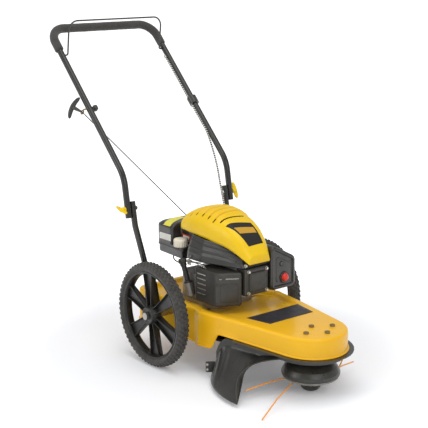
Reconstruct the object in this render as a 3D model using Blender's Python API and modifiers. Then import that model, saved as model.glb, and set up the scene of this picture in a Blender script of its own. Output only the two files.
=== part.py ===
"""Tall grass mower: a walk-behind string trimmer on two spoked wheels.

Metres, +Z up, +X towards the nose, +Y to the operator's left. Every place below is measured from the
axle frame, whose origin is on the ground under the wheel axle. The axle frame is then shifted along X
so that the whole machine is centred over the world's origin.
"""

import math

import bmesh
import bpy
from mathutils import Matrix, Vector

# Clearances
SEAT = 0.0003
RUNNING = 0.0002
BOLT_CLEARANCE = 0.0005

# Wheels and axle
WHEEL_RADIUS = 0.1778
TYRE_HEIGHT = 0.0298
RIM_RADIUS = WHEEL_RADIUS - TYRE_HEIGHT
TYRE_WIDTH = 0.0445
TYRE_LUG = 0.0055
TYRE_TEETH = 24
TRACK_HALF = 0.2490
RIM_DEPTH = 0.0100
RIM_WIDTH = 0.0360
SPOKES = 6
SPOKE_WIDTH = 0.0300
SPOKE_PLATE = 0.0200
SPOKE_WEB = 0.0050
SPOKE_RIB = 0.0055
HUB_RADIUS = 0.0300
HUB_LENGTH = 0.0500
AXLE_RADIUS = 0.0080
COLLAR_RADIUS = 0.0140
AXLE_NUT_RADIUS = 0.0125
AXLE_NUT_LENGTH = 0.0090

# Deck
DECK_TOP = 0.2120
DECK_SHEET = 0.0020
SHOULDER = 0.0090
FRONT_SKIRT_Z = 0.1550
REAR_SKIRT_Z = 0.1000
SKIRT_RISE_START = 0.2100
SKIRT_RISE_END = 0.2450
DECK_LIP = 0.0050
NOSE_X = 0.4900
NOSE_RADIUS = 0.1200
SIDE_TAPER = 0.1800
JOG_FRONT = 0.1550
JOG_REAR = 0.1200
REAR_HALF = 0.1680
REAR_X = -0.2150
REAR_CORNER = 0.0400
RECESS_DEPTH = 0.0120
RECESS_SLOPE = 0.0140
RECESS_MARGIN = 0.0380
RECESS_FRONT = 0.2900
NOSE_SLOPE = 0.0260
LIP_SLOPE = 0.0400
RING_SLOPE = 0.0250

# Skirt ring, belt cover and debris shield
RING_WALL = 0.0030
RING_INSET = 0.0060
RING_FLANGE = 0.0200
RING_BOTTOM = 0.1283
RING_START = 0.2620
BELT_COVER_SHEET = 0.0020
BELT_COVER_REAR = -0.0200
SHIELD_SHEET = 0.0030
SHIELD_CENTRE_X = 0.5050
SHIELD_START = 0.2420
SHIELD_END = 0.5000
SHIELD_TIP = Vector((0.4650, -0.2820, 0.0140))
SHIELD_CURVE = Vector((0.3375, -0.2110, 0.1090))
SHIELD_REAR_RADIUS = 0.3360
SHIELD_REAR_ANGLE = math.radians(-147.6)
SHIELD_REAR_Z = 0.0150
SHIELD_UPRIGHT = 0.0230
SHIELD_TOP_PACE = 1.55
SHIELD_FLARE = 1.15
SHIELD_UPRIGHT_SHARE = 0.35
SHIELD_OFFSET = -0.0010
SHIELD_EAR_OFFSET = 0.0125
SHIELD_EAR_END = 0.2620
SHIELD_EAR_RUN = 0.0380
SHIELD_EAR = ((0.2420, 0.0980), (0.2490, 0.1160), (0.2570, 0.1300), (0.2660, 0.1420), (0.2770, 0.1485))
SHIELD_BOLT_RADIUS = 0.0030
SHIELD_HEAD_RADIUS = 0.0060
SHIELD_BOLT_X = (0.3120, 0.4300)
SHIELD_BOLT_Z = 0.1425

# Belt drive
CRANK_X = 0.0550
ENGINE_Y = -0.0080
SPINDLE_X = 0.4970
ENGINE_PULLEY = 0.0280
SPINDLE_PULLEY = 0.0340
PULLEY_FLANGE = 0.0080
PULLEY_HEIGHT = 0.0180
BELT_Z = 0.1490
BELT_HEIGHT = 0.0090
BELT_DEPTH = 0.0070
CRANK_RADIUS = 0.0125
SPINDLE_RADIUS = 0.0100

# Spindle housing on the nose
NOSE_BOLT_X = 0.5320
NOSE_BOLT_HALF_X = 0.0350
NOSE_BOLT_HALF_Y = 0.0573
NOSE_BOLT_RADIUS = 0.0040
NOSE_BOLT_HEAD = 0.0085
NOSE_BOLT_HEAD_HEIGHT = 0.0060
HOUSING_FLANGE = 0.0100
HOUSING_HUB_RADIUS = 0.0280
HOUSING_HUB_BOTTOM = 0.1620

# Trimmer head
BALL_TOP = 0.0285
BALL_RADIUS = 0.0340
BALL_FOOT = 0.0130
RETAINER_BOTTOM = 0.0300
RETAINER_TOP = 0.0370
RETAINER_RADIUS = 0.0640
LINE_SLOT = 0.0070
LINE_RADIUS = 0.0023
LINE_PLAY = 0.0007
LINE_MOUTH = 0.0480
LOOP_STEPS = 6
LINE_NEAR_TIPS = ((-0.0670, -0.2160, 0.0300), (0.0920, -0.2900, 0.0060))
LINE_FAR_TIPS = ((0.0205, -0.1800, 0.0800), (0.0270, -0.2240, 0.0300))
POST_RADIUS = 0.0060
POST_CIRCLE = 0.0500
HEAD_TOP = 0.1120
HEAD_COLLAR_RADIUS = 0.0360
HEAD_COLLAR_HEIGHT = 0.0080
HEAD_DISC_RADIUS = 0.0935
HEAD_DOME = ((0.60, 0.82), (0.72, 0.74), (0.86, 0.60), (0.96, 0.42), (1.00, 0.26), (0.97, 0.13), (0.89, 0.0))
RETAINER_TAPER = 0.72

# Crankcase, cylinder and exhaust
SUMP_REAR = 0.0950
SUMP_FRONT = 0.0850
SUMP_HALF = 0.0980
SUMP_TOP = 0.3000
FOOT_HEIGHT = 0.0140
BLOWER_BASE_RADIUS = 0.0700
BLOWER_BASE_DISC = 0.0100
BLOWER_BASE_TOP = 0.3517
CYLINDER_FRONT = 0.1680
CYLINDER_HALF = 0.0500
CYLINDER_LOW = 0.2450
CYLINDER_HIGH = 0.3460
FIN_SLOTS = 4
FIN_SLOT_WIDTH = 0.0050
HEAD_FRONT = 0.2100
VALVE_COVER_FRONT = 0.2580
VALVE_COVER_LOW = 0.2580
PRESSING_WALL = 0.0070
VALVE_COVER_HIGH = 0.3510
GUARD_LOW = Vector((0.0860, -0.1390, 0.2260))
GUARD_HIGH = Vector((0.1950, -0.0640, 0.3405))
GUARD_TIP = 0.2410
GUARD_SHEET = 0.0015
GUARD_LOUVRES = 5
GUARD_LOUVRE_START = 0.0100
GUARD_LOUVRE_LENGTH = 0.0480
GUARD_LOUVRE_WIDTH = 0.0045
GUARD_SLOT_DROP = 0.0205
GUARD_SLOTS = ((0.0120, 0.0220), (0.0330, 0.0780))
GUARD_GAP = 0.0015
SPRING_RISE = 0.0075
SPRING_RUN = Vector((0.0400, -0.0030, -0.0010))
MUFFLER_INSET = 0.0180
MUFFLER_WALL = 0.0020

# Blower housing, fuel tank and top cover
SHROUD_SHEET = 0.0025
SHROUD_REAR = -0.0180
SHROUD_FRONT = 0.2480
SHROUD_HALF = 0.1150
SHROUD_FRONT_HALF = 0.0600
SHROUD_FLANGE = 0.7200
COVER_SHEET = 0.0022
COVER_REAR = -0.0600
COVER_ARCH_STEPS = 10
COVER_RIBS = 5
COVER_RIB_HEIGHT = 0.0022
COVER_RIB_START = -0.0400
COVER_RIB_END = 0.1050
COVER_REAR_STATIONS = (-0.0560, -0.0500)
COVER_FRONT_STATIONS = (0.1220, 0.1400, 0.1600, 0.1800, 0.2000, 0.2150, 0.2280, 0.2400, 0.2520, 0.2620)
COVER_HALVES = ((-0.0600, 0.0720), (-0.0540, 0.0770), (-0.0200, 0.0850), (0.0300, 0.0904), (0.0800, 0.0896),
                (0.1300, 0.0840), (0.1700, 0.0763), (0.2050, 0.0685), (0.2350, 0.0585), (0.2620, 0.0439))
COVER_EDGES = ((-0.0600, 0.4410), (-0.0200, 0.4389), (0.0300, 0.4371), (0.0800, 0.4324), (0.1300, 0.4254),
               (0.1700, 0.4171), (0.2050, 0.4054), (0.2350, 0.3884), (0.2620, 0.3667))
COVER_CROWNS = ((-0.0600, 0.4740), (-0.0540, 0.4830), (-0.0400, 0.4930), (-0.0200, 0.5035), (0.0300, 0.5177),
                (0.0800, 0.5188), (0.1300, 0.5080), (0.1700, 0.4896), (0.2050, 0.4652), (0.2350, 0.4332),
                (0.2620, 0.3946))
COVER_SLOTS = 5
COVER_SLOT_START = -0.0300
COVER_SLOT_PITCH = 0.0300
COVER_SLOT_HALF = 0.0030
COVER_SLOT_LOW = -0.0640
COVER_SLOT_HIGH = -0.0480
COVER_CROSS_SLOT = 0.1325
COVER_CROSS_HALF = 0.0480
TANK_REAR = -0.1880
TANK_HALF = 0.1000
TANK_LOW = 0.3380
TANK_HIGH = 0.4370
TANK_EDGE = 0.0080
TANK_CROWN_FRONT = -0.0640
TANK_CROWN = ((0.920, 0.0070), (0.820, 0.0150), (0.600, 0.0210))
TANK_NOTCH = Vector((-0.0840, -0.0520, 0.3760))
FUEL_CAP_PLACE = Vector((-0.0490, -0.0900, 0.3763))
FUEL_CAP_RADIUS = 0.0250
FUEL_CAP_HEIGHT = 0.0280
FUEL_NECK_RADIUS = 0.0150
FUEL_NECK_HEIGHT = 0.0120
REEL_LOW = 0.4360
REEL_HEIGHT = 0.0200
REEL_RADIUS = 0.0350
REEL_POST = 0.0080
FLYWHEEL_LOW = 0.3680
FLYWHEEL_HEIGHT = 0.0200
FLYWHEEL_RADIUS = 0.0600
OIL_TUBE_RADIUS = 0.0090
OIL_TUBE_PLACES = ((0.0260, -0.1190, 0.2700), (0.0200, -0.1220, 0.2950), (0.0080, -0.1260, 0.3350))
OIL_CAP_RADIUS = 0.0140
OIL_CAP_HEIGHT = 0.0160

# Air cleaner, carburettor and plug
CLEANER_INNER = 0.0450
CLEANER_OUTER = 0.1550
CLEANER_LOW = 0.2600
CLEANER_HIGH_INNER = 0.4200
CLEANER_HIGH_OUTER = 0.3620
CLEANER_BASE_REAR = 0.1950
CLEANER_SPLIT = 0.2200
CLEANER_FRONT = 0.2620
PRIMER_Y = 0.1050
PRIMER_Z = 0.2980
PRIMER_RADIUS = 0.0145
PRIMER_LENGTH = 0.0180
PRIMER_TRAVEL = 0.0040
BOOT_SETBACK = 0.0120
BOOT_RISE = 0.0055
BOOT_RADIUS = 0.0075
BOOT_START = 0.0600
BOOT_END = 0.1080

# Handle
HANDLE_HALF = 0.2267
UPPER_RADIUS = 0.0110
LOWER_RADIUS = 0.0105
TUBE_WALL = 0.0018
PIVOT_X = -0.1641
PIVOT_Z = 0.5068
BEND_X = -0.1825
BEND_Z = 0.6164
TOP_X = -0.6293
TOP_Z = 1.0881
UPPER_END_Z = 0.4760
LOWER_END_Z = 0.5300
CORNER_RADIUS = 0.0600
HANDLE_STEPS = 3
GRIP_RADIUS = 0.0165
GRIP_LEG = 0.1000
BRACKET_SHEET = 0.0030
BRACKET_LOW = 0.1300
BRACKET_HIGH = 0.2600
HANDLE_BOLT_RADIUS = 0.0032
KNOB_HUB_RADIUS = 0.0090
KNOB_LENGTH = 0.0200
KNOB_WING = 0.0260

# Bail, cable, starter rope
BAIL_RADIUS = 0.0030
BAIL_INSET = 0.0237
BAIL_SHARE = 0.8133
BAIL_TOP = Vector((0.0993, 0.0, 0.0319))
CABLE_RADIUS = 0.0025
CABLE_FREE = ((-0.2350, 0.080, 0.6600), (-0.1900, 0.237, 0.6000), (-0.1400, 0.499, 0.5350),
              (-0.0800, 0.803, 0.4700))
CABLE_END = Vector((0.0000, 0.1172, 0.4040))
SLEEVE_RADIUS = 0.0180
SLEEVE_SHARE = 0.4260
SLEEVE_LENGTH = 0.0300
ROPE_RADIUS = 0.0018
GUIDE_WIRE = 0.0025
GUIDE_FRACTION = 0.4450
GUIDE_RISE = -0.0165
GUIDE_OUT = 0.0215
GUIDE_LOOP = 0.0065
GUIDE_KNOB_RADIUS = 0.0110
GUIDE_KNOB_LENGTH = 0.0200
STARTER_AXIS = Vector((-0.8800, -0.3300, 0.3500)).normalized()
STARTER_REACH = 0.0450
STARTER_HALF = 0.0410
ROPE_PORT = Vector((-0.0620, -0.0470, 0.4700))

# The machine reaches from the grip's rear to the skirt ring's front, and is centred over the origin
FRONT_REACH = NOSE_X + NOSE_RADIUS + RING_FLANGE
REAR_REACH = TOP_X - GRIP_RADIUS
AXLE_X = -(FRONT_REACH + REAR_REACH) / 2.0

FINISHES = {
    "yellow_paint": ((0.86, 0.47, 0.03), 0.30, 0.0),
    "yellow_plastic": ((0.87, 0.62, 0.03), 0.35, 0.0),
    "black_paint": ((0.02, 0.02, 0.02), 0.35, 0.0),
    "black_plastic": ((0.03, 0.03, 0.028), 0.55, 0.0),
    "rubber": ((0.03, 0.028, 0.026), 0.85, 0.0),
    "foam": ((0.05, 0.048, 0.045), 0.90, 0.0),
    "steel": ((0.55, 0.55, 0.56), 0.35, 1.0),
    "cast_aluminium": ((0.35, 0.35, 0.35), 0.55, 0.8),
    "orange_nylon": ((0.85, 0.27, 0.04), 0.40, 0.0),
    "red_rubber": ((0.75, 0.05, 0.03), 0.45, 0.0),
    "cream_plastic": ((0.70, 0.63, 0.48), 0.45, 0.0),
    "grey_rope": ((0.25, 0.25, 0.24), 0.85, 0.0),
}


# Scene, collections and frames

for leftover in list(bpy.data.objects):
    bpy.data.objects.remove(leftover, do_unlink=True)


def new_collection(name):
    collection = bpy.data.collections.new(name)
    bpy.context.scene.collection.children.link(collection)
    return collection


PARTS = new_collection("tall_grass_mower")
CUTTERS = new_collection("cutters")


def new_pivot(name, place):
    """An empty on a joint's axis, which carries the pieces that move about it."""
    pivot = bpy.data.objects.new(name, None)
    PARTS.objects.link(pivot)
    pivot.location = place
    return pivot


AXLE_FRAME = new_pivot("axle_frame", (0.0, 0.0, 0.0))


def new_moving_pivot(name, place):
    pivot = new_pivot(name, place)
    pivot.parent = AXLE_FRAME
    return pivot


# Materials and placing


def paint(obj, finish):
    colour, roughness, metallic = FINISHES[finish]
    material = bpy.data.materials.new(obj.name + "_" + finish)
    material.use_nodes = True
    shader = material.node_tree.nodes["Principled BSDF"]
    shader.inputs["Base Color"].default_value = (*colour, 1.0)
    shader.inputs["Roughness"].default_value = roughness
    shader.inputs["Metallic"].default_value = metallic
    obj.data.materials.append(material)


def part(obj, finish, pivot=None):
    """Makes the object a finished piece, carried by the axle frame or by a joint's pivot."""
    paint(obj, finish)
    carry(obj, pivot)
    if obj.type == "MESH":
        obj.data.shade_smooth()
        obj.data.set_sharp_from_angle(angle=math.radians(35.0))
    return obj


def carry(obj, pivot=None):
    obj.parent = pivot or AXLE_FRAME
    if pivot is not None:
        obj.location = obj.location - pivot.location


def as_tool(obj):
    """Turns the object into a hidden cutter or joining piece."""
    for collection in list(obj.users_collection):
        collection.objects.unlink(obj)
    CUTTERS.objects.link(obj)
    obj.parent = AXLE_FRAME
    obj.hide_render = True
    obj.display_type = "WIRE"
    return obj


def cut(target, tool, solver="EXACT"):
    combine(target, tool, "DIFFERENCE", solver)


def join(target, tool, solver="EXACT"):
    combine(target, tool, "UNION", solver)


def combine(target, tool, operation, solver):
    modifier = target.modifiers.new(operation.lower(), "BOOLEAN")
    modifier.operation = operation
    modifier.solver = solver
    modifier.object = as_tool(tool)


def bevel(obj, width, segments=2, angle=40.0):
    modifier = obj.modifiers.new("bevel", "BEVEL")
    modifier.width = width
    modifier.segments = segments
    modifier.limit_method = "ANGLE"
    modifier.angle_limit = math.radians(angle)


def thicken(obj, thickness, offset=-1.0):
    modifier = obj.modifiers.new("sheet", "SOLIDIFY")
    modifier.thickness = thickness
    modifier.offset = offset
    modifier.use_even_offset = True


# Shape tools


def mesh_object(name, bm):
    mesh = bpy.data.meshes.new(name)
    bm.to_mesh(mesh)
    bm.free()
    obj = bpy.data.objects.new(name, mesh)
    PARTS.objects.link(obj)
    return obj


def add_box(bm, low, high, turn=None):
    low, high = Vector(low), Vector(high)
    size = high - low
    place = Matrix.Translation((low + high) / 2.0)
    if turn is not None:
        place = place @ turn
    scale = Matrix.Diagonal((size.x, size.y, size.z, 1.0))
    bmesh.ops.create_cube(bm, size=1.0, matrix=place @ scale)


def box(name, low, high):
    bm = bmesh.new()
    add_box(bm, low, high)
    return mesh_object(name, bm)


def boxes(name, corners):
    """Several boxes in one mesh, as a tool that cuts them all at once."""
    bm = bmesh.new()
    for low, high in corners:
        add_box(bm, low, high)
    return mesh_object(name, bm)


def turn_to(direction):
    return Vector(direction).to_track_quat("Z", "Y").to_matrix().to_4x4()


def add_rod(bm, start, end, radius, sides=24, end_radius=None):
    start, end = Vector(start), Vector(end)
    along = end - start
    place = Matrix.Translation((start + end) / 2.0) @ turn_to(along)
    bmesh.ops.create_cone(
        bm,
        cap_ends=True,
        segments=sides,
        radius1=radius,
        radius2=radius if end_radius is None else end_radius,
        depth=along.length,
        matrix=place,
    )


def rod(name, start, end, radius, sides=24, end_radius=None):
    bm = bmesh.new()
    add_rod(bm, start, end, radius, sides, end_radius)
    return mesh_object(name, bm)


def rods(name, runs, sides=16):
    """Several rods in one mesh, each a start, an end and a radius."""
    bm = bmesh.new()
    for start, end, radius in runs:
        add_rod(bm, start, end, radius, sides)
    return mesh_object(name, bm)


def turned(name, profile, place, axis=(0.0, 0.0, 1.0), steps=32, closed=False):
    """A profile of (radius, height) points, run down the outer side, turned about an axis."""
    mesh = bpy.data.meshes.new(name)
    points = [(radius, 0.0, height) for radius, height in profile]
    edges = [(i, i + 1) for i in range(len(points) - 1)]
    if closed:
        edges.append((len(points) - 1, 0))
    mesh.from_pydata(points, edges, [])
    obj = bpy.data.objects.new(name, mesh)
    PARTS.objects.link(obj)
    obj.matrix_world = Matrix.Translation(place) @ turn_to(axis)
    screw = obj.modifiers.new("turn", "SCREW")
    screw.axis = "Z"
    screw.angle = math.tau
    screw.steps = steps
    screw.render_steps = steps
    screw.use_merge_vertices = True
    screw.merge_threshold = 0.00001
    return obj


def curve_object(name, dimensions):
    curve = bpy.data.curves.new(name, "CURVE")
    curve.dimensions = dimensions
    obj = bpy.data.objects.new(name, curve)
    PARTS.objects.link(obj)
    return obj


def add_spline(curve, points, cyclic):
    spline = curve.splines.new("POLY")
    spline.points.add(len(points) - 1)
    for spline_point, point in zip(spline.points, points):
        spline_point.co = (*point, 1.0) if len(point) == 3 else (*point, 0.0, 1.0)
    spline.use_cyclic_u = cyclic


def tube(name, points, radius, resolution=2):
    obj = curve_object(name, "3D")
    obj.data.bevel_depth = radius
    obj.data.bevel_resolution = resolution
    obj.data.use_fill_caps = True
    add_spline(obj.data, points, False)
    return obj


def plate(name, outlines, low, high, plane="XY"):
    """Flat outlines, the first the border and the rest holes, given a thickness along the plane's normal."""
    obj = curve_object(name, "2D")
    obj.data.fill_mode = "BOTH"
    obj.data.extrude = (high - low) / 2.0
    for outline in outlines:
        add_spline(obj.data, outline, True)
    middle = (low + high) / 2.0
    if plane == "XY":
        obj.location = (0.0, 0.0, middle)
    elif plane == "XZ":
        obj.matrix_world = Matrix.Translation((0.0, middle, 0.0)) @ Matrix.Rotation(math.pi / 2.0, 4, "X")
    else:
        standing = Matrix.Rotation(math.pi / 2.0, 4, "Z") @ Matrix.Rotation(math.pi / 2.0, 4, "X")
        obj.matrix_world = Matrix.Translation((middle, 0.0, 0.0)) @ standing
    return obj


def as_mesh(obj):
    """The same object as a welded mesh, so that it can be cut or joined."""
    bpy.context.view_layer.update()
    graph = bpy.context.evaluated_depsgraph_get()
    mesh = bpy.data.meshes.new_from_object(obj.evaluated_get(graph))
    bm = bmesh.new()
    bm.from_mesh(mesh)
    bmesh.ops.remove_doubles(bm, verts=bm.verts, dist=0.000002)
    bmesh.ops.recalc_face_normals(bm, faces=bm.faces)
    bm.to_mesh(mesh)
    bm.free()
    name, place = obj.name, obj.matrix_world.copy()
    bpy.data.objects.remove(obj, do_unlink=True)
    solid = bpy.data.objects.new(name, mesh)
    PARTS.objects.link(solid)
    solid.matrix_world = place
    return solid


def loft(name, rows, closed_row=True, ring=False, ends=True):
    """Rows of points joined one to the next, with the end rows filled, or the last joined to the first."""
    bm = bmesh.new()
    rings = [[bm.verts.new(point) for point in row] for row in rows]
    pairs = list(zip(rings, rings[1:]))
    if ring:
        pairs.append((rings[-1], rings[0]))
    count = len(rows[0])
    for first, second in pairs:
        for i in range(count if closed_row else count - 1):
            j = (i + 1) % count
            bm.faces.new((first[i], first[j], second[j], second[i]))
    if ends and not ring:
        bm.faces.new(rings[0])
        bm.faces.new(rings[-1])
    bmesh.ops.recalc_face_normals(bm, faces=bm.faces)
    return mesh_object(name, bm)


def rounded(corners, steps=4, closed=False):
    """Corner points, each with its own radius, joined by straight runs and arcs."""
    points = []
    count = len(corners)
    for i, (corner, radius) in enumerate(corners):
        corner = Vector(corner)
        if radius <= 0.0 or (not closed and i in (0, count - 1)):
            points.append(corner)
            continue
        back = (Vector(corners[i - 1][0]) - corner).normalized()
        ahead = (Vector(corners[(i + 1) % count][0]) - corner).normalized()
        half = back.angle(ahead) / 2.0
        run = radius / math.tan(half)
        middle = corner + (back + ahead).normalized() * (radius / math.sin(half))
        start = corner + back * run - middle
        end = corner + ahead * run - middle
        sweep = start.angle(end)
        for k in range(steps + 1):
            share = k / steps
            part_start = math.sin((1.0 - share) * sweep) / math.sin(sweep)
            part_end = math.sin(share * sweep) / math.sin(sweep)
            points.append(middle + start * part_start + end * part_end)
    return points


def divided(points, longest, closed=False):
    """The same line with no straight run longer than stated."""
    result = []
    pairs = list(zip(points, points[1:]))
    if closed:
        pairs.append((points[-1], points[0]))
    for start, end in pairs:
        pieces = max(1, math.ceil((end - start).length / longest))
        result += [start.lerp(end, k / pieces) for k in range(pieces)]
    if not closed:
        result.append(points[-1])
    return result


def smooth_step(low, high, value):
    share = min(1.0, max(0.0, (value - low) / (high - low)))
    return share * share * (3.0 - 2.0 * share)


def blend(stops, value):
    """Reads a value from (place, value) stops with straight runs between them."""
    if value <= stops[0][0]:
        return stops[0][1]
    for (x0, v0), (x1, v1) in zip(stops, stops[1:]):
        if value <= x1:
            return v0 + (v1 - v0) * (value - x0) / (x1 - x0)
    return stops[-1][1]


def circle(centre, radius, count, start=0.0):
    return [
        Vector((centre[0] + radius * math.cos(start + math.tau * k / count),
                centre[1] + radius * math.sin(start + math.tau * k / count)))
        for k in range(count)
    ]


# Wheels


def tyre_section(step):
    """One section of the tyre at an angular step: lugs stand on alternate steps of the two shoulders."""
    half = TYRE_WIDTH / 2.0
    bead = RIM_RADIUS + SEAT
    ground = WHEEL_RADIUS
    groove = WHEEL_RADIUS - TYRE_LUG
    even = step % 2 == 0
    centre = ground if even else groove
    left = ground - 0.001 if even else groove
    right = groove if even else ground - 0.001
    return [
        (bead, -half * 0.80),
        (groove - 0.006, -half),
        (left, -half * 0.86),
        (left, -half * 0.42),
        (centre, -half * 0.28),
        (centre, half * 0.28),
        (right, half * 0.42),
        (right, half * 0.86),
        (groove - 0.006, half),
        (bead, half * 0.80),
    ]


def build_tyre(name, side, pivot):
    steps = TYRE_TEETH * 2
    rows = []
    for step in range(steps):
        angle = math.tau * step / steps - math.pi / 2.0
        rows.append([
            (r * math.cos(angle), side * TRACK_HALF + y, WHEEL_RADIUS + r * math.sin(angle))
            for r, y in tyre_section(step)
        ])
    part(loft(name, rows, ring=True), "rubber", pivot)


def wheel_place(side):
    return Vector((0.0, side * TRACK_HALF, WHEEL_RADIUS))


def spoke_opening(index):
    """One rounded opening between two spokes, as a flat outline about the hub."""
    inner, outer = HUB_RADIUS + 0.012, RIM_RADIUS - RIM_DEPTH - 0.006
    gap = math.tau / SPOKES
    corners = []
    for radius, end in ((inner, 0), (outer, 0), (outer, 1), (inner, 1)):
        lean = math.asin(SPOKE_WIDTH / 2.0 / radius)
        angle = gap * index + (lean if end == 0 else gap - lean)
        corners.append((Vector((radius * math.cos(angle), radius * math.sin(angle))), 0.006))
    return rounded(corners, 2, closed=True)


def spoke_pockets(name, side):
    """Shallow pockets in both faces of each spoke, which leave its two edge ribs."""
    bm = bmesh.new()
    low, high = HUB_RADIUS + 0.014, RIM_RADIUS - RIM_DEPTH - 0.008
    half = SPOKE_WIDTH / 2.0 - SPOKE_RIB
    for index in range(SPOKES):
        spin = Matrix.Rotation(math.tau * index / SPOKES, 4, "Y")
        for face in (-1.0, 1.0):
            inside, outside = face * SPOKE_WEB / 2.0, face * SPOKE_PLATE
            middle = (inside + outside) / 2.0
            place = Matrix.Translation(wheel_place(side)) @ spin
            place = place @ Matrix.Translation(((low + high) / 2.0, middle, 0.0))
            size = Matrix.Diagonal((high - low, abs(outside - inside), half * 2.0, 1.0))
            bmesh.ops.create_cube(bm, size=1.0, matrix=place @ size)
    return mesh_object(name, bm)


def build_rim(name, side, pivot):
    """The moulded wheel: a channel rim, six double-ribbed spokes and a hub."""
    half = RIM_WIDTH / 2.0
    lip = 0.004
    rim = turned(
        name,
        [
            (RIM_RADIUS, half),
            (RIM_RADIUS, -half),
            (RIM_RADIUS - lip, -half),
            (RIM_RADIUS - RIM_DEPTH, -half * 0.5),
            (RIM_RADIUS - RIM_DEPTH, half * 0.5),
            (RIM_RADIUS - lip, half),
        ],
        wheel_place(side), (0.0, 1.0, 0.0), 36, closed=True,
    )
    outline = circle((0.0, 0.0), RIM_RADIUS - RIM_DEPTH * 0.4, 36)
    openings = [spoke_opening(index) for index in range(SPOKES)]
    middle = side * TRACK_HALF
    spokes = plate(name + "_spokes", [outline] + openings, middle - SPOKE_PLATE / 2.0,
                   middle + SPOKE_PLATE / 2.0, "XZ")
    spokes.location.z = WHEEL_RADIUS
    spokes = as_mesh(spokes)
    hub_half = HUB_LENGTH / 2.0
    hub = turned(
        name + "_hub",
        [
            (0.0, hub_half),
            (HUB_RADIUS * 0.6, hub_half),
            (HUB_RADIUS * 1.15, SPOKE_PLATE * 0.45),
            (HUB_RADIUS * 1.15, -SPOKE_PLATE * 0.45),
            (HUB_RADIUS * 0.6, -hub_half),
            (0.0, -hub_half),
        ],
        wheel_place(side), (0.0, 1.0, 0.0), 18,
    )
    join(rim, spokes)
    join(rim, hub)
    cut(rim, spoke_pockets(name + "_pockets", side))
    reach = Vector((0.0, HUB_LENGTH, 0.0))
    place = wheel_place(side)
    cut(rim, rod(name + "_bore", place - reach, place + reach, AXLE_RADIUS + RUNNING * 2.0, 24))
    part(rim, "black_plastic", pivot)


def hub_inner():
    return TRACK_HALF - HUB_LENGTH / 2.0


def build_axle():
    """The axle with a collar beside each wheel and the nut that holds the wheel on."""
    inner, outer = hub_inner() - RUNNING, hub_inner() + HUB_LENGTH + RUNNING
    wall = REAR_HALF + SEAT
    half = [
        (AXLE_NUT_RADIUS, outer + AXLE_NUT_LENGTH),
        (AXLE_NUT_RADIUS, outer),
        (AXLE_RADIUS, outer),
        (AXLE_RADIUS, inner),
        (COLLAR_RADIUS, inner),
        (COLLAR_RADIUS, wall),
        (AXLE_RADIUS, wall),
    ]
    profile = [(0.0, half[0][1])] + half + [(r, -y) for r, y in reversed(half)] + [(0.0, -half[0][1])]
    part(turned("wheel_axle", profile, (0.0, 0.0, WHEEL_RADIUS), (0.0, 1.0, 0.0), 16), "steel")


# Deck outline


def deck_outline():
    """The outer face of the deck's walls seen from above, a closed line with its nose arc."""
    lean = math.atan(SIDE_TAPER)
    half_at_nose = NOSE_RADIUS / math.cos(lean)
    apex = NOSE_X + half_at_nose / SIDE_TAPER
    jog_half = half_at_nose + SIDE_TAPER * (NOSE_X - JOG_FRONT)
    side = [
        (Vector((REAR_X, REAR_HALF)), REAR_CORNER),
        (Vector((JOG_REAR, REAR_HALF)), 0.010),
        (Vector((JOG_FRONT, jog_half)), 0.010),
    ]
    for x in (SKIRT_RISE_START, (SKIRT_RISE_START + SKIRT_RISE_END) / 2.0, SKIRT_RISE_END, RING_START):
        side.append((Vector((x, half_at_nose + SIDE_TAPER * (NOSE_X - x))), 0.0))
    mirrored = [(Vector((p.x, -p.y)), r) for p, r in reversed(side)]
    rear_left, jog = side[:1], side[1:]
    tip = [(Vector((apex, 0.0)), 0.0)]
    points = rounded(mirrored + rear_left + jog + tip, 4, closed=True)
    nose_steps = 16
    start = math.pi / 2.0 - lean
    nose = [
        Vector((NOSE_X + NOSE_RADIUS * math.cos(start - 2.0 * start * k / nose_steps),
                NOSE_RADIUS * math.sin(start - 2.0 * start * k / nose_steps)))
        for k in range(nose_steps + 1)
    ]
    apex_index = max(range(len(points)), key=lambda i: points[i].x)
    walls = points[apex_index + 1:] + points[:apex_index]
    return divided(nose + walls, 0.055, closed=True)


def outward(outline):
    """The unit direction away from the deck at each point of the outline."""
    normals = []
    count = len(outline)
    for i in range(count):
        along = (outline[(i + 1) % count] - outline[i]).normalized()
        along += (outline[i] - outline[i - 1]).normalized()
        along.normalize()
        normals.append(Vector((-along.y, along.x)))
    return normals


OUTLINE = deck_outline()
OUTWARD = outward(OUTLINE)


def offset_row(distance, height):
    row = []
    for point, normal in zip(OUTLINE, OUTWARD):
        place = point + normal * distance
        row.append((place.x, place.y, height(place) if callable(height) else height))
    return row


def nose_plane(x):
    """Height of the deck's top at x: level as far as the recess, then falling a little to the nose."""
    return DECK_TOP - NOSE_SLOPE * max(0.0, x - RECESS_FRONT - RECESS_SLOPE)


def lip_drop(x):
    """How much lower the lip and the ring's flange lie at x than where the ring starts."""
    return LIP_SLOPE * max(0.0, x - RING_START)


def skirt_bottom(point):
    rise = smooth_step(SKIRT_RISE_START, SKIRT_RISE_END, point.x)
    return REAR_SKIRT_Z + (FRONT_SKIRT_Z - REAR_SKIRT_Z) * rise - lip_drop(point.x)


def recess_row(extra, height):
    """The engine recess: the deck's outline drawn in, and cut straight across at its front."""
    row = []
    for x, y, _ in offset_row(-RECESS_MARGIN + extra, 0.0):
        row.append((min(x, RECESS_FRONT + extra), y, height))
    return row


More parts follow.
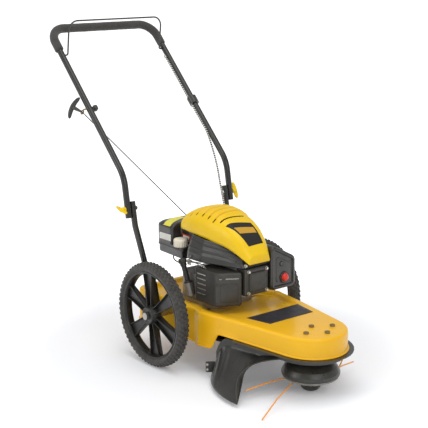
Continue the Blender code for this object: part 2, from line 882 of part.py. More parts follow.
def build_deck():
    """The pressed deck: floor of the recess, its slope, the rounded shoulder, the walls and the lip."""
    bend = SHOULDER * (1.0 - math.sqrt(0.5))
    rows = [
        recess_row(0.0, DECK_TOP - RECESS_DEPTH),
        recess_row(RECESS_SLOPE, DECK_TOP),
        offset_row(-SHOULDER, lambda place: nose_plane(place.x)),
        offset_row(-bend, lambda place: nose_plane(place.x) - bend),
        offset_row(0.0, lambda place: nose_plane(place.x) - SHOULDER),
        offset_row(0.0, skirt_bottom),
        offset_row(DECK_LIP, skirt_bottom),
    ]
    bm = bmesh.new()
    rings = [[bm.verts.new(point) for point in row] for row in rows]
    count = len(OUTLINE)
    for first, second in zip(rings, rings[1:]):
        for i in range(count):
            j = (i + 1) % count
            bm.faces.new((first[i], second[i], second[j], first[j]))
    bm.faces.new(rings[0])
    bmesh.ops.recalc_face_normals(bm, faces=bm.faces)
    floor = max(bm.faces, key=lambda face: len(face.verts))
    floor.normal_update()
    if floor.normal.z < 0.0:
        bmesh.ops.reverse_faces(bm, faces=bm.faces)
    deck = mesh_object("deck", bm)
    thicken(deck, DECK_SHEET)
    holes = [((x, y, 0.17), (x, y, 0.25), NOSE_BOLT_RADIUS + BOLT_CLEARANCE) for x, y in nose_bolts()]
    holes.append(((CRANK_X, ENGINE_Y, 0.17), (CRANK_X, ENGINE_Y, 0.25), CRANK_RADIUS + 0.006))
    axle_reach = REAR_HALF + 0.05
    holes.append(((0.0, -axle_reach, WHEEL_RADIUS), (0.0, axle_reach, WHEEL_RADIUS), AXLE_RADIUS + RUNNING))
    cut(deck, rods("deck_holes", holes, 16))
    part(deck, "yellow_paint")


def nose_bolts():
    return [
        (NOSE_BOLT_X - NOSE_BOLT_HALF_X, 0.0),
        (NOSE_BOLT_X + NOSE_BOLT_HALF_X, 0.0),
        (NOSE_BOLT_X, -NOSE_BOLT_HALF_Y),
        (NOSE_BOLT_X, NOSE_BOLT_HALF_Y),
    ]


def ring_stations():
    """The stretch of the outline round the nose that the skirt ring follows."""
    order = sorted(range(len(OUTLINE)), key=lambda i: math.atan2(OUTLINE[i].y, OUTLINE[i].x - SHIELD_START))
    return [i for i in order if OUTLINE[i].x >= RING_START]


def build_skirt_ring():
    """The black ring under the lip: a flange that shows past it and a wall with the shield's studs."""
    top = FRONT_SKIRT_Z - DECK_SHEET - SEAT
    section = [
        (-RING_INSET, top),
        (RING_FLANGE, top),
        (RING_FLANGE, top - RING_WALL),
        (-RING_INSET + RING_WALL, top - RING_WALL),
        (-RING_INSET + RING_WALL, RING_BOTTOM),
        (-RING_INSET, RING_BOTTOM),
    ]
    rows = []
    for i in ring_stations():
        row = []
        for distance, z in section:
            place = OUTLINE[i] + OUTWARD[i] * distance
            drop = RING_SLOPE * max(0.0, place.x - RING_START) if z == RING_BOTTOM else lip_drop(place.x)
            row.append((place.x, place.y, z - drop))
        rows.append(row)
    ring = loft("skirt_ring", rows)
    for index, x in enumerate(SHIELD_BOLT_X):
        place, normal = shield_bolt(x)
        start = place - normal * (RING_INSET - 0.001)
        head = place + normal * (SHIELD_OFFSET + SHIELD_SHEET / 2.0 + SEAT)
        stud = rod(f"shield_stud_{index}", start, head + normal * 0.001, SHIELD_BOLT_RADIUS, 12)
        cap = rod(f"shield_stud_head_{index}", head, head + normal * 0.003, SHIELD_HEAD_RADIUS, 12,
                  SHIELD_HEAD_RADIUS * 0.7)
        join(ring, stud)
        join(ring, cap)
    part(ring, "black_plastic")


def near_side(x, distance):
    """A point on the right-hand wall's outline at x, moved outward by a distance."""
    lean = math.atan(SIDE_TAPER)
    half = NOSE_RADIUS / math.cos(lean) + SIDE_TAPER * (NOSE_X - x)
    return Vector((x + math.sin(lean) * distance, -half - math.cos(lean) * distance))


def shield_bolt(x):
    lean = math.atan(SIDE_TAPER)
    point = near_side(x, 0.0)
    normal = Vector((math.sin(lean), -math.cos(lean), 0.0))
    return Vector((point.x, point.y, SHIELD_BOLT_Z - lip_drop(x))), normal


def shield_bottom(share):
    """The shield's lower edge: round the cut circle to the tip, then up a hollow curve to the ring."""
    turn_share = 0.6
    if share <= turn_share:
        s = share / turn_share
        tip = SHIELD_TIP - Vector((SHIELD_CENTRE_X, 0.0, 0.0))
        radius = SHIELD_REAR_RADIUS + (math.hypot(tip.x, tip.y) - SHIELD_REAR_RADIUS) * s
        angle = SHIELD_REAR_ANGLE + (math.atan2(tip.y, tip.x) - SHIELD_REAR_ANGLE) * s
        height = SHIELD_REAR_Z + (SHIELD_TIP.z - SHIELD_REAR_Z) * s
        return Vector((SHIELD_CENTRE_X + radius * math.cos(angle), radius * math.sin(angle), height))
    s = (share - turn_share) / (1.0 - turn_share)
    end = shield_top(1.0) + Vector((0.0, 0.0, -0.012))
    return SHIELD_TIP * (1.0 - s) ** 2 + SHIELD_CURVE * (2.0 * s * (1.0 - s)) + end * s * s


def shield_top(share):
    """The shield's upper edge: a rounded ear outside the lip, then a straight run under the ring's flange."""
    x = SHIELD_START + (SHIELD_END - SHIELD_START) * share ** SHIELD_TOP_PACE
    ear = 1.0 - smooth_step(SHIELD_EAR_END, SHIELD_EAR_END + SHIELD_EAR_RUN, x)
    point = near_side(x, SHIELD_OFFSET + (SHIELD_EAR_OFFSET - SHIELD_OFFSET) * ear)
    under_ring = FRONT_SKIRT_Z - DECK_SHEET - SEAT * 3.0 - RING_WALL - lip_drop(point.x)
    return Vector((point.x, point.y, min(under_ring, blend(SHIELD_EAR, x))))


def build_debris_shield():
    """A moulded sheet that hangs from the skirt ring and flares out behind the cut circle."""
    columns, levels = 23, 7
    rows = []
    for k in range(levels):
        level = k / (levels - 1)
        row = []
        for i in range(columns):
            share = i / (columns - 1)
            top, bottom = shield_top(share), shield_bottom(share)
            upright = min(SHIELD_UPRIGHT_SHARE, SHIELD_UPRIGHT / (top.z - bottom.z))
            flare = max(0.0, (level - upright) / (1.0 - upright)) ** SHIELD_FLARE
            row.append((top.x + (bottom.x - top.x) * flare, top.y + (bottom.y - top.y) * flare,
                        top.z + (bottom.z - top.z) * level))
        rows.append(row)
    shield = loft("debris_shield", rows, closed_row=False, ends=False)
    thicken(shield, SHIELD_SHEET, 0.0)
    holes = []
    for x in SHIELD_BOLT_X:
        place, normal = shield_bolt(x)
        holes.append((place - normal * 0.004, place + normal * 0.012, SHIELD_BOLT_RADIUS + BOLT_CLEARANCE))
    cut(shield, rods("shield_holes", holes, 12))
    part(shield, "black_plastic")


def build_belt_cover():
    """The flat pan under the belt, with a hole for the spindle."""
    top = RING_BOTTOM - SEAT
    low = top - BELT_COVER_SHEET
    outline = [
        (max(x, BELT_COVER_REAR), y) for x, y, _ in offset_row(-RING_INSET - SEAT, 0.0)
        if x > BELT_COVER_REAR - 0.03
    ]
    hole = circle((SPINDLE_X, 0.0), SPINDLE_RADIUS + 0.020, 32)
    part(as_mesh(plate("belt_cover", [outline, hole], low, top)), "black_paint")


# Belt drive


def pulley(name, x, y, radius, bore, pivot):
    half = PULLEY_HEIGHT / 2.0
    groove = BELT_HEIGHT / 2.0 + 0.001
    rim = radius + PULLEY_FLANGE
    profile = [(bore, half), (rim, half), (rim, groove + 0.0015), (radius, groove), (radius, -groove),
               (rim, -groove - 0.0015), (rim, -half), (bore, -half)]
    part(turned(name, profile, (x, y, BELT_Z), steps=24, closed=True), "steel", pivot)


def build_belt():
    """The endless belt round both pulleys, an outer and an inner line of two arcs and two straight runs."""
    near, far = Vector((CRANK_X, ENGINE_Y)), Vector((SPINDLE_X, 0.0))
    span = far - near
    heading = math.atan2(span.y, span.x)
    lines = []
    for grow in (RUNNING + BELT_DEPTH, RUNNING):
        first, second = ENGINE_PULLEY + grow, SPINDLE_PULLEY + grow
        lean = math.acos((first - second) / span.length)
        line = []
        steps = 16
        for k in range(steps + 1):
            angle = heading + lean + (math.tau - 2.0 * lean) * k / steps
            line.append(near + first * Vector((math.cos(angle), math.sin(angle))))
        for k in range(steps + 1):
            angle = heading - lean + 2.0 * lean * k / steps
            line.append(far + second * Vector((math.cos(angle), math.sin(angle))))
        lines.append(line)
    half = BELT_HEIGHT / 2.0
    part(as_mesh(plate("drive_belt", lines, BELT_Z - half, BELT_Z + half)), "rubber")


def build_crank(pivot):
    shaft = [
        (0.0, REEL_LOW - RUNNING),
        (CRANK_RADIUS * 0.7, REEL_LOW - RUNNING),
        (CRANK_RADIUS * 0.7, FLYWHEEL_LOW + FLYWHEEL_HEIGHT + 0.008),
        (CRANK_RADIUS, FLYWHEEL_LOW + FLYWHEEL_HEIGHT + 0.008),
        (CRANK_RADIUS, BELT_Z - PULLEY_HEIGHT / 2.0 - 0.003),
        (0.0, BELT_Z - PULLEY_HEIGHT / 2.0 - 0.003),
    ]
    place = (CRANK_X, ENGINE_Y, 0.0)
    part(turned("crankshaft", shaft, place, steps=24), "steel", pivot)
    pulley("engine_pulley", CRANK_X, ENGINE_Y, ENGINE_PULLEY, CRANK_RADIUS + SEAT, pivot)
    high = FLYWHEEL_LOW + FLYWHEEL_HEIGHT
    bore = CRANK_RADIUS + SEAT
    wheel = [
        (bore, high + 0.006), (0.030, high + 0.006), (0.034, high - 0.006),
        (FLYWHEEL_RADIUS - 0.016, high - 0.006), (FLYWHEEL_RADIUS - 0.014, high),
        (FLYWHEEL_RADIUS, high), (FLYWHEEL_RADIUS, FLYWHEEL_LOW), (bore, FLYWHEEL_LOW),
    ]
    part(turned("flywheel", wheel, place, steps=24, closed=True), "cast_aluminium", pivot)


def build_spindle_housing():
    """The flanged bearing housing, with its four bolts standing up through the deck."""
    top = DECK_TOP - DECK_SHEET - SEAT
    fall = DECK_TOP - nose_plane(SPINDLE_X)
    corners = [(Vector((x, y)) - Vector((NOSE_BOLT_X, 0.0))) for x, y in nose_bolts()]
    order = [corners[1], corners[3], corners[0], corners[2]]
    outline = rounded([(Vector((NOSE_BOLT_X, 0.0)) + c * 1.45, 0.012) for c in order], 4, closed=True)
    housing = as_mesh(plate("spindle_housing", [outline], top - HOUSING_FLANGE, top))
    for vertex in housing.data.vertices:
        vertex.co.z -= DECK_TOP - nose_plane(vertex.co.x)
    hub = rod("housing_hub", (SPINDLE_X, 0.0, HOUSING_HUB_BOTTOM), (SPINDLE_X, 0.0, top - fall - 0.003),
              HOUSING_HUB_RADIUS, 32)
    join(housing, hub)
    for index, (x, y) in enumerate(nose_bolts()):
        bolt = turned(
            f"nose_bolt_{index}",
            [
                (0.0, DECK_TOP + SEAT + NOSE_BOLT_HEAD_HEIGHT),
                (NOSE_BOLT_HEAD, DECK_TOP + SEAT + NOSE_BOLT_HEAD_HEIGHT),
                (NOSE_BOLT_HEAD, DECK_TOP + SEAT),
                (NOSE_BOLT_RADIUS, DECK_TOP + SEAT),
                (NOSE_BOLT_RADIUS, top - HOUSING_FLANGE / 2.0),
                (0.0, top - HOUSING_FLANGE / 2.0),
            ],
            (x, y, nose_plane(x) - DECK_TOP), steps=8,
        )
        join(housing, bolt)
    bore_top = top - fall - HOUSING_FLANGE - 0.0010
    bore = rod("housing_bore", (SPINDLE_X, 0.0, HOUSING_HUB_BOTTOM - 0.02), (SPINDLE_X, 0.0, bore_top),
               SPINDLE_RADIUS + RUNNING, 24)
    cut(housing, bore)
    part(housing, "cast_aluminium")


def build_spindle(pivot):
    top = nose_plane(SPINDLE_X) - DECK_SHEET - SEAT - HOUSING_FLANGE - 0.0015
    low = BALL_FOOT * 0.9
    spindle = rod("trimmer_spindle", (SPINDLE_X, 0.0, low), (SPINDLE_X, 0.0, top), SPINDLE_RADIUS, 24)
    part(spindle, "steel", pivot)
    pulley("spindle_pulley", SPINDLE_X, 0.0, SPINDLE_PULLEY, SPINDLE_RADIUS + SEAT, pivot)


def build_trimmer_head(pivot):
    """The head's collar and wide domed disc, over the slot that the lines come out of."""
    low = RETAINER_TOP + LINE_SLOT
    bore = SPINDLE_RADIUS + SEAT
    collar = HEAD_COLLAR_RADIUS
    profile = [(bore, HEAD_TOP), (collar, HEAD_TOP), (collar, HEAD_TOP - HEAD_COLLAR_HEIGHT)]
    profile += [(HEAD_DISC_RADIUS * share, low + (HEAD_TOP - low) * rise) for share, rise in HEAD_DOME]
    profile.append((bore, low))
    head = turned("trimmer_head", profile, (SPINDLE_X, 0.0, 0.0), steps=30, closed=True)
    part(head, "black_plastic", pivot)


def post_angles():
    return [math.radians(-125.0), math.radians(55.0), math.radians(-35.0), math.radians(145.0)]


def build_line_retainer(pivot):
    """The plate under the lines, with the four posts that the loops hook round."""
    bore = SPINDLE_RADIUS + SEAT
    rim = RETAINER_RADIUS
    profile = [(bore, RETAINER_TOP), (rim - 0.002, RETAINER_TOP), (rim, RETAINER_TOP - 0.002),
               (rim * RETAINER_TAPER, RETAINER_BOTTOM), (bore, RETAINER_BOTTOM)]
    retainer = turned("line_retainer", profile, (SPINDLE_X, 0.0, 0.0), steps=24, closed=True)
    posts = []
    for angle in post_angles():
        x = SPINDLE_X + POST_CIRCLE * math.cos(angle)
        y = POST_CIRCLE * math.sin(angle)
        posts.append(((x, y, RETAINER_TOP - 0.003), (x, y, RETAINER_TOP + LINE_SLOT - SEAT), POST_RADIUS))
    join(retainer, rods("line_posts", posts, 10))
    part(retainer, "black_plastic", pivot)


def line_route(turn, near_tip, far_tip):
    """One looped line: in along one end, round its post on the inner side, and out along the other."""
    slot = RETAINER_TOP + LINE_SLOT / 2.0
    angle = post_angles()[0]
    post = Vector((POST_CIRCLE * math.cos(angle), POST_CIRCLE * math.sin(angle), slot))
    hook = POST_RADIUS + LINE_RADIUS + LINE_PLAY
    near, far = Vector(near_tip), Vector(far_tip)
    away_near = Vector((near.x - post.x, near.y - post.y, 0.0)).normalized()
    away_far = Vector((far.x - post.x, far.y - post.y, 0.0)).normalized()
    beside_near = Vector((away_near.y, -away_near.x, 0.0)) * hook
    beside_far = Vector((-away_far.y, away_far.x, 0.0)) * hook
    first = math.atan2(beside_near.y, beside_near.x)
    sweep = (math.atan2(beside_far.y, beside_far.x) - first) % math.tau - math.tau
    arc = []
    for k in range(LOOP_STEPS + 1):
        turn_angle = first + sweep * k / LOOP_STEPS
        arc.append(post + Vector((math.cos(turn_angle), math.sin(turn_angle), 0.0)) * hook)
    mouth_near = post + beside_near + away_near * LINE_MOUTH
    mouth_far = post + beside_far + away_far * LINE_MOUTH
    bend_near = near.lerp(mouth_near, 0.5)
    bend_near.z = near.z + (slot - near.z) * 0.75
    bend_far = far.lerp(mouth_far, 0.5)
    bend_far.z = far.z + (slot - far.z) * 0.75
    start = rounded([(near, 0.0), (bend_near, 0.05), (mouth_near, 0.05), (arc[0], 0.0)], 2)
    finish = rounded([(arc[-1], 0.0), (mouth_far, 0.05), (bend_far, 0.05), (far, 0.0)], 2)
    spin = Matrix.Rotation(turn, 4, "Z")
    return [spin @ point + Vector((SPINDLE_X, 0.0, 0.0)) for point in start[:-1] + arc + finish[1:]]


def build_lines(pivot):
    near = line_route(0.0, *LINE_NEAR_TIPS)
    far = line_route(math.pi, *LINE_FAR_TIPS)
    for name, route in (("trimmer_line_near", near), ("trimmer_line_far", far)):
        part(as_mesh(tube(name, route, LINE_RADIUS, 2)), "orange_nylon", pivot)


def build_support_ball(pivot):
    """The bowl that the head rests on, free to stand still while the head turns."""
    bore = SPINDLE_RADIUS + RUNNING
    floor = BALL_FOOT * 0.9 - RUNNING
    profile = [
        (0.0, floor), (bore, floor), (bore, BALL_TOP), (BALL_RADIUS - 0.002, BALL_TOP),
        (BALL_RADIUS, BALL_TOP - 0.003), (BALL_RADIUS * 0.97, BALL_TOP * 0.55),
        (BALL_RADIUS * 0.80, BALL_TOP * 0.25), (BALL_FOOT * 1.5, BALL_TOP * 0.06),
        (BALL_FOOT, 0.0), (0.0, 0.0),
    ]
    part(turned("support_ball", profile, (SPINDLE_X, 0.0, 0.0), steps=28), "black_plastic", pivot)


# Engine


def engine(x, y, z):
    return Vector((x, y + ENGINE_Y, z))


def recess_floor():
    return DECK_TOP - RECESS_DEPTH


def build_crankcase():
    """Sump, finned cylinder barrel and blower base, with the bore of the crankshaft."""
    floor = recess_floor() + SEAT
    rear, front = CRANK_X - SUMP_REAR, CRANK_X + SUMP_FRONT
    right, left = -SUMP_HALF, SUMP_HALF * 0.85
    recess = GUARD_LOW.x - GUARD_GAP
    inner = GUARD_HIGH.y + GUARD_GAP - ENGINE_Y
    outline = rounded(
        [
            (engine(rear, right, 0).xy, 0.030), (engine(recess, right, 0).xy, 0.006),
            (engine(recess, inner, 0).xy, 0.004), (engine(front, inner, 0).xy, 0.012),
            (engine(front, left * 0.75, 0).xy, 0.030), (engine(rear, left, 0).xy, 0.030),
        ],
        3, closed=True,
    )
    case = as_mesh(plate("crankcase", [outline], floor, SUMP_TOP))
    foot = rounded(
        [
            (engine(rear - 0.005, right - 0.004, 0).xy, 0.030),
            (engine(front + 0.005, right - 0.004, 0).xy, 0.030),
            (engine(front + 0.005, left + 0.004, 0).xy, 0.030),
            (engine(rear - 0.005, left + 0.004, 0).xy, 0.030),
        ],
        3, closed=True,
    )
    join(case, as_mesh(plate("mounting_foot", [foot], floor, floor + FOOT_HEIGHT)))
    barrel = box("cylinder_barrel", engine(CRANK_X, -CYLINDER_HALF, CYLINDER_LOW),
                 engine(CYLINDER_FRONT, CYLINDER_HALF, CYLINDER_HIGH))
    top = BLOWER_BASE_TOP
    neck = turned(
        "blower_base",
        [(0.0, top), (BLOWER_BASE_RADIUS, top), (BLOWER_BASE_RADIUS, top - BLOWER_BASE_DISC),
         (CYLINDER_HALF, top - BLOWER_BASE_DISC), (CYLINDER_HALF, SUMP_TOP - 0.010), (0.0, SUMP_TOP - 0.010)],
        engine(CRANK_X, 0.0, 0.0), steps=32,
    )
    join(case, barrel)
    join(case, neck)
    slots = []
    for index in range(FIN_SLOTS):
        share = (index + 1) / (FIN_SLOTS + 1)
        z = CYLINDER_LOW + (CYLINDER_HIGH - CYLINDER_LOW) * share - 0.002
        for side in (-1.0, 1.0):
            low_y, high_y = sorted((side * (CYLINDER_HALF + 0.005), side * (CYLINDER_HALF - 0.012)))
            slots.append((engine(CRANK_X + BLOWER_BASE_RADIUS + 0.002, low_y, z),
                          engine(CYLINDER_FRONT - 0.004, high_y, z + FIN_SLOT_WIDTH)))
    cut(case, boxes("fin_slots", slots))
    bore_low, bore_high = engine(CRANK_X, 0.0, floor - 0.02), engine(CRANK_X, 0.0, BLOWER_BASE_TOP + 0.02)
    cut(case, rod("crank_bore", bore_low, bore_high, CRANK_RADIUS + RUNNING, 24))
    boss, above = oil_tube_route()[:2]
    rise = (above - boss).normalized()
    seat = rod("oil_boss", boss - rise * 0.045, boss, OIL_TUBE_RADIUS + 0.004, 16)
    join(case, seat)
    part(case, "cast_aluminium")


def build_cylinder_head():
    rear = CYLINDER_FRONT + SEAT
    low = engine(rear, -CYLINDER_HALF - 0.004, CYLINDER_LOW - 0.002)
    high = engine(HEAD_FRONT, CYLINDER_HALF + 0.002, CYLINDER_HIGH + 0.002)
    head = box("cylinder_head", low, high)
    slots = []
    for index in range(FIN_SLOTS + 1):
        share = (index + 0.5) / (FIN_SLOTS + 1)
        z = low.z + (high.z - low.z) * share - FIN_SLOT_WIDTH / 2.0
        near, far, top = rear + 0.006, HEAD_FRONT - 0.006, z + FIN_SLOT_WIDTH
        slots.append(((near, low.y - 0.002, z), (far, low.y + 0.014, top)))
        slots.append(((near, high.y - 0.014, z), (far, high.y + 0.002, top)))
    cut(head, boxes("head_fin_slots", slots))
    part(head, "cast_aluminium")


def build_valve_cover():
    """The pressed cover on the front of the cylinder head, with a raised panel."""
    low = engine(HEAD_FRONT + SEAT, -CYLINDER_HALF, VALVE_COVER_LOW)
    high = engine(VALVE_COVER_FRONT - 0.006, CYLINDER_HALF, VALVE_COVER_HIGH)
    cover = box("valve_cover", low, high)
    bevel(cover, 0.006, 2)
    panel = box("valve_panel", (high.x - 0.010, low.y + 0.014, low.z + 0.014),
                (VALVE_COVER_FRONT, high.y - 0.014, high.z - 0.014))
    bevel(panel, 0.005, 2)
    join(cover, panel)
    wall = Vector((0.0, PRESSING_WALL, PRESSING_WALL))
    inside_low = low + wall - Vector((0.010, 0.0, 0.0))
    inside_high = high - wall - Vector((PRESSING_WALL, 0.0, 0.0))
    inside = box("valve_cover_inside", inside_low, inside_high)
    bevel(inside, 0.004, 1)
    cut(cover, inside)
    part(cover, "black_paint")


def build_muffler():
    """The inner silencer, with its port against the cylinder, and the louvred guard round it."""
    inner_low = GUARD_LOW + Vector((GUARD_SHEET + SEAT, GUARD_SHEET + SEAT, MUFFLER_INSET))
    inner_high = Vector((GUARD_HIGH.x - MUFFLER_INSET, GUARD_HIGH.y - 0.004, GUARD_HIGH.z - MUFFLER_INSET))
    body = box("muffler", inner_low, inner_high)
    bevel(body, 0.008, 2)
    middle = (inner_low + inner_high) / 2.0
    port_x = (CRANK_X + BLOWER_BASE_RADIUS + CYLINDER_FRONT) / 2.0
    port = rod("muffler_port", (port_x, middle.y, middle.z),
               (port_x, ENGINE_Y - CYLINDER_HALF - SEAT, middle.z), 0.0090, 16)
    join(body, port)
    wall = Vector((MUFFLER_WALL, MUFFLER_WALL, MUFFLER_WALL))
    inside = box("muffler_inside", inner_low + wall, inner_high - wall)
    bevel(inside, 0.008 - MUFFLER_WALL, 1)
    cut(body, inside)
    port_bore = rod("muffler_port_bore", (port_x, middle.y, middle.z), (port_x, ENGINE_Y, middle.z), 0.0065, 12)
    cut(body, port_bore)
    part(body, "steel")
    guard = as_mesh(plate("muffler_guard", [guard_outline(0.0, GUARD_HIGH.y)], GUARD_LOW.z, GUARD_HIGH.z))
    bevel(guard, 0.006, 2)
    hollow_outline = guard_outline(GUARD_SHEET, GUARD_HIGH.y + 0.02)
    hollow_low, hollow_high = GUARD_LOW.z + GUARD_SHEET, GUARD_HIGH.z - GUARD_SHEET
    hollow = as_mesh(plate("guard_hollow", [hollow_outline], hollow_low, hollow_high))
    bevel(hollow, 0.006 - GUARD_SHEET, 2)
    cut(guard, hollow)
    cut(guard, guard_slots())
    part(guard, "black_paint")


def guard_face():
    """The foot of the guard's slanted front face, and the direction along it."""
    corner = Vector((GUARD_HIGH.x, GUARD_LOW.y, 0.0))
    return corner, Vector((GUARD_TIP, GUARD_HIGH.y, 0.0)) - corner


def guard_outline(inset, inner):
    """The guard seen from above, drawn in from its three outer faces and ending at an inner line."""
    corner, along = guard_face()
    heading = along.normalized()
    shift = inset * (1.0 - heading.x) / heading.y
    reach = (inner - corner.y) / heading.y
    tip = corner + heading * reach - Vector((inset / heading.y, 0.0, 0.0))
    return [
        Vector((GUARD_LOW.x + inset, GUARD_LOW.y + inset)),
        Vector((corner.x - shift, GUARD_LOW.y + inset)),
        Vector((tip.x, inner)),
        Vector((GUARD_LOW.x + inset, inner)),
    ]


def guard_slots():
    """Louvres in the guard's side and two slots near the top of its front face."""
    bm = bmesh.new()
    height = GUARD_HIGH.z - GUARD_LOW.z
    start = GUARD_LOW.x + GUARD_LOUVRE_START
    for index in range(GUARD_LOUVRES):
        z = GUARD_LOW.z + height * (0.24 + 0.58 * index / (GUARD_LOUVRES - 1))
        add_box(bm, (start, GUARD_LOW.y - 0.01, z),
                (start + GUARD_LOUVRE_LENGTH, GUARD_LOW.y + 0.01, z + GUARD_LOUVRE_WIDTH))
    corner, along = guard_face()
    heading = along.normalized()
    turn = Matrix.Rotation(math.atan2(heading.y, heading.x), 4, "Z")
    slot_z = GUARD_HIGH.z - GUARD_SLOT_DROP
    for near, far in GUARD_SLOTS:
        middle = corner + heading * (near + far) / 2.0
        half = Vector(((far - near) / 2.0, 0.006, GUARD_LOUVRE_WIDTH / 2.0))
        centre = Vector((middle.x, middle.y, slot_z))
        add_box(bm, centre - half, centre + half, turn)
    return mesh_object("guard_louvres", bm)


# Blower housing and top cover


def cover_half(x):
    """Half the top cover's width, measured from its own middle, at x."""
    return blend(COVER_HALVES, x)


def cover_edge(x):
    """Height of the cover's lower edge at x."""
    return blend(COVER_EDGES, x)


def cover_crown(x):
    """Height of the cover's crown at x."""
    return blend(COVER_CROWNS, x)


def cover_stations():
    """Where the cover's sections stand: at its ends, at each rib's ridge and valley, and down its front."""
    pitch = (COVER_RIB_END - COVER_RIB_START) / (COVER_RIBS * 2)
    ribs = [COVER_RIB_START + pitch * k for k in range(COVER_RIBS * 2 + 1)]
    return [COVER_REAR] + list(COVER_REAR_STATIONS) + ribs + list(COVER_FRONT_STATIONS)


def cover_section(x):
    """The cover's arch at x, from the right-hand edge over the crown to the left-hand edge."""
    points = []
    half, edge, crown = cover_half(x), cover_edge(x), cover_crown(x)
    steps = COVER_ARCH_STEPS
    rib = 0.0
    if COVER_RIB_START <= x <= COVER_RIB_END:
        rib = COVER_RIB_HEIGHT * math.sin(math.pi * COVER_RIBS * (x - COVER_RIB_START)
                                          / (COVER_RIB_END - COVER_RIB_START)) ** 2
    for k in range(steps + 1):
        angle = math.pi * (1.0 - k / steps)
        across = math.copysign(abs(math.cos(angle)) ** 0.75, math.cos(angle))
        rise = math.sin(angle) ** 0.65
        ridge = rib if abs(across) < 0.75 else 0.0
        points.append(engine(x, half * across, edge + (crown - edge) * rise + ridge))
    return points


def build_top_cover():
    """The yellow moulded cover: an arched shell with its ribs, louvre slots, rope port and reel post."""
    rows = [cover_section(x) for x in cover_stations()]
    bm = bmesh.new()
    rings = [[bm.verts.new(point) for point in row] for row in rows]
    for first, second in zip(rings, rings[1:]):
        for i in range(len(first) - 1):
            bm.faces.new((first[i], second[i], second[i + 1], first[i + 1]))
    bm.faces.new(rings[0])
    bm.faces.new(list(reversed(rings[-1])))
    bmesh.ops.recalc_face_normals(bm, faces=bm.faces)
    top = max(bm.faces, key=lambda face: face.calc_center_median().z)
    top.normal_update()
    if top.normal.z < 0.0:
        bmesh.ops.reverse_faces(bm, faces=bm.faces)
    cover = mesh_object("top_cover", bm)
    thicken(cover, COVER_SHEET)
    post_top = cover_crown(CRANK_X) - COVER_SHEET * 0.5
    join(cover, rod("reel_post", engine(CRANK_X, 0.0, REEL_LOW + RUNNING), engine(CRANK_X, 0.0, post_top),
                    REEL_POST, 16))
    slots = []
    low, high = cover_edge(CRANK_X), cover_crown(CRANK_X) + COVER_SHEET * 4.0
    for index in range(COVER_SLOTS):
        x = COVER_SLOT_START + COVER_SLOT_PITCH * index
        slots.append((engine(x - COVER_SLOT_HALF, COVER_SLOT_LOW, low),
                      engine(x + COVER_SLOT_HALF, COVER_SLOT_HIGH, high)))
    slots.append((engine(COVER_CROSS_SLOT - COVER_SLOT_HALF, -COVER_CROSS_HALF, low),
                  engine(COVER_CROSS_SLOT + COVER_SLOT_HALF, COVER_CROSS_HALF, high)))
    slots.append(cleaner_space())
    cut(cover, boxes("cover_slots", slots))
    rope = (rope_eye() - ROPE_PORT).normalized()
    cut(cover, rod("rope_port", ROPE_PORT - rope * 0.02, ROPE_PORT + rope * 0.03, ROPE_RADIUS + 0.0025, 12))
    part(cover, "yellow_plastic")


def build_shroud():
    """The black blower housing: a band from the cover's edge out and down to a flange on the crankcase."""
    plan = rounded(
        [
            (Vector((SHROUD_REAR, -SHROUD_HALF)), 0.020),
            (Vector((CRANK_X + 0.045, -SHROUD_HALF)), 0.060),
            (Vector((SHROUD_FRONT, -SHROUD_FRONT_HALF)), 0.015),
            (Vector((SHROUD_FRONT, SHROUD_FRONT_HALF)), 0.015),
            (Vector((CRANK_X + 0.045, SHROUD_HALF)), 0.060),
            (Vector((SHROUD_REAR, SHROUD_HALF)), 0.020),
        ],
        4, closed=True,
    )
    plan = divided(plan, 0.030, closed=True)
    normals = outward(plan)
    flip = -1.0 if normals[0].y > 0.0 else 1.0
    low = BLOWER_BASE_TOP + SEAT + SHROUD_SHEET
    rows = []
    for draw_in, share in ((0.0190, 1.0), (0.0130, 0.70), (0.0030, 0.30), (0.0, 0.0)):
        row = []
        for point, normal in zip(plan, normals):
            place = point - normal * flip * draw_in
            top = cover_edge(place.x) - SEAT * 3.0
            row.append(engine(place.x, place.y, low + (top - low) * share))
        rows.append(row)
    centre = Vector(((SHROUD_REAR + SHROUD_FRONT) / 2.0, 0.0))
    inner = [centre + (point - centre) * SHROUD_FLANGE for point in plan]
    rows.append([engine(point.x, point.y, low) for point in inner])
    shroud = loft("blower_housing", rows, ends=False)
    thicken(shroud, SHROUD_SHEET)
    cut(shroud, box("housing_clearance", *cleaner_space()), "MANIFOLD")
    part(shroud, "black_plastic")


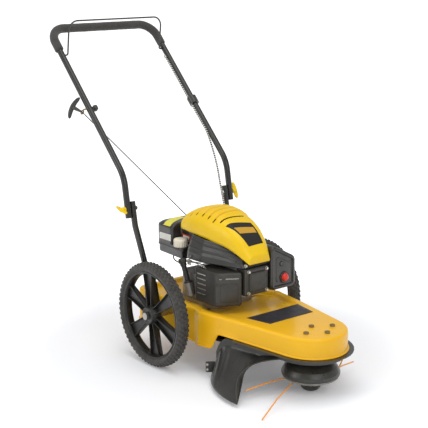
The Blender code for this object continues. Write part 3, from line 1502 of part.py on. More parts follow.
def build_fuel_tank():
    """The tank behind the blower housing, with the notch that its filler neck stands in."""
    front = SHROUD_REAR - SEAT
    outline = rounded(
        [
            (engine(front, -TANK_HALF, 0).xy, 0.006),
            (engine(front, TANK_HALF, 0).xy, 0.006),
            (engine(TANK_REAR, TANK_HALF * 0.85, 0).xy, 0.030),
            (engine(TANK_REAR, -TANK_HALF * 0.85, 0).xy, 0.030),
        ],
        5, closed=True,
    )
    middle = engine((front + TANK_REAR) / 2.0, 0.0, 0.0).xy
    edge = TANK_HIGH - TANK_EDGE
    levels = [(1.0, TANK_LOW, False), (1.0, edge, False), (0.985, edge + TANK_EDGE * 0.7, False)]
    levels += [(0.955, TANK_HIGH, False), (0.950, TANK_HIGH, True)]
    levels += [(share, TANK_HIGH + rise, True) for share, rise in TANK_CROWN]
    rows = []
    for share, height, crown in levels:
        row = []
        for point in outline:
            place = middle + (point - middle) * share
            x = min(place.x, TANK_CROWN_FRONT - (height - TANK_HIGH) * 0.3) if crown else place.x
            row.append((x, place.y, height))
        rows.append(row)
    tank = loft("fuel_tank", rows)
    notch_high = engine(front + 0.02, TANK_NOTCH.y, TANK_HIGH + 0.05)
    notch = box("tank_notch", (TANK_NOTCH.x, -TANK_HALF * 2.0, TANK_NOTCH.z), notch_high)
    cut(tank, notch, "MANIFOLD")
    neck = FUEL_CAP_PLACE
    join(tank, rod("fuel_neck", neck - Vector((0.0, 0.0, 0.010)), neck + Vector((0.0, 0.0, FUEL_NECK_HEIGHT)),
                   FUEL_NECK_RADIUS, 24), "MANIFOLD")
    part(tank, "black_plastic")


def build_fuel_cap(pivot):
    """The filler cap, a cup with grip ribs that turns on the neck."""
    inner = FUEL_NECK_RADIUS + RUNNING
    depth = FUEL_NECK_HEIGHT
    height = FUEL_CAP_HEIGHT
    profile = [
        (0.0, height), (FUEL_CAP_RADIUS * 0.80, height), (FUEL_CAP_RADIUS * 0.95, height - 0.002),
        (FUEL_CAP_RADIUS, height - 0.006), (FUEL_CAP_RADIUS, RUNNING), (inner, RUNNING),
        (inner, depth + RUNNING), (0.0, depth + RUNNING),
    ]
    cap = turned("fuel_cap", profile, FUEL_CAP_PLACE, steps=24)
    grips = []
    for k in range(12):
        angle = math.tau * k / 12
        x = FUEL_CAP_PLACE.x + (FUEL_CAP_RADIUS + 0.0002) * math.cos(angle)
        y = FUEL_CAP_PLACE.y + (FUEL_CAP_RADIUS + 0.0002) * math.sin(angle)
        z = FUEL_CAP_PLACE.z
        grips.append(((x, y, z - 0.005), (x, y, z + height - 0.007), 0.0014))
    cut(cap, rods("cap_grooves", grips, 5))
    part(cap, "cream_plastic", pivot)


def build_reel(pivot):
    """The recoil reel that the starter rope winds on, round the cover's post."""
    bore = REEL_POST + RUNNING
    low, high = REEL_LOW, REEL_LOW + REEL_HEIGHT
    rim = REEL_RADIUS + 0.008
    profile = [
        (bore, high), (rim, high), (rim, high - 0.004), (REEL_RADIUS, high - 0.006),
        (REEL_RADIUS, low + 0.006), (rim, low + 0.004), (rim, low), (bore, low),
    ]
    reel = turned("recoil_reel", profile, engine(CRANK_X, 0.0, 0.0), steps=24, closed=True)
    part(reel, "black_plastic", pivot)


def oil_tube_route():
    return [Vector(place) for place in OIL_TUBE_PLACES]


def build_oil_filler(pivot):
    route = oil_tube_route()
    up = (route[2] - route[1]).normalized()
    start = route[0] + (route[1] - route[0]).normalized() * SEAT
    tube_points = rounded([(start, 0.0), (route[1], 0.03), (route[2], 0.0)], 3)
    part(as_mesh(tube("oil_filler_tube", tube_points, OIL_TUBE_RADIUS, 3)), "black_plastic")
    profile = [
        (0.0, OIL_CAP_HEIGHT), (OIL_CAP_RADIUS * 0.8, OIL_CAP_HEIGHT),
        (OIL_CAP_RADIUS, OIL_CAP_HEIGHT - 0.004),
        (OIL_CAP_RADIUS, SEAT), (0.0, SEAT),
    ]
    cap = turned("oil_cap", profile, route[2], up, 16)
    part(cap, "black_plastic", pivot)


def cleaner_outline(grow=0.0):
    corners = [
        ((CLEANER_INNER - grow, CLEANER_LOW - grow), 0.010),
        ((CLEANER_OUTER + grow, CLEANER_LOW - grow), 0.014),
        ((CLEANER_OUTER + grow, CLEANER_HIGH_OUTER + grow), 0.018),
        ((CLEANER_INNER - grow, CLEANER_HIGH_INNER + grow), 0.012),
    ]
    return rounded([(Vector(corner), radius) for corner, radius in corners], 3, closed=True)


def cleaner_space():
    """The space that the air cleaner takes out of the blower housing and of the cover's edge."""
    low = (CLEANER_BASE_REAR - 0.0010, CLEANER_INNER - 0.0010, CLEANER_LOW)
    high = (CLEANER_FRONT + 0.0200, CLEANER_OUTER, CLEANER_HIGH_INNER + 0.0010)
    return low, high


def build_air_cleaner(pivot):
    """Base, cover with its sloping top and raised panel, carburettor behind, and the primer bulb."""
    base = as_mesh(plate("air_cleaner_base", [cleaner_outline(-0.003)], CLEANER_BASE_REAR,
                         CLEANER_SPLIT - SEAT, "YZ"))
    part(base, "black_plastic")
    cover = as_mesh(plate("air_cleaner_cover", [cleaner_outline()], CLEANER_SPLIT, CLEANER_FRONT, "YZ"))
    bevel(cover, 0.005, 2, 60.0)
    pocket_floor = CLEANER_FRONT + 0.010 - PRIMER_LENGTH - PRIMER_TRAVEL - SEAT
    pocket_start = (pocket_floor, PRIMER_Y, PRIMER_Z)
    pocket_end = (CLEANER_FRONT + 0.02, PRIMER_Y, PRIMER_Z)
    pocket = rod("primer_pocket", pocket_start, pocket_end, PRIMER_RADIUS + 0.0007, 28)
    cut(cover, pocket)
    part(cover, "black_plastic")
    front = CLEANER_FRONT + 0.010
    profile = [(0.0, 0.0), (PRIMER_RADIUS * 0.55, -0.0012), (PRIMER_RADIUS * 0.85, -0.0045),
               (PRIMER_RADIUS, -0.0095), (PRIMER_RADIUS, -PRIMER_LENGTH), (0.0, -PRIMER_LENGTH)]
    bulb = turned("primer_bulb", profile, (front, PRIMER_Y, PRIMER_Z), (1.0, 0.0, 0.0), 28)
    part(bulb, "red_rubber", pivot)
    body = box("carburettor", (CYLINDER_FRONT - 0.030, ENGINE_Y + CYLINDER_HALF + 0.008, 0.285),
               (CLEANER_BASE_REAR - SEAT, ENGINE_Y + CYLINDER_HALF + 0.048, 0.330))
    bevel(body, 0.005, 2)
    intake_z = 0.3075
    port = rod("intake_port", (CYLINDER_FRONT - 0.015, ENGINE_Y + CYLINDER_HALF + SEAT, intake_z),
               (CYLINDER_FRONT - 0.015, ENGINE_Y + CYLINDER_HALF + 0.012, intake_z), 0.010, 16)
    join(body, port)
    bowl = rod("float_bowl", (CYLINDER_FRONT - 0.005, ENGINE_Y + CYLINDER_HALF + 0.028, 0.262),
               (CYLINDER_FRONT - 0.005, ENGINE_Y + CYLINDER_HALF + 0.028, 0.290), 0.017, 20)
    join(body, bowl)
    part(body, "cast_aluminium")


def build_plug_boot():
    """The spark plug's boot, standing off the cylinder head below the air cleaner."""
    x = HEAD_FRONT - BOOT_SETBACK
    y = ENGINE_Y + CYLINDER_HALF + 0.002 + SEAT
    z = CYLINDER_LOW + BOOT_RISE
    neck, radius = BOOT_RADIUS * 0.65, BOOT_RADIUS
    start, end = BOOT_START - y, BOOT_END - y
    profile = [
        (0.0, end), (neck, end), (radius * 0.9, end - 0.004), (radius, end - 0.010), (radius, start + 0.003),
        (radius * 0.85, start), (neck, start), (neck, 0.0), (0.0, 0.0),
    ]
    part(turned("plug_boot", profile, (x, y, z), (0.0, 1.0, 0.0), 16), "orange_nylon")


def build_governor_spring():
    """The governor's coil spring, held between two ears above the muffler guard."""
    start = Vector((GUARD_LOW.x + 0.0100, GUARD_LOW.y + 0.0100, GUARD_HIGH.z + SPRING_RISE))
    end = start + SPRING_RUN
    curls, per_curl, coil, wire = 7, 8, 0.0034, 0.0006
    along = (end - start).normalized()
    across = along.cross(Vector((0.0, 0.0, 1.0))).normalized()
    up = across.cross(along)
    straight = 0.008
    length = (end - start).length - 2.0 * straight
    foot = GUARD_HIGH.z + wire + SEAT
    points = [Vector((start.x, start.y, foot)), start, start + along * straight * 0.8]
    for k in range(curls * per_curl + 1):
        angle = math.tau * k / per_curl
        place = start + along * (straight + length * k / (curls * per_curl))
        points.append(place + (across * math.cos(angle) + up * math.sin(angle)) * coil)
    points += [end - along * straight * 0.8, end, Vector((end.x, end.y, foot))]
    gap = length / curls - 2.0 * wire
    print(f"governor spring: least gap between curls {gap * 1000.0:.2f} mm")
    part(as_mesh(tube("governor_spring", points, wire, 1)), "steel")


# Handle


def leg_direction():
    return Vector((TOP_X - BEND_X, 0.0, TOP_Z - BEND_Z)).normalized()


def leg_normal():
    """Square to the upper leg, forward and up."""
    along = leg_direction()
    return Vector((along.z, 0.0, -along.x))


def leg_point(share, side):
    """A point on an upper leg's middle line, from its bend at 0 to its top corner at 1."""
    return Vector((BEND_X + (TOP_X - BEND_X) * share, side * HANDLE_HALF, BEND_Z + (TOP_Z - BEND_Z) * share))


def pivot_line_x(z):
    """The lower stretch of the upper handle, straight from the bend through the pivot."""
    return PIVOT_X + (BEND_X - PIVOT_X) * (z - PIVOT_Z) / (BEND_Z - PIVOT_Z)


def bolt_cutter(name, radius, side=None):
    """A hole along Y through the handle tubes at the pivot."""
    reach = HANDLE_HALF + 0.05
    runs = []
    for s in (-1.0, 1.0):
        if side is None or s == side:
            runs.append(((PIVOT_X, s * (HANDLE_HALF - 0.05), PIVOT_Z), (PIVOT_X, s * reach, PIVOT_Z), radius))
    return rods(name, runs, 16)


def hollow(obj, route, radius, resolution):
    """Cuts the bore of a tube along the same route, open at both ends."""
    points = list(route)
    points[0] = points[0] + (points[0] - points[1]).normalized() * 0.01
    points[-1] = points[-1] + (points[-1] - points[-2]).normalized() * 0.01
    cut(obj, as_mesh(tube(obj.name + "_bore", points, radius, resolution)))


def upper_route():
    end = Vector((pivot_line_x(UPPER_END_Z), 0.0, UPPER_END_Z))
    bend = Vector((BEND_X, 0.0, BEND_Z))
    top = Vector((TOP_X, 0.0, TOP_Z))
    across = Vector((0.0, HANDLE_HALF, 0.0))
    corners = [
        (end - across, 0.0), (bend - across, 0.12), (top - across, CORNER_RADIUS),
        (top + across, CORNER_RADIUS), (bend + across, 0.12), (end + across, 0.0),
    ]
    return rounded(corners, HANDLE_STEPS)


def build_upper_handle(pivot):
    """The bent tube of the upper handle, bored for its knobs, the bail and the rope guide."""
    route = upper_route()
    handle = as_mesh(tube("upper_handle", route, UPPER_RADIUS, 3))
    hollow(handle, route, UPPER_RADIUS - TUBE_WALL, 2)
    cut(handle, bolt_cutter("upper_pivot_holes", HANDLE_BOLT_RADIUS + BOLT_CLEARANCE))
    guide = leg_point(GUIDE_FRACTION, -1.0)
    reach = Vector((0.0, 0.03, 0.0))
    pivots = [(guide - reach, guide + reach, GUIDE_WIRE + BOLT_CLEARANCE)]
    for side in (-1.0, 1.0):
        wall = bail_pivot() + Vector((0.0, side * (HANDLE_HALF - UPPER_RADIUS), 0.0))
        pivots.append((wall - Vector((0.0, side * 0.01, 0.0)), wall + Vector((0.0, side * UPPER_RADIUS, 0.0)),
                       BAIL_RADIUS + RUNNING))
    cut(handle, rods("upper_cross_holes", pivots, 12))
    part(handle, "black_paint", pivot)


def build_grip(pivot):
    """The thick sleeve over the crossbar, its two corners and the top of both legs."""
    down = -leg_direction() * GRIP_LEG
    top = Vector((TOP_X, 0.0, TOP_Z))
    across = Vector((0.0, HANDLE_HALF, 0.0))
    corners = [
        (top - across + down, 0.0), (top - across, CORNER_RADIUS), (top + across, CORNER_RADIUS),
        (top + across + down, 0.0),
    ]
    route = rounded(corners, HANDLE_STEPS)
    grip = as_mesh(tube("handle_grip", route, GRIP_RADIUS, 3))
    hollow(grip, route, UPPER_RADIUS + SEAT * 2.0, 3)
    part(grip, "foam", pivot)


def lower_half():
    """The lower tubes stand inside the upper ones by both radii and a seat."""
    return HANDLE_HALF - UPPER_RADIUS - LOWER_RADIUS - RUNNING


def foot_half():
    return REAR_HALF + SEAT + BRACKET_SHEET + SEAT + LOWER_RADIUS


def lower_route(side):
    top = side * lower_half()
    foot = side * foot_half()
    corners = [
        (Vector((pivot_line_x(LOWER_END_Z), top, LOWER_END_Z)), 0.0),
        (Vector((-0.1540, top, 0.4480)), 0.15),
        (Vector((-0.1240, foot, 0.2950)), 0.20),
        (Vector((-0.1020, foot, 0.1700)), 0.0),
    ]
    return rounded(corners, 2)


def build_lower_handle(name, side):
    route = lower_route(side)
    handle = as_mesh(tube(name, route, LOWER_RADIUS, 3))
    hollow(handle, route, LOWER_RADIUS - TUBE_WALL, 2)
    cut(handle, bolt_cutter(name + "_hole", HANDLE_BOLT_RADIUS + BOLT_CLEARANCE, side))
    part(handle, "black_paint")


def build_handle_bracket(name, side):
    """The plate that carries a lower tube on the deck's wall."""
    outline = rounded(
        [
            (Vector((-0.1550, BRACKET_LOW)), 0.010),
            (Vector((-0.0550, BRACKET_LOW)), 0.010),
            (Vector((-0.0850, BRACKET_HIGH)), 0.012),
            (Vector((-0.1450, BRACKET_HIGH)), 0.012),
        ],
        3, closed=True,
    )
    low, high = sorted((side * (REAR_HALF + SEAT), side * (REAR_HALF + SEAT + BRACKET_SHEET)))
    bracket = plate(name, [[Vector((p.x, p.y)) for p in outline]], low, high, "XZ")
    part(as_mesh(bracket), "black_paint")


def build_handle_bolt(name, side):
    """The carriage bolt through both tubes, with its dome inside the lower one."""
    inner = lower_half() - LOWER_RADIUS - SEAT
    outer = HANDLE_HALF + UPPER_RADIUS
    profile = [
        (0.0, outer + KNOB_LENGTH * 0.7), (HANDLE_BOLT_RADIUS, outer + KNOB_LENGTH * 0.7),
        (HANDLE_BOLT_RADIUS, inner), (0.0075, inner), (0.0060, inner - 0.0030), (0.0, inner - 0.0040),
    ]
    place = (PIVOT_X, 0.0, PIVOT_Z)
    part(turned(name, profile, place, (0.0, side, 0.0), 16), "steel")


def build_wing_knob(name, side, pivot, tilt):
    """A yellow knob: a turned hub with two flat wings, bored for its bolt."""
    start = HANDLE_HALF + UPPER_RADIUS + RUNNING
    place = Vector((PIVOT_X, 0.0, PIVOT_Z))
    profile = [
        (0.0, start + KNOB_LENGTH), (KNOB_HUB_RADIUS * 0.75, start + KNOB_LENGTH),
        (KNOB_HUB_RADIUS, start + KNOB_LENGTH - 0.003), (KNOB_HUB_RADIUS, start), (0.0, start),
    ]
    knob = turned(name, profile, place, (0.0, side, 0.0), 20)
    bm = bmesh.new()
    middle = side * (start + KNOB_LENGTH * 0.72)
    spin = Matrix.Translation((PIVOT_X, middle, PIVOT_Z)) @ Matrix.Rotation(tilt, 4, "Y")
    size = Matrix.Diagonal((KNOB_WING * 2.0, KNOB_LENGTH * 0.75, 0.0065, 1.0))
    bmesh.ops.create_cube(bm, size=1.0, matrix=spin @ size)
    wings = mesh_object(name + "_wings", bm)
    bevel(wings, 0.003, 2)
    join(knob, wings)
    bore_end = start + KNOB_LENGTH * 0.7 + RUNNING
    runs = [((PIVOT_X, side * (start - 0.01), PIVOT_Z), (PIVOT_X, side * bore_end, PIVOT_Z),
             HANDLE_BOLT_RADIUS + RUNNING)]
    cut(knob, rods(name + "_bore", runs, 16))
    part(knob, "yellow_plastic", pivot)


# Bail and cable


def bail_pivot():
    """The middle of the line that the bail turns about, between both legs."""
    point = leg_point(BAIL_SHARE, 0.0)
    return Vector((point.x, 0.0, point.z))


def bail_route():
    pin = HANDLE_HALF - UPPER_RADIUS + 0.0060
    half = HANDLE_HALF - BAIL_INSET
    low = bail_pivot()
    top = Vector((TOP_X, 0.0, TOP_Z)) + BAIL_TOP
    right = [
        (low + Vector((0.0, -pin, 0.0)), 0.0),
        (low + Vector((0.0, -half, 0.0)), 0.006),
        (top + Vector((0.0, -half, 0.0)), 0.035),
    ]
    left = [(Vector((p.x, -p.y, p.z)), r) for p, r in reversed(right)]
    return rounded(right + left, 4)


def build_bail(pivot):
    part(as_mesh(tube("bail", bail_route(), BAIL_RADIUS, 2)), "black_paint", pivot)


def cable_place(share, lift=0.0):
    """A point beside the left leg, on its inner side, where the cable lies."""
    inner = HANDLE_HALF - UPPER_RADIUS - CABLE_RADIUS - SEAT * 2.0
    point = leg_point(share, 1.0)
    return Vector((point.x, inner, point.z)) + leg_normal() * lift


def cable_route():
    points = [cable_place(share) for share in (0.735, 0.66, 0.58, 0.50, 0.42, 0.34, 0.27, 0.21)]
    inner = points[0].y
    for x, share, z in CABLE_FREE:
        points.append(Vector((x, inner + (CABLE_END.y - inner) * share, z)))
    return points + [CABLE_END.copy()]


def smooth_route(points, steps):
    """A smooth curve through the route's points."""
    result = []
    padded = [points[0] * 2.0 - points[1]] + list(points) + [points[-1] * 2.0 - points[-2]]
    for a, b, c, d in zip(padded, padded[1:], padded[2:], padded[3:]):
        for k in range(steps):
            t = k / steps
            result.append(0.5 * ((2.0 * b) + (c - a) * t + (2.0 * a - 5.0 * b + 4.0 * c - d) * t * t
                                 + (3.0 * b - a - 3.0 * c + d) * t ** 3))
    result.append(points[-1])
    return result


def build_cable(pivot):
    route = smooth_route(cable_route(), 4)
    part(as_mesh(tube("brake_cable", route, CABLE_RADIUS, 2)), "black_plastic", pivot)
    along = leg_direction()
    middle = leg_point(SLEEVE_SHARE, 1.0)
    half = along * SLEEVE_LENGTH / 2.0
    sleeve = rod("cable_sleeve", middle - half, middle + half, SLEEVE_RADIUS, 20)
    through = along * SLEEVE_LENGTH
    beside = Vector((0.0, cable_place(SLEEVE_SHARE).y - middle.y, 0.0))
    bores = [
        (middle - through, middle + through, UPPER_RADIUS + SEAT),
        (middle + beside - through, middle + beside + through, CABLE_RADIUS + SEAT * 3.0),
    ]
    for index, (start, end, radius) in enumerate(bores):
        cut(sleeve, rod(f"sleeve_bore_{index}", start, end, radius, 14))
    part(sleeve, "black_plastic", pivot)
    low, high = cable_place(0.760), cable_place(0.742)
    stop = rod("cable_stop", low, high, 0.0045, 12)
    stop.location = Vector((0.0, -0.0020, 0.0))
    part(stop, "steel", pivot)


def brake_place():
    return engine(0.0080, SHROUD_HALF, 0.3770)


def build_brake(pivot):
    """The brake bracket on the blower housing's left side and the lever that the cable pulls."""
    place = brake_place()
    low = place + Vector((-0.0050, SEAT, -0.0200))
    high = place + Vector((0.0300, SEAT + 0.0025, 0.0150))
    bracket = box("brake_bracket", low, high)
    pin = rod("brake_pin", (place.x + 0.012, high.y - 0.001, place.z - 0.008),
              (place.x + 0.012, high.y + 0.006, place.z - 0.008), 0.0025, 12)
    join(bracket, pin)
    part(bracket, "steel")
    lever_low, lever_high = high.y + RUNNING, high.y + RUNNING + 0.0025
    x, z = place.x + 0.012, place.z - 0.008
    outline = rounded(
        [
            (Vector((x - 0.008, z - 0.007)), 0.004), (Vector((x + 0.008, z - 0.007)), 0.004),
            (Vector((x - 0.012, z + 0.034)), 0.003), (Vector((x - 0.022, z + 0.034)), 0.003),
        ],
        3, closed=True,
    )
    hole = circle((x, z), 0.0025 + RUNNING, 12)
    lever = as_mesh(plate("brake_lever", [outline, hole], lever_low, lever_high, "XZ"))
    part(lever, "steel", pivot)


# Starter rope


def rope_eye():
    """The middle of the rope guide's loop, behind the right leg and just outside it."""
    return leg_point(GUIDE_FRACTION, -1.0) + Vector((0.0, -GUIDE_OUT, 0.0)) + leg_normal() * GUIDE_RISE


def build_rope_guide(pivot):
    """A wire that passes through the leg and ends in the loop that the rope runs through."""
    leg = leg_point(GUIDE_FRACTION, -1.0)
    eye = rope_eye()
    side = STARTER_AXIS.cross(-leg_normal()).normalized()
    up = STARTER_AXIS.cross(side).normalized()
    loop = []
    turns = 10
    for k in range(turns + 1):
        angle = math.radians(90.0 + 300.0 * k / turns)
        loop.append(eye + (side * math.cos(angle) + up * math.sin(angle)) * GUIDE_LOOP)
    inner = leg + Vector((0.0, UPPER_RADIUS + GUIDE_KNOB_LENGTH * 0.8, 0.0))
    outer = leg + Vector((0.0, loop[0].y - leg.y, 0.0))
    points = [inner] + rounded([(leg, 0.0), (outer, 0.004), (loop[0], 0.0)], 3)[1:] + loop[1:]
    part(as_mesh(tube("rope_guide", points, GUIDE_WIRE, 2)), "steel", pivot)


def build_guide_knob(pivot):
    leg = leg_point(GUIDE_FRACTION, -1.0)
    start = UPPER_RADIUS + RUNNING
    length = GUIDE_KNOB_LENGTH
    profile = [
        (0.0, start + length), (GUIDE_KNOB_RADIUS * 0.75, start + length),
        (GUIDE_KNOB_RADIUS, start + length - 0.004), (GUIDE_KNOB_RADIUS, start + 0.008),
        (GUIDE_KNOB_RADIUS * 0.6, start + 0.005), (GUIDE_KNOB_RADIUS * 0.6, start), (0.0, start),
    ]
    knob = turned("guide_knob", profile, leg, (0.0, 1.0, 0.0), 20)
    reach = UPPER_RADIUS + GUIDE_KNOB_LENGTH * 0.8 + RUNNING
    bore = rod("guide_knob_bore", leg + Vector((0.0, start - 0.01, 0.0)), leg + Vector((0.0, reach, 0.0)),
               GUIDE_WIRE + RUNNING, 12)
    cut(knob, bore)
    part(knob, "black_plastic", pivot)


def grip_axis():
    """The starter grip's long axis, square to the pull and leaning down and out."""
    lean = Vector((0.0, -0.36, -0.93))
    return (lean - STARTER_AXIS * lean.dot(STARTER_AXIS)).normalized()


def build_starter_grip(pivot):
    """The bowed bar that the hand pulls, with the stem that the rope is knotted in."""
    eye = rope_eye()
    centre = eye + STARTER_AXIS * STARTER_REACH
    along = grip_axis()
    points = []
    steps = 10
    for k in range(steps + 1):
        share = -1.0 + 2.0 * k / steps
        points.append(centre + along * STARTER_HALF * share - STARTER_AXIS * 0.010 * share * share)
    grip = tube("starter_grip", points, 0.0085, 3)
    for k, spline_point in enumerate(grip.data.splines[0].points):
        share = -1.0 + 2.0 * k / steps
        spline_point.radius = 1.0 - 0.35 * share * share
    grip = as_mesh(grip)
    stem = rod("starter_stem", centre, eye + STARTER_AXIS * (GUIDE_WIRE + SEAT), 0.0060, 16)
    join(grip, stem)
    part(grip, "black_plastic", pivot)


def build_rope(pivot):
    """The rope from inside the cover to its knot at the starter grip, straight through the guide's loop."""
    eye = rope_eye()
    down = (ROPE_PORT - eye).normalized()
    end = eye + STARTER_AXIS * GUIDE_WIRE
    corners = [(end, 0.0), (eye, 0.006), (ROPE_PORT + down * 0.006, 0.0)]
    points = divided(rounded(corners, 4), 0.010)
    part(as_mesh(tube("starter_rope", points, ROPE_RADIUS, 2)), "grey_rope", pivot)


# Whole machine


def main():
    for name, side in (("right", -1.0), ("left", 1.0)):
        wheel = new_moving_pivot(name + "_wheel_axis", wheel_place(side))
        build_tyre(name + "_tyre", side, wheel)
        build_rim(name + "_wheel", side, wheel)
        build_lower_handle(name + "_lower_handle", side)
        build_handle_bracket(name + "_handle_bracket", side)
        build_handle_bolt(name + "_handle_bolt", side)
        knob = new_moving_pivot(name + "_knob_axis", (PIVOT_X, side * HANDLE_HALF, PIVOT_Z))
        build_wing_knob(name + "_wing_knob", side, knob, 0.25 if side < 0.0 else 1.15)
    build_axle()
    build_deck()
    build_skirt_ring()
    build_debris_shield()
    build_belt_cover()
    build_belt()
    build_spindle_housing()
    build_crank(new_moving_pivot("crank_axis", (CRANK_X, ENGINE_Y, BELT_Z)))
    spindle = new_moving_pivot("spindle_axis", (SPINDLE_X, 0.0, BELT_Z))
    build_spindle(spindle)
    build_trimmer_head(spindle)
    build_line_retainer(spindle)
    build_lines(spindle)
    build_support_ball(new_moving_pivot("ball_axis", (SPINDLE_X, 0.0, 0.0)))
    build_crankcase()
    build_cylinder_head()
    build_valve_cover()
    build_muffler()
    build_top_cover()
    build_shroud()
    build_fuel_tank()
    build_fuel_cap(new_moving_pivot("fuel_cap_axis", FUEL_CAP_PLACE))
    build_reel(new_moving_pivot("reel_axis", engine(CRANK_X, 0.0, REEL_LOW)))
    build_oil_filler(new_moving_pivot("oil_cap_axis", oil_tube_route()[2]))
    build_air_cleaner(new_moving_pivot("primer_axis", (CLEANER_FRONT, PRIMER_Y, PRIMER_Z)))
    build_plug_boot()
    build_governor_spring()
    brake = brake_place()
    build_brake(new_moving_pivot("brake_axis", (brake.x + 0.012, brake.y, brake.z - 0.008)))
    fold = new_moving_pivot("fold_axis", (PIVOT_X, 0.0, PIVOT_Z))
    build_upper_handle(fold)
    build_grip(fold)
    build_cable(fold)
    build_rope_guide(fold)
    build_rope(fold)
    build_bail(new_moving_pivot("bail_axis", bail_pivot()))
    build_guide_knob(new_moving_pivot("guide_knob_axis", leg_point(GUIDE_FRACTION, -1.0)))
    build_starter_grip(new_moving_pivot("starter_axis", rope_eye()))
    AXLE_FRAME.location.x = AXLE_X
    bpy.context.view_layer.update()


main()
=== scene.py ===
"""Tall grass mower: finishes, fine moulded forms, floor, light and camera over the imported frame.

Every place is in metres. Sizes are written from the axle frame, whose origin lies on the ground
under the wheel axle, and are moved along X by AXLE_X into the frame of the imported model.
"""

import logging
import math
from dataclasses import dataclass, field
from enum import Enum
from typing import Sequence

import bmesh
import bpy
import numpy as np
from mathutils import Matrix, Vector


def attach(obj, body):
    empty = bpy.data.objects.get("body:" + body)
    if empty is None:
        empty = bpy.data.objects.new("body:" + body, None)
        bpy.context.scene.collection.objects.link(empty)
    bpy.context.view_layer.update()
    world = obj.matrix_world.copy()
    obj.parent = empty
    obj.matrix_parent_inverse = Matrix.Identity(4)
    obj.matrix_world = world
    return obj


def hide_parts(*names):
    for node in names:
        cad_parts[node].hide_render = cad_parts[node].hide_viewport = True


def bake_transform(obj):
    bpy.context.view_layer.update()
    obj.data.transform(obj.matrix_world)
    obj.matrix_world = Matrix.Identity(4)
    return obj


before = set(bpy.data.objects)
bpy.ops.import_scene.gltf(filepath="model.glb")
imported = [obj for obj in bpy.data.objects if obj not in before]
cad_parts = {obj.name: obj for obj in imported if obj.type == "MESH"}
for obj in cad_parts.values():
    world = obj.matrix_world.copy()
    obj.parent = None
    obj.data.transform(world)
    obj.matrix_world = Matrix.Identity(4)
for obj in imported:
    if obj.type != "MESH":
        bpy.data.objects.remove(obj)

LOG = logging.getLogger("mower")
Tree = bpy.types.NodeTree
Socket = bpy.types.NodeSocket
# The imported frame's X of the wheel axle, and the engine's own middle plane
AXLE_X = 0.0079
ENGINE_Y = -0.0080
MILLIMETRE = 0.001
QUARTER_TURN = math.pi / 2.0


class Body(str, Enum):
    """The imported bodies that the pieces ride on."""

    CHASSIS = "chassis"
    RIGHT_WHEEL = "right_wheel_set"
    LEFT_WHEEL = "left_wheel_set"
    CRANK = "crank"
    TRIMMER = "trimmer"
    BALL = "ball"
    HANDLE = "handle"
    BAIL = "bail_wire"
    GUIDE_CLAMP = "guide_clamp"
    RIGHT_KNOB = "right_knob"
    LEFT_KNOB = "left_knob"
    STARTER = "starter"
    REEL = "reel"
    FUEL = "fuel_filler"
    OIL = "oil_filler"
    PRIMER = "primer"
    BRAKE = "brake"


# Colours and shader nodes


def linear(colour: str) -> tuple[float, float, float, float]:
    """Turns an sRGB hex colour into the linear colour that a shader takes.

    Args:
        colour: Six hex digits, with or without a leading hash.

    Returns:
        Red, green, blue and an alpha of one.
    """
    digits = colour.lstrip("#")
    values = np.array([int(digits[i:i + 2], 16) for i in (0, 2, 4)]) / 255.0
    low, high = values / 12.92, ((values + 0.055) / 1.055) ** 2.4
    red, green, blue = np.where(values <= 0.04045, low, high)
    return float(red), float(green), float(blue), 1.0


def add_node(tree: Tree, kind: str, sockets: dict | None = None, **settings: object) -> bpy.types.Node:
    """Adds one shader node with its settings, values and links.

    Args:
        tree: The node tree of the material or world.
        kind: The node's type without its ShaderNode prefix.
        sockets: Input name or number, with a value or an output socket to link.
        **settings: The node's own properties.

    Returns:
        The new node.
    """
    node = tree.nodes.new("ShaderNode" + kind)
    for name, value in settings.items():
        setattr(node, name, value)
    for key, value in (sockets or {}).items():
        if isinstance(value, Socket):
            tree.links.new(value, node.inputs[key])
        else:
            node.inputs[key].default_value = value
    return node


def reckon(tree: Tree, operation: str, *values: float | Socket) -> Socket:
    """The result of one sum over values and sockets."""
    return add_node(tree, "Math", dict(enumerate(values)), operation=operation).outputs[0]


def tinted(tree: Tree, base: Socket | tuple, tone: str, share: Socket) -> Socket:
    """The base colour with a tone mixed in by a share from zero to one."""
    return add_node(tree, "Mix", {0: share, 6: base, 7: linear(tone)}, data_type="RGBA").outputs[2]


def own_map(tree: Tree) -> tuple[Socket, Socket]:
    """Both coordinates of a piece's own flat map: along its rows and across them."""
    parts = add_node(tree, "SeparateXYZ", {0: add_node(tree, "TexCoord").outputs["UV"]})
    return parts.outputs[0], parts.outputs[1]


def per_metre(millimetres: float) -> float:
    """Texture scale whose pattern repeats about once in the given number of millimetres."""
    return 1000.0 / millimetres


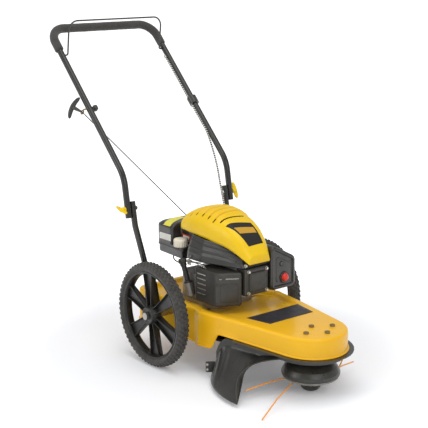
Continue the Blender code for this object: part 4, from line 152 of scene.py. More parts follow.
@dataclass(frozen=True)
class Finish:
    """A real surface: what every finish shares.

    The colour wanders a little between two tones over a real distance, and a fine relief of a real grain size
    breaks up the gloss.
    """

    name: str
    tone: str
    second_tone: str
    roughness: float = 0.5
    metallic: float = 0.0
    drift_mm: float = 60.0
    grain_mm: float = 1.5
    grain_depth_mm: float = 0.05
    roughness_spread: float = 0.08
    coat: float = 0.0
    coat_roughness: float = 0.1
    sheen: float = 0.0
    subsurface: float = 0.0
    specular: float = 0.5
    # Red, green and blue light's reach under the skin
    scatter: tuple[float, float, float] = (0.004, 0.002, 0.001)
    # The name of the material slot that the finish belongs to
    slot: str = ""

    def relief(self, tree: Tree, place: Socket) -> Socket:
        """Height field of the surface.

        Args:
            tree: The material's node tree.
            place: Object coordinates.

        Returns:
            A height output between zero and one.
        """
        grain = add_node(tree, "TexNoise", {"Vector": place, "Scale": per_metre(self.grain_mm), "Detail": 3.0})
        return grain.outputs["Fac"]

    def colour(self, tree: Tree, place: Socket) -> Socket:
        """Base colour, drifting between the two tones.

        Args:
            tree: The material's node tree.
            place: Object coordinates.

        Returns:
            A colour output.
        """
        drift = add_node(tree, "TexNoise", {"Vector": place, "Scale": per_metre(self.drift_mm), "Detail": 4.0})
        span = add_node(tree, "MapRange", {0: drift.outputs["Fac"], 1: 0.35, 2: 0.65})
        return tinted(tree, linear(self.tone), self.second_tone, span.outputs[0])

    def build(self) -> bpy.types.Material:
        """Makes the material once and returns it every later time."""
        found = bpy.data.materials.get(self.name)
        if found:
            return found
        material = bpy.data.materials.new(self.name)
        material.use_nodes = True
        tree = material.node_tree
        shader = tree.nodes["Principled BSDF"]
        place = add_node(tree, "TexCoord").outputs["Object"]
        tree.links.new(self.colour(tree, place), shader.inputs["Base Color"])
        blotch = add_node(tree, "TexNoise", {"Vector": place, "Scale": per_metre(self.drift_mm * 0.4), "Detail": 5.0})
        low, high = self.roughness - self.roughness_spread, self.roughness + self.roughness_spread
        rough = add_node(tree, "MapRange", {0: blotch.outputs["Fac"], 1: 0.3, 2: 0.7, 3: low, 4: high})
        tree.links.new(rough.outputs[0], shader.inputs["Roughness"])
        bump = add_node(tree, "Bump", {"Strength": 1.0, "Distance": self.grain_depth_mm * MILLIMETRE,
                                       "Height": self.relief(tree, place)})
        tree.links.new(bump.outputs[0], shader.inputs["Normal"])
        constants = {"Metallic": self.metallic, "Coat Weight": self.coat, "Coat Roughness": self.coat_roughness,
                     "Sheen Weight": self.sheen, "Subsurface Weight": self.subsurface,
                     "Subsurface Radius": self.scatter}
        if self.metallic < 0.5:
            constants["Specular IOR Level"] = self.specular
        for name, value in constants.items():
            shader.inputs[name].default_value = value
        return material

    def dress(self, *nodes: str) -> None:
        """Gives CAD nodes this finish in place of their plain colour."""
        for node in nodes:
            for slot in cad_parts[node].material_slots:
                slot.material = self.build()


@dataclass(frozen=True)
class FoamFinish(Finish):
    """Closed-cell foam: a dull black skin pitted with fine round cells."""

    cell_mm: float = 1.6

    def relief(self, tree: Tree, place: Socket) -> Socket:
        """Round cells of the foam's real size, from the distance to scattered points."""
        cells = add_node(tree, "TexVoronoi", {"Vector": place, "Scale": per_metre(self.cell_mm)})
        return cells.outputs["Distance"]


@dataclass(frozen=True)
class PaintedGrooveShadeFinish(Finish):
    """A moulding with painted shade in the grooves across it: the tone deepens at each given place, within a given
    reach.
    """

    painted_groove_shade_tone: str = "#CF8F10"
    depth: float = 0.75
    places: tuple = ()
    half_floor: float = 0.0008
    half_width: float = 0.0045
    reach: tuple[float, float] = (-0.0660, 0.0500)
    fade: float = 0.012

    def colour(self, tree: Tree, place: Socket) -> Socket:
        """Mixes the painted groove shade in where the distance to the nearest groove is under the half width.

        Args:
            tree: The material's node tree.
            place: Object coordinates.

        Returns:
            A colour output.
        """
        plain = super().colour(tree, place)
        axes = add_node(tree, "SeparateXYZ", {0: place})
        gaps = [reckon(tree, "ABSOLUTE", reckon(tree, "SUBTRACT", axes.outputs[0], spot)) for spot in self.places]
        nearest = gaps[0]
        for gap in gaps[1:]:
            nearest = reckon(tree, "MINIMUM", nearest, gap)
        middle, half = sum(self.reach) / 2.0, (self.reach[1] - self.reach[0]) / 2.0
        side = reckon(tree, "ABSOLUTE", reckon(tree, "SUBTRACT", axes.outputs[1], middle))
        inside = add_node(tree, "MapRange", {0: side, 1: half, 2: half + self.fade, 3: 1.0, 4: 0.0},
                          interpolation_type="SMOOTHSTEP")
        # Painted shade: the tone deepens towards the middle of each groove
        shade_in_grooves = add_node(tree, "MapRange", {0: nearest, 1: self.half_floor, 2: self.half_width, 3: self.depth, 4: 0.0},
                        interpolation_type="SMOOTHSTEP")
        return tinted(tree, plain, self.painted_groove_shade_tone, reckon(tree, "MULTIPLY", shade_in_grooves.outputs[0], inside.outputs[0]))


@dataclass(frozen=True)
class TurnedMetalFinish(Finish):
    """Lathe-turned metal: fine rings about the frame's origin, with noise along them."""

    ring_mm: float = 0.9

    def relief(self, tree: Tree, place: Socket) -> Socket:
        """Rings a real distance apart; the wave node draws twenty to each unit of its scale."""
        rings = add_node(tree, "TexWave", {"Vector": place, "Scale": per_metre(self.ring_mm) / 20.0,
                                           "Distortion": 1.5, "Detail": 3.0},
                         wave_type="RINGS", rings_direction="SPHERICAL")
        return rings.outputs["Fac"]


@dataclass(frozen=True)
class BraidFinish(Finish):
    """Braided cord: two sets of strands that cross, drawn on the piece's own lengthwise map."""

    strands: float = 6.0
    pitch_per_metre: float = 90.0

    def relief(self, tree: Tree, place: Socket) -> Socket:
        """The larger of two sine waves that climb the cord in opposite turns."""
        along, across = own_map(tree)
        climb = reckon(tree, "MULTIPLY", along, self.pitch_per_metre * math.tau)
        waves = [reckon(tree, "SINE", reckon(tree, "MULTIPLY_ADD", across, turn * math.tau / 2.0, climb))
                 for turn in (self.strands, -self.strands)]
        return reckon(tree, "MAXIMUM", *waves)


@dataclass(frozen=True)
class ConduitFinish(Finish):
    """Cable conduit wound from flat wire: dark turns with bright gaps, drawn coarser than real so that they show."""

    pitch_mm: float = 9.0
    gap_tone: str = "#E4E2DA"
    turn_share: float = 0.60

    def colour(self, tree: Tree, place: Socket) -> Socket:
        """The jacket's tone with a bright gap once in each pitch along the piece's own map."""
        along, across = own_map(tree)
        cycle = reckon(tree, "FRACT", reckon(tree, "MULTIPLY_ADD", along, per_metre(self.pitch_mm), across))
        gap = reckon(tree, "GREATER_THAN", cycle, self.turn_share)
        return tinted(tree, super().colour(tree, place), self.gap_tone, gap)


@dataclass(frozen=True)
class BandedFilm(Finish):
    """A printed polyester label left bare of print: a band of a second colour inside a dark margin."""

    band_tone: str = "#C99A34"
    margin: float = 0.07
    band_low: float = 0.29
    band_high: float = 0.57

    def colour(self, tree: Tree, place: Socket) -> Socket:
        """The film's tone, with a band of the second colour between two heights of the map."""
        along, across = own_map(tree)
        middle, half = (self.band_low + self.band_high) / 2.0, (self.band_high - self.band_low) / 2.0
        inside = reckon(tree, "MULTIPLY", reckon(tree, "COMPARE", along, middle, half),
                        reckon(tree, "COMPARE", across, 0.5, 0.5 - self.margin))
        return tinted(tree, super().colour(tree, place), self.band_tone, inside)


@dataclass(frozen=True)
class TwoToneFinish(Finish):
    """A node whose upper part is another metal: the tone changes above a height."""

    upper_tone: str = "#8E7434"
    split_height: float = 0.2105

    def colour(self, tree: Tree, place: Socket) -> Socket:
        """The lower casting's tone, and the plated bolts' tone above the split height."""
        height = add_node(tree, "SeparateXYZ", {0: place}).outputs[2]
        above = reckon(tree, "GREATER_THAN", height, self.split_height)
        return tinted(tree, super().colour(tree, place), self.upper_tone, above)


# The cover's grooves along the engine: its mesh and its finish both read them
COVER_GROOVES = (-0.0360, -0.0050, 0.0265, 0.0595, 0.0890, 0.1155)

# Powder-coated steel: an even warm yellow whose gloss is broken by orange peel
YELLOW_POWDER_COAT = Finish("yellow_powder_coat", "#F3BB1B", "#F0B618", 0.30, grain_mm=2.6, grain_depth_mm=0.030,
                            drift_mm=140.0, roughness_spread=0.04, coat=0.20, coat_roughness=0.10, specular=0.20,
                            slot="yellow_paint")
# Glossy moulded ABS: a cooler, more lemon yellow than the deck's paint
YELLOW_ABS = Finish("yellow_moulded_abs", "#F0CC18", "#EDC615", 0.33, grain_mm=1.8, grain_depth_mm=0.02,
                    drift_mm=90.0, roughness_spread=0.05, coat=0.06, coat_roughness=0.2, specular=0.28,
                    slot="yellow_plastic")
# The same ABS on the cover, with painted shade deepening the grooves between its bands
GROOVE_SHADED_ABS = PaintedGrooveShadeFinish("groove_shaded_yellow_abs", "#EEC718", "#EBC015", 0.33, grain_mm=1.8, grain_depth_mm=0.02,
                            drift_mm=90.0, roughness_spread=0.05, coat=0.06, coat_roughness=0.2, specular=0.28,
                            places=tuple(AXLE_X + x for x in COVER_GROOVES), slot="yellow_plastic")
# Black enamel on drawn tube: near black with a long soft highlight
BLACK_ENAMEL = Finish("black_enamelled_tube", "#161613", "#1C1C19", 0.30, grain_mm=3.0, grain_depth_mm=0.02,
                      drift_mm=80.0, roughness_spread=0.06, coat=0.2, slot="black_paint")
# Baked black paint on pressed sheet: satin, a little grey where it turns to the light
BLACK_PRESSING = Finish("black_painted_pressing", "#2B2A26", "#34332E", 0.42, grain_mm=1.6, grain_depth_mm=0.04,
                        drift_mm=35.0, roughness_spread=0.08)
# Moulded polypropylene with a spark-eroded texture: dark warm grey with a broad sheen
BLACK_POLYPROPYLENE = Finish("black_moulded_polypropylene", "#252421", "#2D2C28", 0.33, grain_mm=1.1,
                             grain_depth_mm=0.04, drift_mm=70.0, roughness_spread=0.08, coat=0.15, slot="black_plastic")
# Nylon polished by grass: near black, with a soft clear highlight
SATIN_NYLON = Finish("satin_moulded_nylon", "#34332E", "#3B3A35", 0.34, grain_mm=1.6, grain_depth_mm=0.03,
                     drift_mm=25.0, roughness_spread=0.08, slot="black_plastic")
# The same nylon, glossier, in a lighter tone that paints the highlight on the retainer's rim
HIGHLIGHT_TONED_NYLON = Finish("highlight_toned_nylon", "#4A4944", "#5C5B55", 0.24, grain_mm=1.2, grain_depth_mm=0.03,
                    drift_mm=8.0, roughness_spread=0.08, slot="black_plastic")
# A pale, matt grey for a ring on the disc's lower rim: a painted highlight
RIM_HIGHLIGHT_PAINT = Finish("painted_rim_highlight", "#8E8C84", "#7A7871", 0.38, grain_mm=1.0, grain_depth_mm=0.04, drift_mm=14.0)
# Glass-filled nylon wheel: black, with knit lines that show as roughness changes
BLACK_NYLON = Finish("black_glass_filled_nylon", "#191815", "#201F1C", 0.36, grain_mm=1.4, grain_depth_mm=0.05,
                     drift_mm=40.0, roughness_spread=0.1, slot="black_plastic")
# Vulcanised tyre rubber: brown-black, dull, dusty in the tread
TYRE_RUBBER = Finish("vulcanised_tyre_rubber", "#322F2B", "#413E3A", 0.72, grain_mm=1.8, grain_depth_mm=0.12,
                     drift_mm=25.0, roughness_spread=0.12, sheen=0.15, slot="tyre_rubber")
# Belt rubber under its fabric: dull black with a fine weave-sized grain
BELT_RUBBER = Finish("fabric_backed_belt_rubber", "#242424", "#2E2D2B", 0.8, grain_mm=0.9, grain_depth_mm=0.08)
# Closed-cell foam: soft dark grey, with no highlight and a pitted edge
FOAM_SLEEVE = FoamFinish("black_foam_sleeve", "#302F2C", "#3A3936", 0.78, grain_mm=1.6, grain_depth_mm=0.18,
                         sheen=0.25, slot="foam")
# Die-cast aluminium: light grey, matt, with the skin of the mould
DIE_CAST_ALUMINIUM = Finish("die_cast_aluminium", "#8C8A86", "#A09E99", 0.48, 0.85, grain_mm=2.2,
                            grain_depth_mm=0.12, drift_mm=30.0, roughness_spread=0.1)
# Zinc-plated steel: bright, faintly warm, with soft blotches in its gloss
ZINC_PLATE = Finish("zinc_plated_steel", "#C6C2B6", "#B4B2AA", 0.30, 1.0, grain_mm=1.2, grain_depth_mm=0.02,
                    drift_mm=12.0, roughness_spread=0.08)
# Chromated zinc in its dark and its straw-coloured grade: a brassy glint on wire and nuts
YELLOW_ZINC = Finish("yellow_chromated_steel", "#8F7A48", "#7A683E", 0.36, 1.0, grain_mm=1.2, grain_depth_mm=0.03,
                     drift_mm=10.0, slot="steel")
YELLOW_ZINC_BRIGHT = Finish("straw_chromated_steel", "#E6DDB8", "#D2C79C", 0.34, 0.9, grain_mm=1.2,
                            grain_depth_mm=0.02, drift_mm=10.0)
# Steel from the lathe: grey, its highlight drawn out by fine rings
TURNED_STEEL = TurnedMetalFinish("lathe_turned_steel", "#A9A7A1", "#989690", 0.32, 1.0, grain_depth_mm=0.02)
# Aluminised silencer sheet: silvery grey, straw-tinted by heat
ALUMINISED_SHEET = Finish("aluminised_silencer_sheet", "#C9C7C2", "#B5AC98", 0.38, 1.0, grain_mm=2.0,
                          grain_depth_mm=0.05, drift_mm=40.0)
# The dull side of rolled foil: pale and nearly matt, so that it shows through narrow slots
HEAT_SHIELD = Finish("rolled_heat_shield_foil", "#EDEBE4", "#DDDAD0", 0.6, 0.15, grain_mm=1.5, grain_depth_mm=0.03)
# Cast spindle housing below the deck, and its brassy bolt heads above it
HOUSING_CASTING = TwoToneFinish("housing_casting_and_bolts", "#8C8A86", "#9A9893", 0.4, 0.85, grain_mm=1.8,
                                grain_depth_mm=0.08)
# Extruded nylon line: orange all through, with a soft sheen along it
ORANGE_NYLON = Finish("orange_extruded_nylon", "#F6AA4C", "#F2A040", 0.5, grain_mm=2.0, grain_depth_mm=0.02,
                      slot="orange_nylon")
# Silicone rubber: a soft glow at its edges; red on the primer bulb, faded pink on the plug boot
RED_SILICONE = Finish("red_moulded_silicone", "#E2382A", "#D93022", 0.38, grain_mm=2.0, grain_depth_mm=0.02,
                      subsurface=0.1, slot="red_rubber")
PINK_SILICONE = Finish("pink_moulded_silicone", "#E2A08A", "#D99680", 0.42, grain_mm=2.0, grain_depth_mm=0.02)
# Undyed nylon: cream, a little translucent, satin
CREAM_NYLON = Finish("cream_moulded_nylon", "#F1E8D4", "#E9DFCA", 0.45, grain_mm=1.5, grain_depth_mm=0.04,
                     drift_mm=15.0, subsurface=0.05, slot="cream_plastic")
# Polyester braid: dull grey, its strands seen as a fine lattice
ROPE_BRAID = BraidFinish("grey_polyester_braid", "#4A4845", "#5A5853", 0.8, grain_depth_mm=0.35, sheen=0.2,
                         slot="grey_rope")
# Wound cable conduit: a row of bright dashes on black
WOUND_CONDUIT = ConduitFinish("black_wound_conduit", "#242421", "#2C2C28", 0.4, grain_mm=1.5, grain_depth_mm=0.03,
                              slot="black_plastic")
# Soft vinyl on hose and lead: black with a short highlight
PVC_JACKET = Finish("black_pvc_cable_jacket", "#262623", "#2E2E2B", 0.42, grain_mm=1.5, grain_depth_mm=0.03)
# Polyester film left bare of print: flat charcoal, and with a straw-coloured band on the cover
CHARCOAL_FILM = Finish("charcoal_polyester_film", "#2C2C30", "#323236", 0.40, grain_mm=2.0, grain_depth_mm=0.01,
                       drift_mm=60.0, specular=0.2)
COVER_LABEL = BandedFilm("banded_polyester_film", "#262522", "#2B2A27", 0.42, grain_mm=2.0, grain_depth_mm=0.01,
                         specular=0.2)
# Label stock left bare of print: matt white, pale yellow and red
WHITE_FILM = Finish("white_paper_label", "#E9E7DF", "#E2E0D8", 0.5, grain_mm=1.2, grain_depth_mm=0.01)
YELLOW_FILM = Finish("pale_yellow_film", "#E8DF52", "#E2D94C", 0.45, grain_mm=1.2, grain_depth_mm=0.01)
RED_FILM = Finish("red_tag_film", "#C9432F", "#BF3D2A", 0.45, grain_mm=1.2, grain_depth_mm=0.01)


# Surfaces from arrays


@dataclass
class Patch:
    """Points, faces and a flat map of one surface, before it becomes an object."""

    points: np.ndarray
    quads: np.ndarray
    caps: list[list[int]] = field(default_factory=list)
    flat: np.ndarray | None = None

    def moved(self, matrix: np.ndarray) -> "Patch":
        """The patch with each point p at matrix times p."""
        rotated = self.points @ matrix[:3, :3].T + matrix[:3, 3]
        return Patch(rotated, self.quads, self.caps, self.flat)


def at_axle(points: Sequence) -> np.ndarray:
    """Points of the axle frame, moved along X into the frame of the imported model."""
    return np.asarray(points, float) + np.array([AXLE_X, 0.0, 0.0])


def at_engine(points: Sequence) -> np.ndarray:
    """Points measured from the engine's own middle plane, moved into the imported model's frame."""
    return np.asarray(points, float) + np.array([AXLE_X, ENGINE_Y, 0.0])


def grid(points: np.ndarray, wrap_rows: bool = False, wrap_columns: bool = False, caps: bool = False) -> Patch:
    """A surface through rows and columns of points: face (i, j) joins points i, i+1 and j, j+1.

    Args:
        points: Array of rows, columns and three coordinates.
        wrap_rows: Joins the last row to the first.
        wrap_columns: Joins the last column to the first.
        caps: Closes the first and the last row with one face each.

    Returns:
        The patch, whose map runs 0 to 1 along rows and across columns.
    """
    rows, columns = points.shape[:2]
    index = np.arange(rows * columns).reshape(rows, columns)
    down = np.roll(index, -1, axis=0) if wrap_rows else index[1:]
    here = index if wrap_rows else index[:-1]
    if wrap_columns:
        quads = np.stack([here, np.roll(here, -1, axis=1), np.roll(down, -1, axis=1), down], axis=-1)
    else:
        quads = np.stack([here[:, :-1], here[:, 1:], down[:, 1:], down[:, :-1]], axis=-1)
    ends = [index[0].tolist(), index[-1][::-1].tolist()] if caps else []
    along, across = np.meshgrid(np.linspace(0.0, 1.0, rows), np.linspace(0.0, 1.0, columns), indexing="ij")
    flat = np.stack([along, across], axis=-1).reshape(-1, 2)
    return Patch(points.reshape(-1, 3), quads.reshape(-1, 4), ends, flat)


def unit(vectors: np.ndarray) -> np.ndarray:
    """Vectors scaled to length one."""
    return vectors / np.maximum(np.linalg.norm(vectors, axis=-1, keepdims=True), 1e-12)


def turn_to(direction: Sequence, place: Sequence = (0.0, 0.0, 0.0)) -> np.ndarray:
    """A 4 by 4 matrix that stands +Z along a direction and then moves to a place."""
    rotation = Vector(direction).to_track_quat("Z", "Y").to_matrix().to_4x4()
    return np.array(Matrix.Translation(Vector(place)) @ rotation)


def revolve(profile: Sequence, place: Sequence, axis: Sequence = (0, 0, 1), sides: int = 40, corners: int = 0) -> Patch:
    """Turns a profile: point (r, h) goes to (r f cos t, r f sin t, h) for t from 0 to a full turn.

    Args:
        profile: Pairs of radius and height, from one end of the axis to the other.
        place: Where the profile's origin goes.
        axis: Where the profile's height points.
        sides: Steps round the turn.
        corners: Where more than two, f shapes each ring into that polygon, across whose corners r is measured.

    Returns:
        The closed patch.
    """
    shape = np.asarray(profile, float)
    turn = np.linspace(0.0, math.tau, sides, endpoint=False)
    factor = np.ones_like(turn)
    if corners > 2:
        sector = math.tau / corners
        factor = math.cos(sector / 2.0) / np.cos((turn % sector) - sector / 2.0)
    ring = np.stack([np.cos(turn) * factor, np.sin(turn) * factor], axis=-1)
    points = np.empty((len(shape), sides, 3))
    points[:, :, :2] = shape[:, 0][:, None, None] * ring[None]
    points[:, :, 2] = shape[:, 1][:, None]
    return grid(points, wrap_columns=True, caps=True).moved(turn_to(axis, place))


def smooth_path(stops: Sequence, steps: int) -> np.ndarray:
    """A curve through the stops: p(t) = (2b + (c-a)t + (2a-5b+4c-d)t^2 + (3b-a-3c+d)t^3) / 2 on each stretch.

    Args:
        stops: The points that the curve passes through.
        steps: Points on each stretch.

    Returns:
        The curve's points.
    """
    stops = np.asarray(stops, float)
    padded = np.vstack([2 * stops[0] - stops[1], stops, 2 * stops[-1] - stops[-2]])
    a, b, c, d = padded[:-3], padded[1:-2], padded[2:-1], padded[3:]
    t = np.linspace(0.0, 1.0, steps, endpoint=False)[None, :, None]
    a, b, c, d = a[:, None], b[:, None], c[:, None], d[:, None]
    curve = 0.5 * (2 * b + (c - a) * t + (2 * a - 5 * b + 4 * c - d) * t**2 + (3 * b - a - 3 * c + d) * t**3)
    return np.vstack([curve.reshape(-1, 3), stops[-1:]])


def tube(path: np.ndarray, radius: float | np.ndarray, sides: int = 14, up: Sequence = (0.123, 0.456, 0.879)) -> Patch:
    """A round tube along a path: point (i, j) is path i plus radius times (n cos t + b sin t).

    Args:
        path: The middle line.
        radius: One radius, or one for each point of the path.
        sides: Points round the tube.
        up: A direction that the path never takes, from which n and b are worked out.

    Returns:
        The tube with both ends closed.
    """
    along = unit(np.gradient(path, axis=0))
    across = unit(np.cross(along, np.asarray(up, float)))
    third = np.cross(along, across)
    turn = np.linspace(0.0, math.tau, sides, endpoint=False)
    sizes = np.broadcast_to(np.asarray(radius, float), (len(path),))[:, None, None]
    ring = np.cos(turn)[None, :, None] * across[:, None] + np.sin(turn)[None, :, None] * third[:, None]
    return grid(path[:, None] + ring * sizes, wrap_columns=True, caps=True)


def run_along(path: np.ndarray) -> np.ndarray:
    """The distance along a path at each of its points."""
    return np.concatenate([[0.0], np.cumsum(np.linalg.norm(np.diff(path, axis=0), axis=1))])


def measured_tube(path: np.ndarray, radius: float, sides: int, up: Sequence) -> Patch:
    """A tube whose flat map runs along it in metres, for a pattern of real size."""
    patch = tube(path, radius, sides, up)
    patch.flat[:, 0] = np.repeat(run_along(path), sides)
    return patch


def turned(radius: np.ndarray, height: np.ndarray, turn: np.ndarray) -> np.ndarray:
    """Rows of points (r cos t, r sin t, h), where the radius may change with the turn."""
    return np.stack([radius * np.cos(turn), radius * np.sin(turn), np.broadcast_to(height, radius.shape)], axis=-1)


def fluted(levels: Sequence, size: float, depth: float, waves: float, power: int, sides: int) -> Patch:
    """A fluted cap about Z: its radius is r times the size, less f times the depth times |cos(waves t)|^power.

    Args:
        levels: Radius share r, height and flute share f, from the foot to the top.
        size: The full radius.
        depth: How deep a flute is.
        waves: Half the number of flutes.
        power: How narrow a flute is.
        sides: Steps round the turn.

    Returns:
        The closed patch.
    """
    turn = np.linspace(0.0, math.tau, sides, endpoint=False)
    share, height, flute = (column[:, None] for column in np.asarray(levels, float).T)
    radius = share * size - flute * (depth * np.abs(np.cos(waves * turn)) ** power)[None]
    return grid(turned(radius, height, turn), wrap_columns=True, caps=True)


def spanned(corners: Sequence, u: np.ndarray, v: np.ndarray) -> np.ndarray:
    """Values between four corners a, b, c, d: (1-u)(1-v)a + (1-u)v b + u(1-v)c + u v d."""
    a, b, c, d = corners
    return (1 - u) * (1 - v) * a + (1 - u) * v * b + u * (1 - v) * c + u * v * d


def rounded_outline(width: float, height: float, radius: float, steps: int = 6) -> np.ndarray:
    """Outline of a rectangle with round corners, counter-clockwise about its middle."""
    corners = []
    for index, (sx, sy) in enumerate(((1, 1), (-1, 1), (-1, -1), (1, -1))):
        middle = np.array([sx * (width / 2.0 - radius), sy * (height / 2.0 - radius)])
        angle = np.linspace(0.0, QUARTER_TURN, steps) + index * QUARTER_TURN
        corners.append(middle + radius * np.stack([np.cos(angle), np.sin(angle)], axis=-1))
    return np.vstack(corners)


def slab(outline: np.ndarray, thickness: float, edge: float, matrix: np.ndarray) -> Patch:
    """A flat plate with a softened top edge, standing on the matrix's XY plane and rising along its Z.

    The first row is the outline at the foot. The others rise along a quarter circle, where angle t draws the
    outline in by edge (1 - cos t).

    Args:
        outline: Closed flat outline about its own middle.
        thickness: Height of the plate.
        edge: Radius of the top edge.
        matrix: Where the plate goes.

    Returns:
        The closed patch.
    """
    reach = np.linalg.norm(outline, axis=1, keepdims=True)
    rows = [np.column_stack([outline, np.zeros(len(outline))])]
    for angle in np.linspace(0.0, QUARTER_TURN, 4):
        drawn = outline * (1.0 - edge * (1.0 - math.cos(angle)) / reach)
        level = thickness - edge + edge * math.sin(angle)
        rows.append(np.column_stack([drawn, np.full(len(outline), level)]))
    return grid(np.array(rows), wrap_columns=True, caps=True).moved(matrix)


def outward(line: np.ndarray) -> np.ndarray:
    """Unit directions away from a closed counter-clockwise line: the tangent turned a quarter back."""
    along = unit(unit(np.roll(line, -1, axis=0) - line) + unit(line - np.roll(line, 1, axis=0)))
    return np.stack([along[:, 1], -along[:, 0]], axis=-1)


def stepped(outline: np.ndarray, levels: Sequence, matrix: np.ndarray | None = None) -> Patch:
    """A flat form in steps: row k is the outline minus its outward direction times inset k, at level k.

    Args:
        outline: Closed counter-clockwise flat outline.
        levels: Pairs of inset and level from the foot to the top.
        matrix: Where the form goes.

    Returns:
        The closed patch.
    """
    normal = outward(outline)
    rows = [np.column_stack([outline - normal * inset, np.full(len(outline), level)]) for inset, level in levels]
    patch = grid(np.array(rows), wrap_columns=True, caps=True)
    return patch if matrix is None else patch.moved(matrix)


def smooth_through(stops: Sequence, place: np.ndarray) -> np.ndarray:
    """Reads a value through (place, value) stops: (2t^3-3t^2+1)v0 + (t^3-2t^2+t)d m0 + (3t^2-2t^3)v1 + (t^3-t^2)d m1.

    Args:
        stops: Pairs of place and value, in rising order of place.
        place: Where to read.

    Returns:
        The value at each place, with its slope continuous over the stops.
    """
    xs, values = np.asarray(stops, float).T
    slope = np.gradient(values, xs)
    i = np.clip(np.searchsorted(xs, place) - 1, 0, len(xs) - 2)
    d = xs[i + 1] - xs[i]
    t = np.clip((place - xs[i]) / d, 0.0, 1.0)
    rise = 3.0 * t**2 - 2.0 * t**3
    start, end = t**3 - 2.0 * t**2 + t, t**3 - t**2
    return (1.0 - rise) * values[i] + start * d * slope[i] + rise * values[i + 1] + end * d * slope[i + 1]


def frame_matrix(x_axis: Sequence, y_axis: Sequence, place: Sequence) -> np.ndarray:
    """A matrix from two directions and a place, with the third direction square to both."""
    x = unit(np.asarray(x_axis, float))
    z = unit(np.cross(x, np.asarray(y_axis, float)))
    matrix = np.eye(4)
    matrix[:3, 0], matrix[:3, 1], matrix[:3, 2], matrix[:3, 3] = x, np.cross(z, x), z, place
    return matrix


def mesh_of(name: str, patches: Sequence[Patch], shell: bool) -> bpy.types.Mesh:
    """Joins patches into one mesh with its flat map, doubles merged and every face looking out.

    Args:
        name: The mesh's name.
        patches: The surfaces.
        shell: Whether they are open sheets, whose outer side is the one that looks away from their middle.

    Returns:
        The mesh.
    """
    offsets = np.cumsum([0] + [len(patch.points) for patch in patches])
    points = np.vstack([patch.points for patch in patches])
    faces: list[list[int]] = []
    for patch, offset in zip(patches, offsets):
        faces += (patch.quads + offset).tolist()
        faces += [[index + int(offset) for index in cap] for cap in patch.caps]
    mesh = bpy.data.meshes.new(name)
    mesh.from_pydata(points.tolist(), [], faces)
    flat = np.vstack([p.flat if p.flat is not None else np.zeros((len(p.points), 2)) for p in patches])
    corner = np.empty(len(mesh.loops), np.int32)
    mesh.loops.foreach_get("vertex_index", corner)
    layer = mesh.uv_layers.new(name="surface")
    layer.data.foreach_set("uv", flat[corner].astype(np.float32).ravel())
    bm = bmesh.new()
    bm.from_mesh(mesh)
    bmesh.ops.remove_doubles(bm, verts=bm.verts, dist=1e-6)
    bmesh.ops.dissolve_degenerate(bm, edges=bm.edges, dist=1e-7)
    bmesh.ops.recalc_face_normals(bm, faces=bm.faces)
    bm.to_mesh(mesh)
    bm.free()
    if shell:
        count = len(mesh.polygons)
        middle, normal, area = np.empty(count * 3), np.empty(count * 3), np.empty(count)
        mesh.polygons.foreach_get("center", middle)
        mesh.polygons.foreach_get("normal", normal)
        mesh.polygons.foreach_get("area", area)
        middle = middle.reshape(-1, 3) - middle.reshape(-1, 3).mean(axis=0)
        if float(((middle * normal.reshape(-1, 3)).sum(axis=1) * area).sum()) < 0.0:
            mesh.flip_normals()
    return mesh


def make_piece(
    name: str,
    patches: Sequence[Patch],
    finish: Finish,
    body: Body,
    replaces: Sequence[str] = (),
    sheet: float = 0.0,
    crease: float = 35.0,
    between: tuple | None = None,
) -> None:
    """Turns patches into one finished piece of the visual model.

    Args:
        name: The piece's name.
        patches: Its surfaces.
        finish: Its material.
        body: The body that it rides on.
        replaces: CAD nodes that it stands for, which are hidden.
        sheet: Thickness to add behind an open surface.
        crease: Edges sharper than this many degrees stay sharp.
        between: Two bodies, a start and an end; when given, the piece's place is baked into its mesh and it rides on no
            body.
    """
    mesh = mesh_of(name, patches, sheet > 0.0)
    mesh.shade_smooth()
    mesh.set_sharp_from_angle(angle=math.radians(crease))
    piece = bpy.data.objects.new(name, mesh)
    bpy.context.scene.collection.objects.link(piece)
    if sheet > 0.0:
        solid = piece.modifiers.new("sheet", "SOLIDIFY")
        solid.thickness = sheet
        solid.offset = -1.0
    mesh.materials.clear()
    mesh.materials.append(finish.build())
    if between:
        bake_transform(piece)
    else:
        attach(piece, body.value)
    if replaces:
        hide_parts(*replaces)
    LOG.info("piece %s: %d faces", name, len(mesh.polygons))


def hex_head(place: Sequence, axis: Sequence, across: float, height: float, washer: float = 1.25) -> list[Patch]:
    """A six-sided bolt head on its washer of 1 mm.

    Args:
        place: Middle of the seat.
        axis: Where the head points.
        across: Width across corners.
        height: Height of the head above the washer.
        washer: Washer's width in head widths.

    Returns:
        The patches of head and washer.
    """
    radius, foot = across / 2.0, 0.0010
    head = revolve([(0.0, foot), (radius, foot), (radius, foot + height * 0.85), (radius * 0.86, foot + height),
                    (0.0, foot + height)], place, axis, 36, corners=6)
    rim = radius * washer
    disc = revolve([(0.0, 0.0), (rim, 0.0), (rim, foot * 0.8), (rim - 0.0002, foot), (0.0, foot)], place, axis, 28)
    return [head, disc]


# Studio


